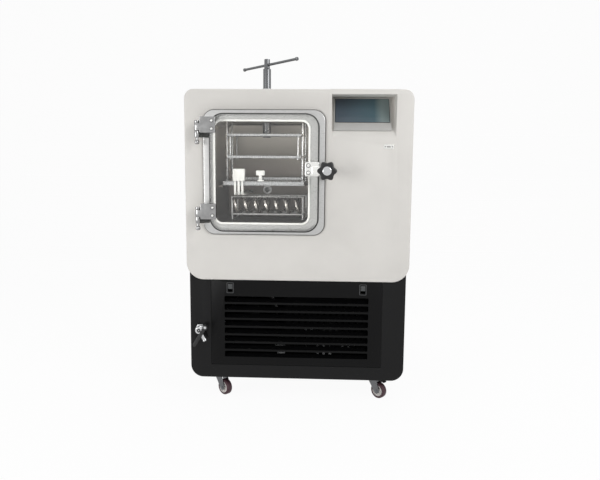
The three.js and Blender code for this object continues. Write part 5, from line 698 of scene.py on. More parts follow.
def ramp_along(nodes, links, place, axis, start, end, stops):
    """A colour that runs through the stops, each a share of the way and a colour, along one axis."""
    spread = nodes.new("ShaderNodeSeparateXYZ")
    links.new(place.outputs["Object"], spread.inputs[0])
    way = nodes.new("ShaderNodeMapRange")
    way.inputs["From Min"].default_value = start
    way.inputs["From Max"].default_value = end
    links.new(spread.outputs[axis], way.inputs["Value"])
    ramp = nodes.new("ShaderNodeValToRGB")
    marks = ramp.color_ramp.elements
    marks[0].color = stops[0][1]
    marks[1].position, marks[1].color = stops[-1]
    for part, colour in stops[1:-1]:
        marks.new(part).color = colour
    links.new(way.outputs["Result"], ramp.inputs["Fac"])
    return ramp.outputs["Color"]


# Painted shade: the liner's colour is multiplied by a ramp up its height, darker towards its foot and lighter
# at its top, for how light falls into the vessel.
nodes, links = liner_steel.node_tree.nodes, liner_steel.node_tree.links
base_colour = nodes["Principled BSDF"].inputs["Base Color"]
painted_shade_blend = nodes.new("ShaderNodeMix")
painted_shade_blend.data_type = "RGBA"
painted_shade_blend.blend_type = "MULTIPLY"
painted_shade_blend.inputs["Factor"].default_value = 1.0
first_colour, second_colour, mixed_colour = 6, 7, 2
painted_shade_by_height = ramp_along(nodes, links, nodes.new("ShaderNodeTexCoord"), "Z", liner_low, liner_high, (
    (0, shade(100, 97, 94)), (0.3, shade(122, 117, 113)), (0.53, shade(156, 150, 146)),
    (0.75, shade(186, 182, 176)), (1, shade(238, 234, 230))))
links.new(base_colour.links[0].from_socket, painted_shade_blend.inputs[first_colour])
links.new(painted_shade_by_height, painted_shade_blend.inputs[second_colour])
links.new(painted_shade_blend.outputs[mixed_colour], base_colour)

flange_face = shell_low.y
flange_back = flange_face + flange_thickness
liner_back = face_y + liner_depth
ledge_front = face_y + ledge_setback
shelf_low, shelf_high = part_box("lower_shelf")
shelf_floor = shelf_low.z
port_x, _, port_z = middle_of("vacuum_port")
coil_low, coil_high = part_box("condenser_coil")
coil_tube = 0.0045
coil_bend = 0.020
coil_turns = 7
coil_pitch = (coil_high.x - coil_low.x - 2 * coil_tube) / (coil_turns - 0.5)
coil_middle_z = (coil_low.z + coil_high.z) / 2
coil_first_x = coil_low.x + coil_tube
lead_bar = 0.0035
lead_names = ["sensor_lead_1", "sensor_lead_2", "sensor_lead_3"]

liner_outline = rounded_outline(liner_left, liner_right, liner_low, liner_high, liner_corner, steps=10)
rear = (liner_back - through, liner_back + liner_sheet + through)
body = joined(
    slab(flange_outline, "y", flange_face, flange_back, flange_edge, flange_back_edge, cuts=4),
    slab(shrunk(liner_outline, -liner_sheet), "y", flange_back - through, liner_back + liner_sheet, 0,
         liner_back_round / 2),
)
legs = []
for x in (liner_left + liner_corner, liner_right - liner_corner - leg_size):
    for y in (face_y + 2.5 * leg_size, liner_back - leg_size / 2):
        legs.append(box(x, x + leg_size, y, y + leg_size, shell_low.z, liner_low - liner_sheet / 2))
body = joined(body, *legs)
body = cut(body, slab(liner_outline, "y", flange_face - through, liner_back, 0, liner_back_round))
ledges = [box(left, right, ledge_front, shelf_high.y, shelf_floor - seat_gap - ledge_thickness,
              shelf_floor - seat_gap)
          for left, right in ((liner_left - liner_sheet / 2, liner_left + ledge_width),
                              (liner_right - ledge_width, liner_right + liner_sheet / 2))]
body = joined(body, *ledges)
roof = (liner_high - through, liner_high + liner_sheet + through)
holes = [round_bar("z", ram_x, ram_y, ram_hole, *roof, sides=40)]
holes.append(round_bar("y", port_x, port_z, port_hole, *rear))
coil_ends = ((coil_first_x, coil_middle_z + coil_bend),
             (coil_first_x + (coil_turns - 0.5) * coil_pitch, coil_middle_z - coil_bend))
for x, z in coil_ends:
    holes.append(round_bar("y", x, z, coil_tube + lead_gap, *rear))
for name in lead_names:
    holes.append(round_bar("y", middle_of(name)[0], lead_z, lead_bar + lead_gap, *rear))
body = cut(body, *holes)


def within_mouth(place):
    """Whether a place lies within the liner's outline, seen from the front."""
    across_it = liner_left - through < place.x < liner_right + through
    return across_it and liner_low - through < place.z < liner_high + through


broken_edges(body, mouth_edge, cuts=4,
             chosen=lambda place: abs(place.y - flange_face) < mouth_reach and within_mouth(place))
vessel = fitted("chamber_vessel", body, satin_steel, "machine", "chamber_steel", "chamber")
vessel.data.materials.append(liner_steel)
vessel.data.materials.append(painted_dark_edge_steel)
# Faces inside the mouth take the liner's painted-shade steel; the flange's outer edge takes the darker steel,
# a painted reflection.
for face in vessel.data.polygons:
    inside = within_mouth(face.center)
    if inside and face.center.y > flange_face + mouth_edge:
        face.material_index = 1
    elif not inside and face.center.y < flange_back and face.normal.y > -0.97:
        face.material_index = 2

# ---------------------------------------------------------------- door seal
# One white silicone ring around the chamber's mouth. It is moulded to a round-edged section and set on the
# flange, where the shut door rests against it.

white_rubber = finish("white_silicone_rubber", shade(232, 232, 228), (0.42, 0.55), vary=0.02, grain=600,
                      relief=0.00002)
silicone = white_rubber.node_tree.nodes["Principled BSDF"]
silicone.inputs["Subsurface Weight"].default_value = 0.08
silicone.inputs["Subsurface Radius"].default_value = (0.004, 0.004, 0.004)

seal_low, seal_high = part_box("door_seal")
seal_round = 0.0022
seal_corner = liner_corner + liner_left - seal_low.x
seal_ring = rounded_outline(seal_low.x, seal_high.x, seal_low.z, seal_high.z, seal_corner, steps=10)
body = cut(
    slab(seal_ring, "y", seal_low.y, seal_high.y),
    slab(shrunk(liner_outline, -seat_gap), "y", seal_low.y - through, seal_high.y + through),
)
broken_edges(body, seal_round, sharper_than=60, cuts=4)
fitted("seal_ring", body, white_rubber, "machine", "white_silicone", "door_seal")

# ---------------------------------------------------------------- clear door
# One thick plate of cast acrylic with clear faces and sawn sides. A wide bevel runs round its front; it is
# painted an opaque dark, a painted shade that stands in for the dark its refraction shows. The hinges and the
# clamp's bracket are bolted to its front face.

clear_plate = bpy.data.materials.new("clear_acrylic")
clear_plate.use_nodes = True
glass = clear_plate.node_tree.nodes["Principled BSDF"]
glass.inputs["Transmission Weight"].default_value = 1.0
glass.inputs["IOR"].default_value = 1.49
nodes, links = clear_plate.node_tree.nodes, clear_plate.node_tree.links
wipe_marks = nodes.new("ShaderNodeTexNoise")
wipe_marks.inputs["Scale"].default_value = 14
wipe_marks.inputs["Detail"].default_value = 6
haze = nodes.new("ShaderNodeMapRange")
haze.inputs["To Min"].default_value = 0.0
haze.inputs["To Max"].default_value = 0.03
tint = nodes.new("ShaderNodeValToRGB")
tint.color_ramp.elements[0].color = (0.955, 0.955, 0.945, 1)
tint.color_ramp.elements[1].color = (0.985, 0.985, 0.975, 1)
place = nodes.new("ShaderNodeTexCoord")
links.new(place.outputs["Object"], wipe_marks.inputs["Vector"])
links.new(wipe_marks.outputs["Fac"], haze.inputs["Value"])
links.new(wipe_marks.outputs["Fac"], tint.inputs["Fac"])
links.new(haze.outputs["Result"], glass.inputs["Roughness"])
links.new(tint.outputs["Color"], glass.inputs["Base Color"])

door_corner = 0.042
door_bevel = 0.0062
door_back_bevel = 0.0018
clear_face = 0.98
sawn_side = 0.2
sawn_edge = finish("sawn_acrylic_edge", shade(128, 130, 127), (0.4, 0.55), vary=0.1, cloud=14, grain=300,
                   transmission_weight=0.3)
# Painted shade: the clear bevel is given this opaque dark finish in place of the dark its refraction shows.
painted_dark_bevel = finish("acrylic_bevel_painted_dark", shade(40, 40, 39), (0.3, 0.45), vary=0.2, cloud=14, grain=300)
door_low, door_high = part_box("door_plate")
door_outline = rounded_outline(door_low.x, door_high.x, door_low.z, door_high.z, door_corner, steps=16)
body = slab(door_outline, "y", door_low.y, door_high.y, door_bevel, door_back_bevel, cuts=6)
door = fitted("door_plate_clear", body, clear_plate, "door", "clear_acrylic", "door_plate")
door.visible_shadow = False
door.data.materials.append(sawn_edge)
door.data.materials.append(painted_dark_bevel)
for face in door.data.polygons:
    turned = abs(face.normal.y)
    face.material_index = 0 if turned > clear_face else 1 if turned < sawn_side else 2

# ---------------------------------------------------------------- hinges
# Two polished stainless hinges. A bracket with two ears and a fixed pin sits on the flange. Two slotted
# screws hold the leaf to the door's face, each with a thin black ring under its head, a painted shade for the
# dark groove round it; its knuckle turns on the pin between the ears.

polished_steel = finish("polished_stainless", shade(156, 156, 156), (0.12, 0.24), metallic=1.0, vary=0.12,
                        cloud=60, grain=500)
bright_nickel = finish("bright_nickel", shade(236, 236, 233), (0.12, 0.22), metallic=1.0, vary=0.02, cloud=20,
                       grain=500)
black_moulding = finish("black_moulding", shade(22, 22, 23), (0.32, 0.42), grain=1200, relief=0.00002)

knuckle = 0.008
knuckle_height = 0.021
knuckle_rise = 0.007
pin = 0.0035
run_gap = 0.0004
leaf_thickness = 0.005
leaf_lap = 0.021
leaf_edge = 0.0012
leaf_corner = 0.0025
leaf_step = 0.001
screw_head = 0.004
screw_rise = 0.002
screw_slot = Vector((0.0009, 0.0011))
screw_round = 0.0006
shade_ring_lap = 0.0004
shade_ring_reach = 0.0013
shade_ring_rise = 0.0005
lower_ear = 0.020
upper_ear = 0.008
bracket_base = 0.018
bracket_base_thickness = 0.005
bracket_edge = 0.0009
bracket_inset = 0.001
tail_stem = 0.008
tail_length = 0.012
tail_ball = 0.007
tail_round = 0.0022


def lathe(profile, axis, a, b, sides=40):
    """A turned piece: its profile is (radius, way along the axis), closed on the axis or back onto itself."""
    body = bmesh.new()
    loops = []
    for radius, w in profile:
        if radius:
            loops.append([body.verts.new(placed(axis, a + radius * math.cos(2 * math.pi * i / sides),
                                                b + radius * math.sin(2 * math.pi * i / sides), w))
                          for i in range(sides)])
        else:
            loops.append(body.verts.new(placed(axis, a, b, w)))
    for ring, following in zip(loops, loops[1:] + loops[:1]):
        for i in range(sides):
            j = (i + 1) % sides
            if isinstance(ring, list) and isinstance(following, list):
                body.faces.new((ring[i], ring[j], following[j], following[i]))
            elif isinstance(ring, list):
                body.faces.new((ring[i], ring[j], following))
            elif isinstance(following, list):
                body.faces.new((ring, following[j], following[i]))
    return turned_out(body)


def softened(profile, radius, closed=False, steps=4):
    """The profile with each corner eased by a small round, no wider than the two lines beside it allow."""
    points = [Vector(point) for point in profile]
    count = len(points)
    eased_points = []
    for i, point in enumerate(points):
        if not closed and i in (0, count - 1):
            eased_points.append(point)
            continue
        before = points[i - 1] - point
        after = points[(i + 1) % count] - point
        reach = min(radius, before.length * 0.45, after.length * 0.45)
        start = point + before.normalized() * reach
        end = point + after.normalized() * reach
        for step in range(steps + 1):
            part = step / steps
            eased_points.append(start * (1 - part) ** 2 + point * 2 * part * (1 - part) + end * part ** 2)
    return [tuple(point) for point in eased_points]


def slotted_screw(x, z, face, turn, radius=screw_head, rise=screw_rise):
    """A low round screw head on a face that looks to the front, with a slot across it."""
    dome = lathe(softened([(0, face - rise), (radius * 0.86, face - rise), (radius, face - rise * 0.45),
                           (radius, face + through), (0, face + through)], screw_round), "y", x, z, 28)
    slot = box(-radius * 1.2, radius * 1.2, face - rise - through, face - rise + screw_slot.y,
               -screw_slot.x / 2, screw_slot.x / 2)
    slot.transform(Matrix.Translation((x, 0, z)) @ Matrix.Rotation(math.radians(turn), 4, "Y"))
    return cut(dome, slot)


def shade_ring(x, z, face, radius=screw_head):
    """A thin black ring that stands out from under a screw head on a face that looks to the front: painted
    shade for the dark groove round the head.
    """
    inner, outer = radius - shade_ring_lap, radius + shade_ring_reach
    front, back = face - shade_ring_rise, face + seat_gap
    return lathe([(inner, front), (outer, front), (outer, back), (inner, back)], "y", x, z, 28)


for place_name, screw_turns in (("upper", (24, 68)), ("lower", (-32, 12))):
    leaf_low, leaf_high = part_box("hinge_leaf_" + place_name)
    hinge_x = leaf_low.x + knuckle
    hinge_y = leaf_high.y - knuckle
    leaf_front = hinge_y - knuckle - leaf_thickness / 2
    leaf_back = leaf_front + leaf_thickness
    leaf_left = hinge_x + knuckle + leaf_step
    knuckle_floor = leaf_low.z + knuckle_rise
    knuckle_top = knuckle_floor + knuckle_height
    leaf_outline = rounded_outline(leaf_left, leaf_high.x, leaf_low.z, leaf_high.z, leaf_corner, steps=5)
    wrap_end = leaf_left + 2 * leaf_step
    wrap = [(hinge_x, leaf_front), (wrap_end, leaf_front), (wrap_end, leaf_back), (hinge_x, leaf_back)]
    body = joined(
        slab(leaf_outline, "y", leaf_front, leaf_back),
        slab(wrap, "z", knuckle_floor, knuckle_top),
        round_bar("z", hinge_x, hinge_y, knuckle, knuckle_floor, knuckle_top, sides=48),
    )
    pin_hole = round_bar("z", hinge_x, hinge_y, pin + run_gap, knuckle_floor - through, knuckle_top + through)
    body = cut(body, pin_hole)
    broken_edges(body, leaf_edge, sharper_than=50, cuts=3)
    screw_x = leaf_high.x - leaf_lap / 2
    quarter = (leaf_high.z - leaf_low.z) / 4
    screw_rows = (leaf_low.z + quarter, leaf_high.z - quarter)
    fitted("leaf_" + place_name, body, polished_steel, "door", "turned_steel", "hinge_leaf_" + place_name)
    screws = [slotted_screw(screw_x, z, leaf_front, turn) for z, turn in zip(screw_rows, screw_turns)]
    fitted("leaf_screws_" + place_name, gathered(*screws), bright_nickel, "door", "turned_steel")
    # Black rings under the screw heads: painted shade for the dark groove round each head.
    shade_rings = gathered(*[shade_ring(screw_x, z, leaf_front) for z in screw_rows])
    fitted("leaf_shade_rings_" + place_name, shade_rings, black_moulding, "door", "black_plastic")

    ear_floor = knuckle_floor - seat_gap - lower_ear
    ear_top = knuckle_top + seat_gap + upper_ear
    base_back = flange_face - seat_gap
    base_front = base_back - bracket_base_thickness
    base_left = shell_low.x + bracket_inset
    base_right = base_left + bracket_base
    ear_radius = knuckle - seat_gap
    ear = arc(hinge_x, hinge_y, ear_radius, 180, 340, 18)
    ear += [(base_right, base_front), (base_left, base_back - bracket_inset)]
    body = joined(
        slab(ear, "z", ear_floor, knuckle_floor - seat_gap),
        slab(ear, "z", knuckle_top + seat_gap, ear_top),
        box(base_left, base_right, base_front, base_back, ear_floor, ear_top),
    )
    broken_edges(body, bracket_edge, sharper_than=50)
    stem_floor = ear_floor - tail_stem
    pin_top = ear_top - run_gap
    tail = softened([
        (0, stem_floor - tail_length), (tail_ball * 0.7, stem_floor - tail_length),
        (tail_ball, stem_floor - tail_length * 0.72), (tail_ball, stem_floor - tail_length * 0.28),
        (tail_ball * 0.7, stem_floor), (pin, stem_floor), (pin, pin_top), (0, pin_top)], tail_round)
    gathered(body, lathe(tail, "z", hinge_x, hinge_y, 36))
    fitted("bracket_" + place_name, body, polished_steel, "machine", "turned_steel",
           "hinge_bracket_" + place_name)

# ---------------------------------------------------------------- door clamp
# A bright cast bracket, bolted to the door's right edge, carries a steel screw in its boss. Turning the black
# moulded star knob drives the screw through a loose collar into a square socket that stands on the flange.

turned_steel = finish("turned_stainless", shade(108, 109, 111), (0.2, 0.34), metallic=1.0, vary=0.03,
                      cloud=25, grain=90, stretch=(1, 1, 12))

clamp_low, clamp_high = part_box("clamp_bracket")
screw_low, screw_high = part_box("clamp_screw")
clamp_x, _, clamp_z = middle_of("clamp_screw")
clamp_screw_radius = (screw_high.x - screw_low.x) / 2
boss = 0.012
arm_thickness = 0.007
arm_half = 0.012
plate_thickness = 0.004
bolt_head = 0.005
clamp_round = 0.0015
clamp_corner = 0.004

plate_right = door_high.x
plate_face = clamp_high.y - plate_thickness
plate_outline = rounded_outline(clamp_low.x, plate_right, clamp_low.z, clamp_high.z, clamp_corner, steps=6)
arm_root = (clamp_low.x + plate_right) / 2
arm = arc(clamp_x, clamp_z, boss, -90, 90, 24)
arm += [(arm_root, clamp_z + arm_half), (arm_root, clamp_z - arm_half)]
body = joined(
    slab(plate_outline, "y", plate_face, clamp_high.y),
    slab(arm, "y", clamp_high.y - arm_thickness, clamp_high.y),
    round_bar("y", clamp_x, clamp_z, boss, clamp_low.y, clamp_high.y, sides=48),
)
body = cut(body, round_bar("y", clamp_x, clamp_z, clamp_screw_radius + run_gap, clamp_low.y - through,
                           clamp_high.y + through))
broken_edges(body, clamp_round, sharper_than=50, cuts=3)
bolt_x = clamp_low.x + 2 * bolt_head
bolt_gap = (clamp_high.z - clamp_low.z) / 2
bolt_z = (clamp_low.z + clamp_high.z) / 2 - bolt_gap / 2
bolt_rows = (bolt_z, bolt_z + bolt_gap)
heads = [slotted_screw(bolt_x, z, plate_face, turn, bolt_head) for z, turn in zip(bolt_rows, (40, -15))]
gathered(body, *heads)
fitted("clamp_casting", body, bright_nickel, "door", "polished_steel", "clamp_bracket")
# Black rings under the bolt heads: painted shade for the dark groove round each head.
shade_rings = gathered(*[shade_ring(bolt_x, z, plate_face, bolt_head) for z in bolt_rows])
fitted("clamp_shade_rings", shade_rings, black_moulding, "door", "black_plastic")

collar_low, collar_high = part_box("clamp_collar")
collar_radius = (collar_high.x - collar_low.x) / 2
collar_bore = clamp_screw_radius + run_gap
collar_edge = 0.0005
collar = softened([(collar_bore, collar_low.y), (collar_radius, collar_low.y),
                   (collar_radius, collar_high.y), (collar_bore, collar_high.y)], collar_edge, True)
fitted("collar_ring", lathe(collar, "y", clamp_x, clamp_z), polished_steel, "clamp_carriage",
       "polished_steel", "clamp_collar")

thread_pitch = 0.002
thread_depth = 0.0004
thread_runout = 0.006
plain_end = 0.005
rod_chamfer = 0.001
rod = [(0, screw_low.y), (clamp_screw_radius - thread_depth, screw_low.y)]
way = screw_low.y + thread_pitch
while way < screw_high.y - thread_runout:
    rod += [(clamp_screw_radius, way), (clamp_screw_radius - thread_depth, way + thread_pitch / 2)]
    way += thread_pitch
rod += [(clamp_screw_radius, screw_high.y - plain_end), (clamp_screw_radius, screw_high.y - rod_chamfer),
        (clamp_screw_radius - rod_chamfer, screw_high.y), (0, screw_high.y)]
fitted("clamp_screw_rod", lathe(rod, "y", clamp_x, clamp_z, 28), turned_steel, "clamp_knob", "turned_steel",
       "clamp_screw")

knob_low, knob_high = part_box("star_knob")
knob_radius = 0.026
knob_lobe = 0.003
knob_lobes = 6
knob_hub = 0.010
knob_hub_rise = 0.005
knob_hub_edge = 0.0008
knob_front_round = 0.005
knob_back_round = 0.003
knob_bore_floor = 0.003
knob_back = knob_high.y - knob_hub_rise
knob_cuts = 144
star = []
for i in range(knob_cuts):
    angle = 2 * math.pi * i / knob_cuts
    radius = knob_radius + knob_lobe * math.cos(knob_lobes * angle)
    star.append((clamp_x + radius * math.cos(angle), clamp_z + radius * math.sin(angle)))
body = joined(
    slab(star, "y", knob_low.y, knob_back, knob_front_round, knob_back_round, cuts=5),
    round_bar("y", clamp_x, clamp_z, knob_hub, knob_back - through, knob_high.y, knob_hub_edge, sides=48),
)
body = cut(body, round_bar("y", clamp_x, clamp_z, clamp_screw_radius + seat_gap, knob_low.y + knob_bore_floor,
                           knob_high.y + through))
fitted("knob_star", body, black_moulding, "clamp_knob", "knob_plastic", "star_knob")

chrome = finish("bright_chrome", shade(196, 197, 198), (0.04, 0.09), metallic=1.0, vary=0.01, cloud=30)
cap_low, cap_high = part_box("knob_cap")
cap_radius = (cap_high.x - cap_low.x) / 2
cap_rise = cap_high.y - cap_low.y
cap_rim = 0.25
cap_cuts = 8
dome = [(0, cap_high.y), (cap_radius, cap_high.y), (cap_radius, cap_high.y - cap_rim * cap_rise)]
for i in range(1, cap_cuts):
    angle = i / cap_cuts * math.pi / 2
    rise = cap_rise * (cap_rim + (1 - cap_rim) * math.sin(angle))
    dome.append((cap_radius * math.cos(angle), cap_high.y - rise))
dome.append((0, cap_low.y))
fitted("knob_disc", lathe(dome, "y", clamp_x, clamp_z, 48), chrome, "clamp_knob", "polished_steel",
       "knob_cap")

socket_bore = 0.0056
socket_floor = 0.002
block_low, block_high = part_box("clamp_socket")
body = cut(
    box(block_low.x, block_high.x, block_low.y, block_high.y, block_low.z, block_high.z, clamp_round),
    round_bar("y", clamp_x, clamp_z, socket_bore, block_low.y - through, block_high.y - socket_floor),
)
fitted("socket_block", body, polished_steel, "machine", "turned_steel", "clamp_socket")

# ---------------------------------------------------------------- press and shelves
# Three plates of satin stainless. The press plate hangs on the ram, and the middle shelf hangs on its four
# bolts. The hollow lower shelf lies on the vessel's ledges and carries the four guide rods.

shelf_plate = finish("shelf_stainless", shade(196, 197, 198), (0.2, 0.34), metallic=1.0, vary=0.03, cloud=8,
                     grain=50, stretch=(18, 1, 1))

plate_corner = 0.005
plate_edge = 0.0014
guide_bar = 0.004
guide_spacing = Vector((0.230, 0.120))
hanger_bar = 0.003
hanger_head = Vector((0.005, 0.004))
hanger_spacing = Vector((0.206, 0.164))
hanger_edge = 0.0006
ram_neck = 0.008


def four_places(spacing):
    """The four places around the ram's axis, a given distance apart across and deep."""
    return [(ram_x + x * spacing.x / 2, ram_y + y * spacing.y / 2) for x in (-1, 1) for y in (-1, 1)]


def shelf_shape(node):
    low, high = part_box(node)
    return rounded_outline(low.x, high.x, low.y, high.y, plate_corner, steps=6)


def four_holes(spacing, bar, low, high):
    """Four bores through a plate, with running room about bars of the given radius."""
    return [round_bar("z", x, y, bar + run_gap, low - through, high + through, sides=24)
            for x, y in four_places(spacing)]


press_low, press_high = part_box("press_plate")
middle_low, middle_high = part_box("middle_shelf")
press_floor = press_high.z - (middle_high.z - middle_low.z)
body = cut(
    slab(shelf_shape("press_plate"), "z", press_floor, press_high.z, plate_edge, plate_edge),
    round_bar("z", ram_x, ram_y, ram_neck + run_gap, press_floor - through, press_high.z + through),
    *four_holes(guide_spacing, guide_bar, press_floor, press_high.z),
)
bolt = softened([(0, press_low.z), (hanger_head.x, press_low.z), (hanger_head.x, press_low.z + hanger_head.y),
                 (hanger_bar, press_low.z + hanger_head.y), (hanger_bar, press_floor + through),
                 (0, press_floor + through)], hanger_edge)
gathered(body, *[lathe(bolt, "z", x, y, 24) for x, y in four_places(hanger_spacing)])
fitted("press_plate_steel", body, shelf_plate, "press", "shelf_steel", "press_plate")

body = cut(
    slab(shelf_shape("middle_shelf"), "z", middle_low.z, middle_high.z, plate_edge, plate_edge),
    *four_holes(hanger_spacing, hanger_bar, middle_low.z, middle_high.z),
    *four_holes(guide_spacing, guide_bar, middle_low.z, middle_high.z),
)
fitted("middle_shelf_steel", body, shelf_plate, "middle_shelf", "shelf_steel", "middle_shelf")

shelf_top = 0.6865
shelf_skin = 0.0035
shelf_groove = 0.003
stop_rise = 0.008
stop_sheet = 0.004
stop_edge = 0.001
guide_edge = 0.0005
shelf_outline = shelf_shape("lower_shelf")
body = gathered(
    slab(shelf_outline, "z", shelf_top - shelf_skin, shelf_top, plate_edge, plate_edge),
    slab(shelf_outline, "z", shelf_low.z, shelf_low.z + shelf_skin, plate_edge, plate_edge),
    slab(shrunk(shelf_outline, shelf_groove), "z", shelf_low.z + shelf_skin / 2, shelf_top - shelf_skin / 2),
    box(shelf_low.x + plate_corner, shelf_high.x - plate_corner, shelf_high.y - plate_corner - stop_sheet,
        shelf_high.y - plate_corner, shelf_top - through, shelf_top + stop_rise, stop_edge),
    *[round_bar("z", x, y, guide_bar, shelf_top - through, shelf_high.z, guide_edge, sides=24)
      for x, y in four_places(guide_spacing)],
)
fitted("lower_shelf_steel", body, shelf_plate, "machine", "shelf_steel", "lower_shelf")

# ---------------------------------------------------------------- ram and T-handle
# A ground steel spindle turns in a gland on the vessel's roof and drives the press plate. A loose bar with
# end stops slides through its head.

ram_radius = 0.0125
ram_top_radius = 0.009
ram_top_length = 0.0305
ram_collar = 0.012
ram_collar_height = 0.003
bar_radius = 0.004
bar_length = 0.288
bar_offset = 0.012
bar_turn = math.radians(-49)
bar_stop = Vector((0.0055, 0.006))
bar_hole_half = 0.02
step_chamfer = 0.0015
spindle_edge = 0.0012
stop_chamfer = 0.0005

spindle_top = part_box("ram_spindle")[1].z
ram_step = spindle_top - ram_top_length
bar_z = middle_of("tee_bar")[2]
neck_top = press_high.z + seat_gap
neck_low = press_floor - seat_gap
spindle = softened([
    (0, neck_low - ram_collar_height), (ram_collar, neck_low - ram_collar_height), (ram_collar, neck_low),
    (ram_neck, neck_low), (ram_neck, neck_top), (ram_radius, neck_top), (ram_radius, ram_step),
    (ram_top_radius, ram_step + step_chamfer), (ram_top_radius, spindle_top), (0, spindle_top)], spindle_edge)
bar_place = Matrix.Translation((ram_x, ram_y, bar_z)) @ Matrix.Rotation(bar_turn, 4, "Z")
bar_hole = round_bar("x", 0, 0, bar_radius + seat_gap, -bar_hole_half, bar_hole_half)
bar_hole.transform(bar_place)
body = cut(lathe(spindle, "z", ram_x, ram_y, 64), bar_hole)
fitted("ram_shaft", body, turned_steel, "ram", "turned_steel", "ram_spindle")

bar = []
for side, edge in ((-1, 1), (1, -1)):
    end = bar_offset + side * bar_length / 2
    stop = end + edge * bar_stop.y
    points = [(0, end), (bar_stop.x, end), (bar_stop.x, stop), (bar_radius, stop + edge * stop_chamfer)]
    bar += points if side < 0 else list(reversed(points))
body = lathe(softened(bar, spindle_edge), "x", 0, 0, 32)
body.transform(bar_place)
fitted("tee_handle_bar", body, turned_steel, "ram", "turned_steel", "tee_bar")

gland_flange = 0.034
gland_step = 0.008
gland_bore = ram_radius + run_gap
gland_body = 0.021
gland_edge = 0.0015
gland_low, gland_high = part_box("ram_gland")
flange_top = gland_low.z + gland_step
gland = softened([
    (gland_bore, gland_low.z), (gland_flange, gland_low.z), (gland_flange, flange_top),
    (gland_body, flange_top), (gland_body, gland_high.z), (gland_bore, gland_high.z)], gland_edge, True)
fitted("gland_body", lathe(gland, "z", ram_x, ram_y, 56), satin_steel, "machine", "turned_steel", "ram_gland")

# ---------------------------------------------------------------- condenser coil and its rack
# One length of stainless tube wound into seven loops, which steps half a pitch to the right at each bend. It
# stands on a small welded rack of square bar on the vessel's floor.

coil_steel = finish("annealed_tube", shade(196, 192, 186), (0.2, 0.34), metallic=1.0, vary=0.05, cloud=30,
                    grain=220)

coil_front = face_y + ledge_setback
coil_depth = 0.174
coil_rear = coil_front + coil_depth
bend_steps = 12


def bar_along(points, radius, sides=16):
    """A round bar along a line of points, with rings square to it."""
    count = len(points)
    side = Vector((1, 0, 0))
    if abs((points[1] - points[0]).normalized().x) > 0.9:
        side = Vector((0, 0, 1))
    body = bmesh.new()
    loops = []
    for i, point in enumerate(points):
        along = (points[min(i + 1, count - 1)] - points[max(i - 1, 0)]).normalized()
        side = (side - along * side.dot(along)).normalized()
        other = along.cross(side)
        angles = [2 * math.pi * j / sides for j in range(sides)]
        loops.append([body.verts.new(point + (side * math.cos(angle) + other * math.sin(angle)) * radius)
                      for angle in angles])
    stitch(body, loops)
    body.faces.new(loops[0])
    body.faces.new(loops[-1])
    return turned_out(body)


line = [Vector((coil_first_x, liner_back + liner_sheet + coil_bend, coil_middle_z + coil_bend))]
for turn in range(coil_turns):
    for centre_y, way, shift in ((coil_front, -1, 0.0), (coil_rear, 1, 0.5)):
        if way > 0 and turn == coil_turns - 1:
            continue
        for step in range(bend_steps + 1):
            part = step / bend_steps
            line.append(Vector((
                coil_first_x + (turn + shift + part / 2) * coil_pitch,
                centre_y + way * coil_bend * math.sin(part * math.pi),
                coil_middle_z - way * coil_bend * math.cos(part * math.pi),
            )))
line.append(Vector((coil_ends[1][0], liner_back + liner_sheet + coil_bend, coil_ends[1][1])))
fitted("coil_tube", bar_along(line, coil_tube), coil_steel, "machine", "coil_steel", "condenser_coil")

rack_bar = 0.005
rack_rail = 0.003
rack_edge = 0.0006
rack_low, rack_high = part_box("coil_rack")
rest_top = coil_middle_z - coil_bend - coil_tube - seat_gap
bars = []
for y in (rack_low.y, rack_high.y - rack_bar):
    for top, height in ((rest_top, rack_bar), (rack_high.z, rack_rail)):
        bars.append(box(rack_low.x, rack_high.x, y, y + rack_bar, top - height, top, rack_edge))
    for x in (rack_low.x, rack_high.x - rack_bar):
        bars.append(box(x, x + rack_bar, y, y + rack_bar, rack_low.z, rack_high.z, rack_edge))
for x in (rack_low.x, rack_high.x - rack_bar):
    bars.append(box(x, x + rack_bar, rack_low.y, rack_high.y, rack_low.z, rack_low.z + rack_bar, rack_edge))
fitted("coil_stand", gathered(*bars), satin_steel, "machine", "chamber_steel", "coil_rack")

# ---------------------------------------------------------------- sensor block, leads and probe
# A white silicone block on the front of the lower shelf gathers three white sensor leads. They drop in front
# of it, turn back under it and leave through the rear wall. A small white clip holds the shelf's probe.

block_low, block_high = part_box("probe_block")
block_corner = 0.003
block_front_edge = 0.002
block_back_edge = 0.001
groove_floor = block_low.y + 0.0012
groove_height = 0.0018
groove_left = 0.0047
groove_right = 0.0063
lead_bend = 0.011


def bent(corners, reach, steps=8):
    """A line through the corners, with each inner corner eased over the given reach."""
    line = [corners[0]]
    for before, corner, after in zip(corners, corners[1:], corners[2:]):
        start = corner + (before - corner).normalized() * reach
        end = corner + (after - corner).normalized() * reach
        shares = [i / steps for i in range(steps + 1)]
        line += [start.lerp(corner, part).lerp(corner.lerp(end, part), part) for part in shares]
    return line + [corners[-1]]


block_z = (block_low.z + block_high.z) / 2
ring = rounded_outline(block_low.x, block_high.x, block_low.z, block_high.z, block_corner, steps=6)
body = slab(ring, "y", block_low.y, block_high.y, block_front_edge, block_back_edge)
grooves = [box(block_low.x - through, block_high.x + through, block_low.y - through, groove_floor, block_z,
               block_z + groove_height)]
for name in lead_names[:2]:
    x = middle_of(name)[0]
    grooves.append(box(x + groove_left, x + groove_right, block_low.y - through, groove_floor,
                       block_low.z - through, block_z))
fitted("lead_block", cut(body, *grooves), white_rubber, "machine", "white_silicone", "probe_block")

for name in lead_names:
    lead_low, lead_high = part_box(name)
    y = lead_low.y + lead_bar
    x = middle_of(name)[0]
    line = bent([Vector((x, y, lead_high.z)), Vector((x, y, lead_z)), Vector((x, lead_high.y, lead_z))],
                lead_bend)
    fitted(name + "_wire", bar_along(line, lead_bar), white_rubber, "machine", "white_silicone", name)

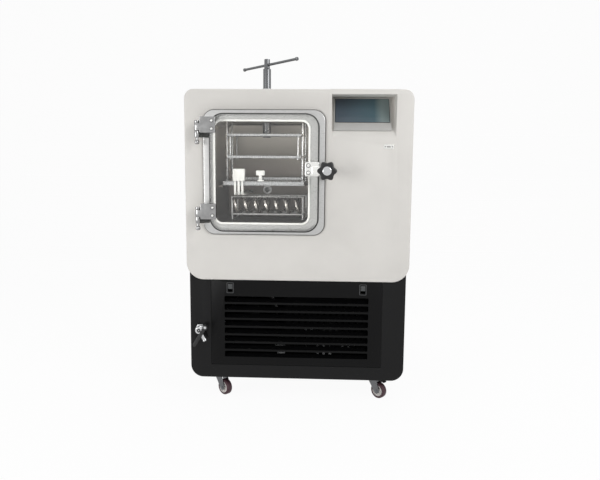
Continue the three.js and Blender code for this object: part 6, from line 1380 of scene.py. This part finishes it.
clip_low, clip_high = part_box("probe_clip")
clip_x = middle_of("probe_clip")[0]
clip_depth = 0.010
clip_head = 0.015
clip_stem = 0.0045
clip_foot = 0.003
clip_probe = 0.003
clip_probe_end = 0.016
clip_corner = 0.003
clip_edge = 0.001
clip_probe_edge = 0.0006
head_ring = rounded_outline(clip_low.x, clip_high.x, clip_high.z - clip_head, clip_high.z, clip_corner,
                            steps=5)
head_back = clip_low.y + clip_depth
head_z = clip_high.z - clip_head / 2
body = gathered(
    slab(head_ring, "y", clip_low.y, head_back, clip_edge, clip_edge),
    box(clip_x - clip_stem, clip_x + clip_stem, clip_low.y + clip_edge, head_back - clip_edge, clip_low.z,
        head_z, clip_edge),
    box(clip_x - 2 * clip_stem, clip_x + 2 * clip_stem, clip_low.y, clip_high.y, clip_low.z,
        clip_low.z + clip_foot, clip_edge),
    round_bar("y", clip_x, head_z, clip_probe, head_back - clip_edge, clip_low.y + clip_probe_end,
              clip_probe_edge, sides=20),
)
fitted("shelf_probe", body, white_rubber, "machine", "white_silicone", "probe_clip")

# ---------------------------------------------------------------- vacuum port
# A stainless tube welded through the vessel's rear wall. It runs back through the rear cover and ends in a
# flat clamp flange.

port_bar = 0.010
port_bore = 0.008
port_collar = 0.014
collar_sheet = 0.003
port_flange = 0.020
port_rim = 0.006
port_taper = 0.004
port_edge = 0.0008

port_low, port_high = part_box("vacuum_port")
inner_face = liner_back - seat_gap
outer_face = liner_back + liner_sheet + seat_gap
collar_face = outer_face + collar_sheet
rim_face = port_high.y - port_rim
port = softened([
    (port_bore, port_low.y), (port_collar, port_low.y), (port_collar, inner_face), (port_bar, inner_face),
    (port_bar, outer_face), (port_collar, outer_face), (port_collar, collar_face), (port_bar, collar_face),
    (port_bar, rim_face - port_taper), (port_flange, rim_face), (port_flange, port_high.y),
    (port_bore, port_high.y)], port_edge, True)
fitted("vacuum_tube", lathe(port, "y", port_x, port_z, 44), satin_steel, "machine", "chamber_steel",
       "vacuum_port")

# ---------------------------------------------------------------- display
# A moulded grey bezel fixed from behind to the pocket's sloped back, with the touch screen set flush in it:
# a black border, and blue-grey glass that is greener and lighter towards its right end.

bezel_moulding = finish("grey_moulding", shade(182, 181, 178), (0.4, 0.5), vary=0.03, grain=1500,
                        relief=0.00002)

bezel_sheet = 0.006
bezel_length = 0.12493
bezel_corner = 0.002
bezel_edge = 0.0005
bezel_side_edge = 0.0015
screen_length = 0.09193
screen_foot = 0.028
screen_sheet = 0.003
screen_border = 0.0015
glass_sink = 0.0002
glass_lap = 0.0003

screen_low, screen_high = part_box("display_screen")
slope = Matrix((
    (1, 0, 0, 0),
    (0, math.sin(pocket_tilt), -math.cos(pocket_tilt), face_y + pocket_lip.x),
    (0, math.cos(pocket_tilt), math.sin(pocket_tilt), lip_z),
    (0, 0, 0, 1),
))
plate_ring = rounded_outline(bezel_low.x, bezel_high.x, seat_gap, bezel_length, bezel_corner, steps=5)
window_ring = rounded_outline(screen_low.x - seat_gap, screen_high.x + seat_gap, screen_foot - seat_gap,
                              screen_foot + screen_length + seat_gap, bezel_corner, steps=5)
bezel_face = seat_gap + bezel_sheet
body = cut(
    slab(plate_ring, "z", seat_gap, bezel_face, 0, bezel_side_edge),
    slab(window_ring, "z", bezel_face - screen_sheet - seat_gap, bezel_face + through),
)
broken_edges(body, bezel_edge, sharper_than=60, chosen=lambda place: place.z > bezel_face - glass_lap)
body.transform(slope)
fitted("display_frame", body, bezel_moulding, "machine", "bezel_plastic", "display_bezel")

screen_glass = bpy.data.materials.new("dark_screen_glass")
screen_glass.use_nodes = True
nodes, links = screen_glass.node_tree.nodes, screen_glass.node_tree.links
glass = nodes["Principled BSDF"]
glass.inputs["Coat Weight"].default_value = 0.1
glass.inputs["Specular IOR Level"].default_value = 0.28
glass.inputs["Coat Roughness"].default_value = 0.04
place = nodes.new("ShaderNodeTexCoord")
depth_of_colour = ramp_along(nodes, links, place, "X", screen_low.x, screen_high.x, (
    (0, shade(78, 87, 98)), (0.72, shade(74, 96, 104)), (0.86, shade(120, 134, 134))))
links.new(depth_of_colour, glass.inputs["Base Color"])
smears = nodes.new("ShaderNodeTexNoise")
smears.inputs["Scale"].default_value = 30
links.new(place.outputs["Object"], smears.inputs["Vector"])
gloss = nodes.new("ShaderNodeMapRange")
gloss.inputs["To Min"].default_value = 0.1
gloss.inputs["To Max"].default_value = 0.25
links.new(smears.outputs["Fac"], gloss.inputs["Value"])
links.new(gloss.outputs["Result"], glass.inputs["Roughness"])
frame_black = finish("screen_border_black", shade(14, 14, 15), (0.12, 0.2), vary=0.02)

screen_ring = rounded_outline(screen_low.x, screen_high.x, screen_foot, screen_foot + screen_length,
                              bezel_corner, steps=5)
body = slab(screen_ring, "z", bezel_face - screen_sheet, bezel_face - glass_sink, 0, 2 * glass_sink)
body.transform(slope)
fitted("screen_border", body, frame_black, "machine", "display_glass", "display_screen")
body = slab(shrunk(screen_ring, screen_border), "z", bezel_face - glass_lap, bezel_face, 0, glass_sink / 2)
body.transform(slope)
fitted("screen_glass", body, screen_glass, "machine", "display_glass")

# ---------------------------------------------------------------- data socket
# A small nickel-plated escutcheon under the display, held by two tiny blackened screws. The socket's shell
# stands behind it through the housing's front, with a black tongue in it.

socket_plate = 0.0015
socket_face = face_y - seat_gap - socket_plate
socket_opening = Vector((0.0125, 0.005))
socket_wall = 0.001
escutcheon_screw = 0.002
escutcheon_screw_rise = 0.0008
escutcheon_reach = 0.011
escutcheon_corner = 0.003
escutcheon_edge = 0.0005
tongue_half = 0.0052
tongue_low = 0.0009
tongue_high = 0.0004
tongue_edge = 0.0003


def shell_block(wall, front, back):
    """A block as wide and high as the socket's opening and its walls, from front to back."""
    half_width = socket_opening.x / 2 + wall
    half_height = socket_opening.y / 2 + wall
    return box(socket_x - half_width, socket_x + half_width, front, back, socket_z - half_height,
               socket_z + half_height)


socket_low, socket_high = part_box("data_socket")
escutcheon = rounded_outline(socket_low.x, socket_high.x, socket_low.z, socket_high.z, escutcheon_corner,
                             steps=6)
body = joined(
    slab(escutcheon, "y", socket_face, face_y - seat_gap, escutcheon_edge),
    shell_block(socket_wall, face_y - through, socket_high.y),
)
body = cut(body, shell_block(0, socket_face - through, socket_high.y - socket_wall))
screws = [slotted_screw(socket_x + side * escutcheon_reach, socket_z, socket_face, turn, escutcheon_screw,
                        escutcheon_screw_rise) for side, turn in ((-1, 35), (1, -50))]
fitted("socket_escutcheon", body, bright_nickel, "machine", "polished_steel", "data_socket")
fitted("socket_screws", gathered(*screws), black_moulding, "machine", "black_plastic")
tongue = box(socket_x - tongue_half, socket_x + tongue_half, face_y + through, socket_high.y - socket_wall,
             socket_z - tongue_low, socket_z + tongue_high, tongue_edge)
fitted("socket_tongue", tongue, black_moulding, "machine", "black_plastic")

# ---------------------------------------------------------------- drain valve
# A chromed ball valve on the cabinet's front: a hexagon nut against the sheet, a turned body, a spout that
# slants down, and a boss that carries the flat black lever on its stem. A white hose feeds it from behind.

valve_nut = 0.016
nut_height = 0.006
valve_reach = 0.023
valve_body = 0.012
valve_bore = 0.004
valve_boss = 0.007
spout_radius = 0.007
spout_length = 0.026
spout_turn = math.radians(-28)
stem = 0.004
lever_x = -0.282
lever_z = 0.237
lever_length = 0.070
lever_width = 0.011
lever_turn = math.radians(31)
lever_hub = 0.008
packing_hole = 0.0018
packing_rim = 0.0058
packing_depth = 0.0016
screw_depth = 0.0004
waist = 0.8
spout_waist = 0.86
nut_edge = 0.0008
body_edge = 0.001
boss_edge = 0.0012
stem_rise = 0.004
stem_chamfer = 0.0005
lever_edge = 0.0012

wall = cabinet_front - seat_gap
lever_low, lever_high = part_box("drain_lever")
valve_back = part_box("drain_valve")[1].y
valve_face = wall - nut_height - valve_reach
nut_face = wall - nut_height
spout_y = valve_face + spout_radius + body_edge
hexagon = arc(valve_x, valve_z, valve_nut, 0, 300, 5)
turned_body = softened([
    (0, valve_face + screw_depth), (packing_hole, valve_face + screw_depth),
    (packing_hole, valve_face + packing_depth), (packing_rim, valve_face + packing_depth),
    (packing_rim, valve_face), (valve_body * 0.82, valve_face), (valve_body, valve_face + 0.003),
    (valve_body, spout_y + 0.009), (valve_body * waist, spout_y + 0.0095),
    (valve_body * waist, spout_y + 0.0125), (valve_body, spout_y + 0.013),
    (valve_body, nut_face + through), (0, nut_face + through)], body_edge)
spout_tip = valve_body + spout_length
spout_profile = softened([
    (valve_bore, -spout_tip), (spout_radius, -spout_tip), (spout_radius, -spout_tip + 0.003),
    (spout_radius * spout_waist, -spout_tip + 0.0045), (spout_radius * spout_waist, -valve_body - 0.006),
    (spout_radius, -valve_body - 0.004), (spout_radius, -0.002), (valve_bore, -0.002)], nut_edge, True)
spout = lathe(spout_profile, "z", 0, 0, 36)
spout.transform(Matrix.Translation((valve_x, spout_y, valve_z)) @ Matrix.Rotation(spout_turn, 4, "Y"))
web = [(valve_x - 0.002, valve_z - stem), (valve_x + 0.003, valve_z - 2 * stem),
       (lever_x + 0.001, lever_z - valve_boss), (lever_x - 0.001, lever_z + valve_boss),
       (valve_x, valve_z + valve_body * 0.96)]
boss_back = valve_face + 2 * valve_boss
boss_profile = softened([
    (0, valve_face), (valve_boss - boss_edge, valve_face), (valve_boss, valve_face + boss_edge),
    (valve_boss, boss_back - 0.002), (valve_boss - 0.002, boss_back), (0, boss_back)], nut_edge)
stem_end = valve_face - stem_rise
stem_profile = [(0, stem_end), (stem - stem_chamfer, stem_end), (stem, stem_end + stem_chamfer),
                (stem, valve_face + through), (0, valve_face + through)]
body = gathered(
    slab(hexagon, "y", nut_face, wall, nut_edge, 0.0003),
    lathe(turned_body, "y", valve_x, valve_z, 48),
    spout,
    slab(web, "y", valve_face + 0.002, boss_back - 0.001, boss_edge, boss_edge),
    lathe(boss_profile, "y", lever_x, lever_z, 36),
    lathe(stem_profile, "y", lever_x, lever_z, 24),
    lathe([(valve_bore, wall - through), (valve_tail, wall - through), (valve_tail, valve_back),
           (valve_bore, valve_back)], "y", valve_x, valve_z, 32),
)
fitted("valve_body", body, chrome, "machine", "polished_steel", "drain_valve")
packing = softened([(packing_hole, valve_face + 0.0005), (packing_rim, valve_face + 0.0005),
                    (packing_rim, valve_face + 0.0015), (packing_hole, valve_face + 0.0015)], 0.0003, True)
fitted("valve_packing", lathe(packing, "y", valve_x, valve_z, 36), black_moulding, "machine", "black_plastic")

lever_back = lever_high.y
arm_ring = rounded_outline(-lever_width / 2, lever_width / 2, -lever_length, lever_width / 2,
                           lever_width / 2 - 0.0001, steps=8)
arm_body = slab(arm_ring, "y", lever_low.y + lever_edge, lever_back, lever_edge, 0.0008)
arm_body.transform(Matrix.Translation((lever_x, 0, lever_z)) @ Matrix.Rotation(lever_turn, 4, "Y"))
body = joined(arm_body, round_bar("y", lever_x, lever_z, lever_hub, lever_low.y, lever_back, 0.001, sides=40))
stem_hole = round_bar("y", lever_x, lever_z, stem + run_gap, lever_low.y - through, lever_back + through)
body = cut(body, stem_hole)
fitted("lever_handle", body, black_moulding, "drain_lever", "black_plastic", "drain_lever")
cap = softened([
    (0, lever_low.y + 0.0001), (stem - 0.0006, lever_low.y + 0.0002), (stem + run_gap, lever_low.y + 0.0005),
    (stem + run_gap, lever_low.y + 0.0009), (0, lever_low.y + 0.0009)], 0.0003)
fitted("lever_cap", lathe(cap, "y", lever_x, lever_z, 32), chrome, "drain_lever", "polished_steel")

# ---------------------------------------------------------------- casters
# Four swivel casters, bolted up under the cabinet's floor. Pressed zinc-plated cheeks hang under a round
# head. A white moulded hub turns on the axle inside a maroon rubber tread. The front right one has a brake.

zinc_plate = finish("bright_zinc", shade(104, 105, 107), (0.14, 0.28), metallic=1.0, vary=0.08, cloud=40,
                    grain=400, relief=0.00001)
tread_rubber = finish("maroon_tread", shade(62, 34, 42), (0.5, 0.65), vary=0.08, cloud=60, grain=1500,
                      relief=0.00004)
hub_moulding = finish("white_hub_moulding", shade(222, 218, 214), (0.35, 0.45), vary=0.03, cloud=60)

wheel = 0.025
wheel_half = 0.010
hub = 0.017
trail = 0.020
caster_turn = math.radians(-40)
axle = 0.004
cheek_sheet = 0.0025
cheek_in = wheel_half + 2 * seat_gap
cheek_out = cheek_in + cheek_sheet
head_radius = 0.021
head_top = 0.0634
head_sheet = 0.004
king_pin_hole = 0.0064
axle_end = 0.0015
cheek_round = 0.009
cheek_edge = 0.0006
head_edge = 0.0012
axle_edge = 0.0006
tread_round = 0.003
tread_side = 0.001
tread_edge = 0.0016
hub_boss = 0.008
hub_web = 0.0035
hub_rim = 0.0005
hub_edge = 0.0007
caster_x = 0.247
caster_inset = 0.047
pedal_length = 0.022
pedal_width = 0.015
pedal_edge = 0.0008


def mirrored(profile):
    """A whole profile from the half of it on one side: the half turned over, then the half itself."""
    return [(radius, -w) for radius, w in profile] + list(reversed(profile))


def caster_ring():
    """The cheek's side view in (x, z): wide under the head, narrow and round about the axle."""
    floor = head_top - head_sheet + through
    front = [(-head_radius * 0.6, floor), (-head_radius * 0.5, floor - 0.008),
             (trail - 0.0092, wheel - 0.004)]
    foot = arc(trail, wheel, cheek_round, 205, 335)
    return front + foot + [(trail + 0.0095, wheel + 0.004), (head_radius * 0.8, floor)]


places = (("front_left", -caster_x, cabinet_front + caster_inset),
          ("front_right", caster_x, cabinet_front + caster_inset),
          ("rear_left", -caster_x, cabinet_high.y - caster_inset),
          ("rear_right", caster_x, cabinet_high.y - caster_inset))
for corner, x, y in places:
    stand = Matrix.Translation((x, y, 0)) @ Matrix.Rotation(caster_turn, 4, "Z")
    head_profile = softened([
        (king_pin_hole, head_top - head_sheet), (head_radius, head_top - head_sheet), (head_radius, head_top),
        (king_pin_hole, head_top)], head_edge, True)
    axle_half = cheek_out + axle_end
    axle_profile = softened(mirrored([(0, axle_half), (axle, axle_half)]), axle_edge)
    body = gathered(
        lathe(head_profile, "z", 0, 0, 44),
        slab(caster_ring(), "y", cheek_in, cheek_out, cheek_edge, cheek_edge),
        slab(caster_ring(), "y", -cheek_out, -cheek_in, cheek_edge, cheek_edge),
        lathe(axle_profile, "y", trail, wheel, 24),
    )
    body.transform(stand)
    fitted("fork_" + corner, body, zinc_plate, "caster_" + corner, "zinc_steel", "caster_fork_" + corner)

    tread_half = [(hub, wheel_half - tread_side), (wheel - tread_round, wheel_half),
                  (wheel, wheel_half - tread_round)]
    tread_profile = softened(mirrored(tread_half), tread_edge, True)
    tread_body = lathe(tread_profile, "y", trail, wheel, 56)
    tread_body.transform(stand)
    fitted("tread_" + corner, tread_body, tread_rubber, "wheel_" + corner, "wheel_rubber",
           "caster_wheel_" + corner)
    hub_half = [(axle + run_gap, wheel_half - tread_side), (hub_boss, wheel_half - tread_side),
                (hub_boss + 0.001, wheel_half - hub_web), (hub - tread_round, wheel_half - hub_web),
                (hub - tread_round / 2, wheel_half - hub_rim), (hub + hub_rim, wheel_half - hub_rim)]
    hub_profile = softened(mirrored(hub_half), hub_edge, True)
    hub_body = lathe(hub_profile, "y", trail, wheel, 48)
    hub_body.transform(stand)
    fitted("hub_" + corner, hub_body, hub_moulding, "wheel_" + corner, "white_silicone")

pedal_root = head_radius + 2 * seat_gap
pedal_floor = head_top - head_sheet
pedal_side = [(pedal_root, pedal_floor), (pedal_root + pedal_length, pedal_floor - 0.004),
              (pedal_root + pedal_length, pedal_floor - 0.001), (pedal_root, pedal_floor + 0.003)]
body = slab(pedal_side, "y", -pedal_width / 2, pedal_width / 2, pedal_edge, pedal_edge)
front_right = Matrix.Translation((caster_x, cabinet_front + caster_inset, 0))
body.transform(front_right @ Matrix.Rotation(caster_turn, 4, "Z"))
fitted("pedal_moulding", body, black_moulding, "brake_pedal", "black_plastic", "brake_pedal")

# ---------------------------------------------------------------- parts left as they were made
# The sheet-metal covers, the chassis plate, the refrigeration plant and the mains inlet keep their own solids
# and get the same finishes as their neighbours.

plated_copper = finish("drawn_copper", shade(196, 124, 86), (0.2, 0.36), metallic=1.0, vary=0.1, cloud=30,
                       grain=200)
# The condenser's black paint is real, but it is kept this dark and nearly without gloss as painted shade, so
# that the louvres look into shadow.
fin_black_and_painted_shade = finish("fin_black_paint_and_painted_shade", shade(9, 9, 10), (0.6, 0.7), vary=0.04, grain=500,
                   specular_ior_level=0.04)
plant_black = finish("plant_black_enamel", shade(12, 12, 13), (0.4, 0.5), vary=0.04, grain=500,
                     relief=0.00003, specular_ior_level=0.15)


def dressed(material, *names):
    """Gives a kept solid its finish in its own material slots."""
    for name in names:
        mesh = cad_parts[name].data
        if not mesh.materials:
            mesh.materials.append(material)
        for index in range(len(mesh.materials)):
            mesh.materials[index] = material


dressed(white_coat, "rear_cover_upper")
dressed(black_coat, "rear_cover_lower")
dressed(zinc_plate, "base_plate", "control_box", "fan_motor")
dressed(plant_black, "compressor", "fan_shroud")
# The condenser takes the near-black, glossless finish: real black paint, and painted shade behind the
# louvres.
dressed(fin_black_and_painted_shade, "air_condenser")
dressed(black_moulding, "fan_rotor", "power_inlet", "switch_rocker")
dressed(plated_copper, "suction_pipe", "liquid_pipe")
dressed(white_rubber, "drain_hose")
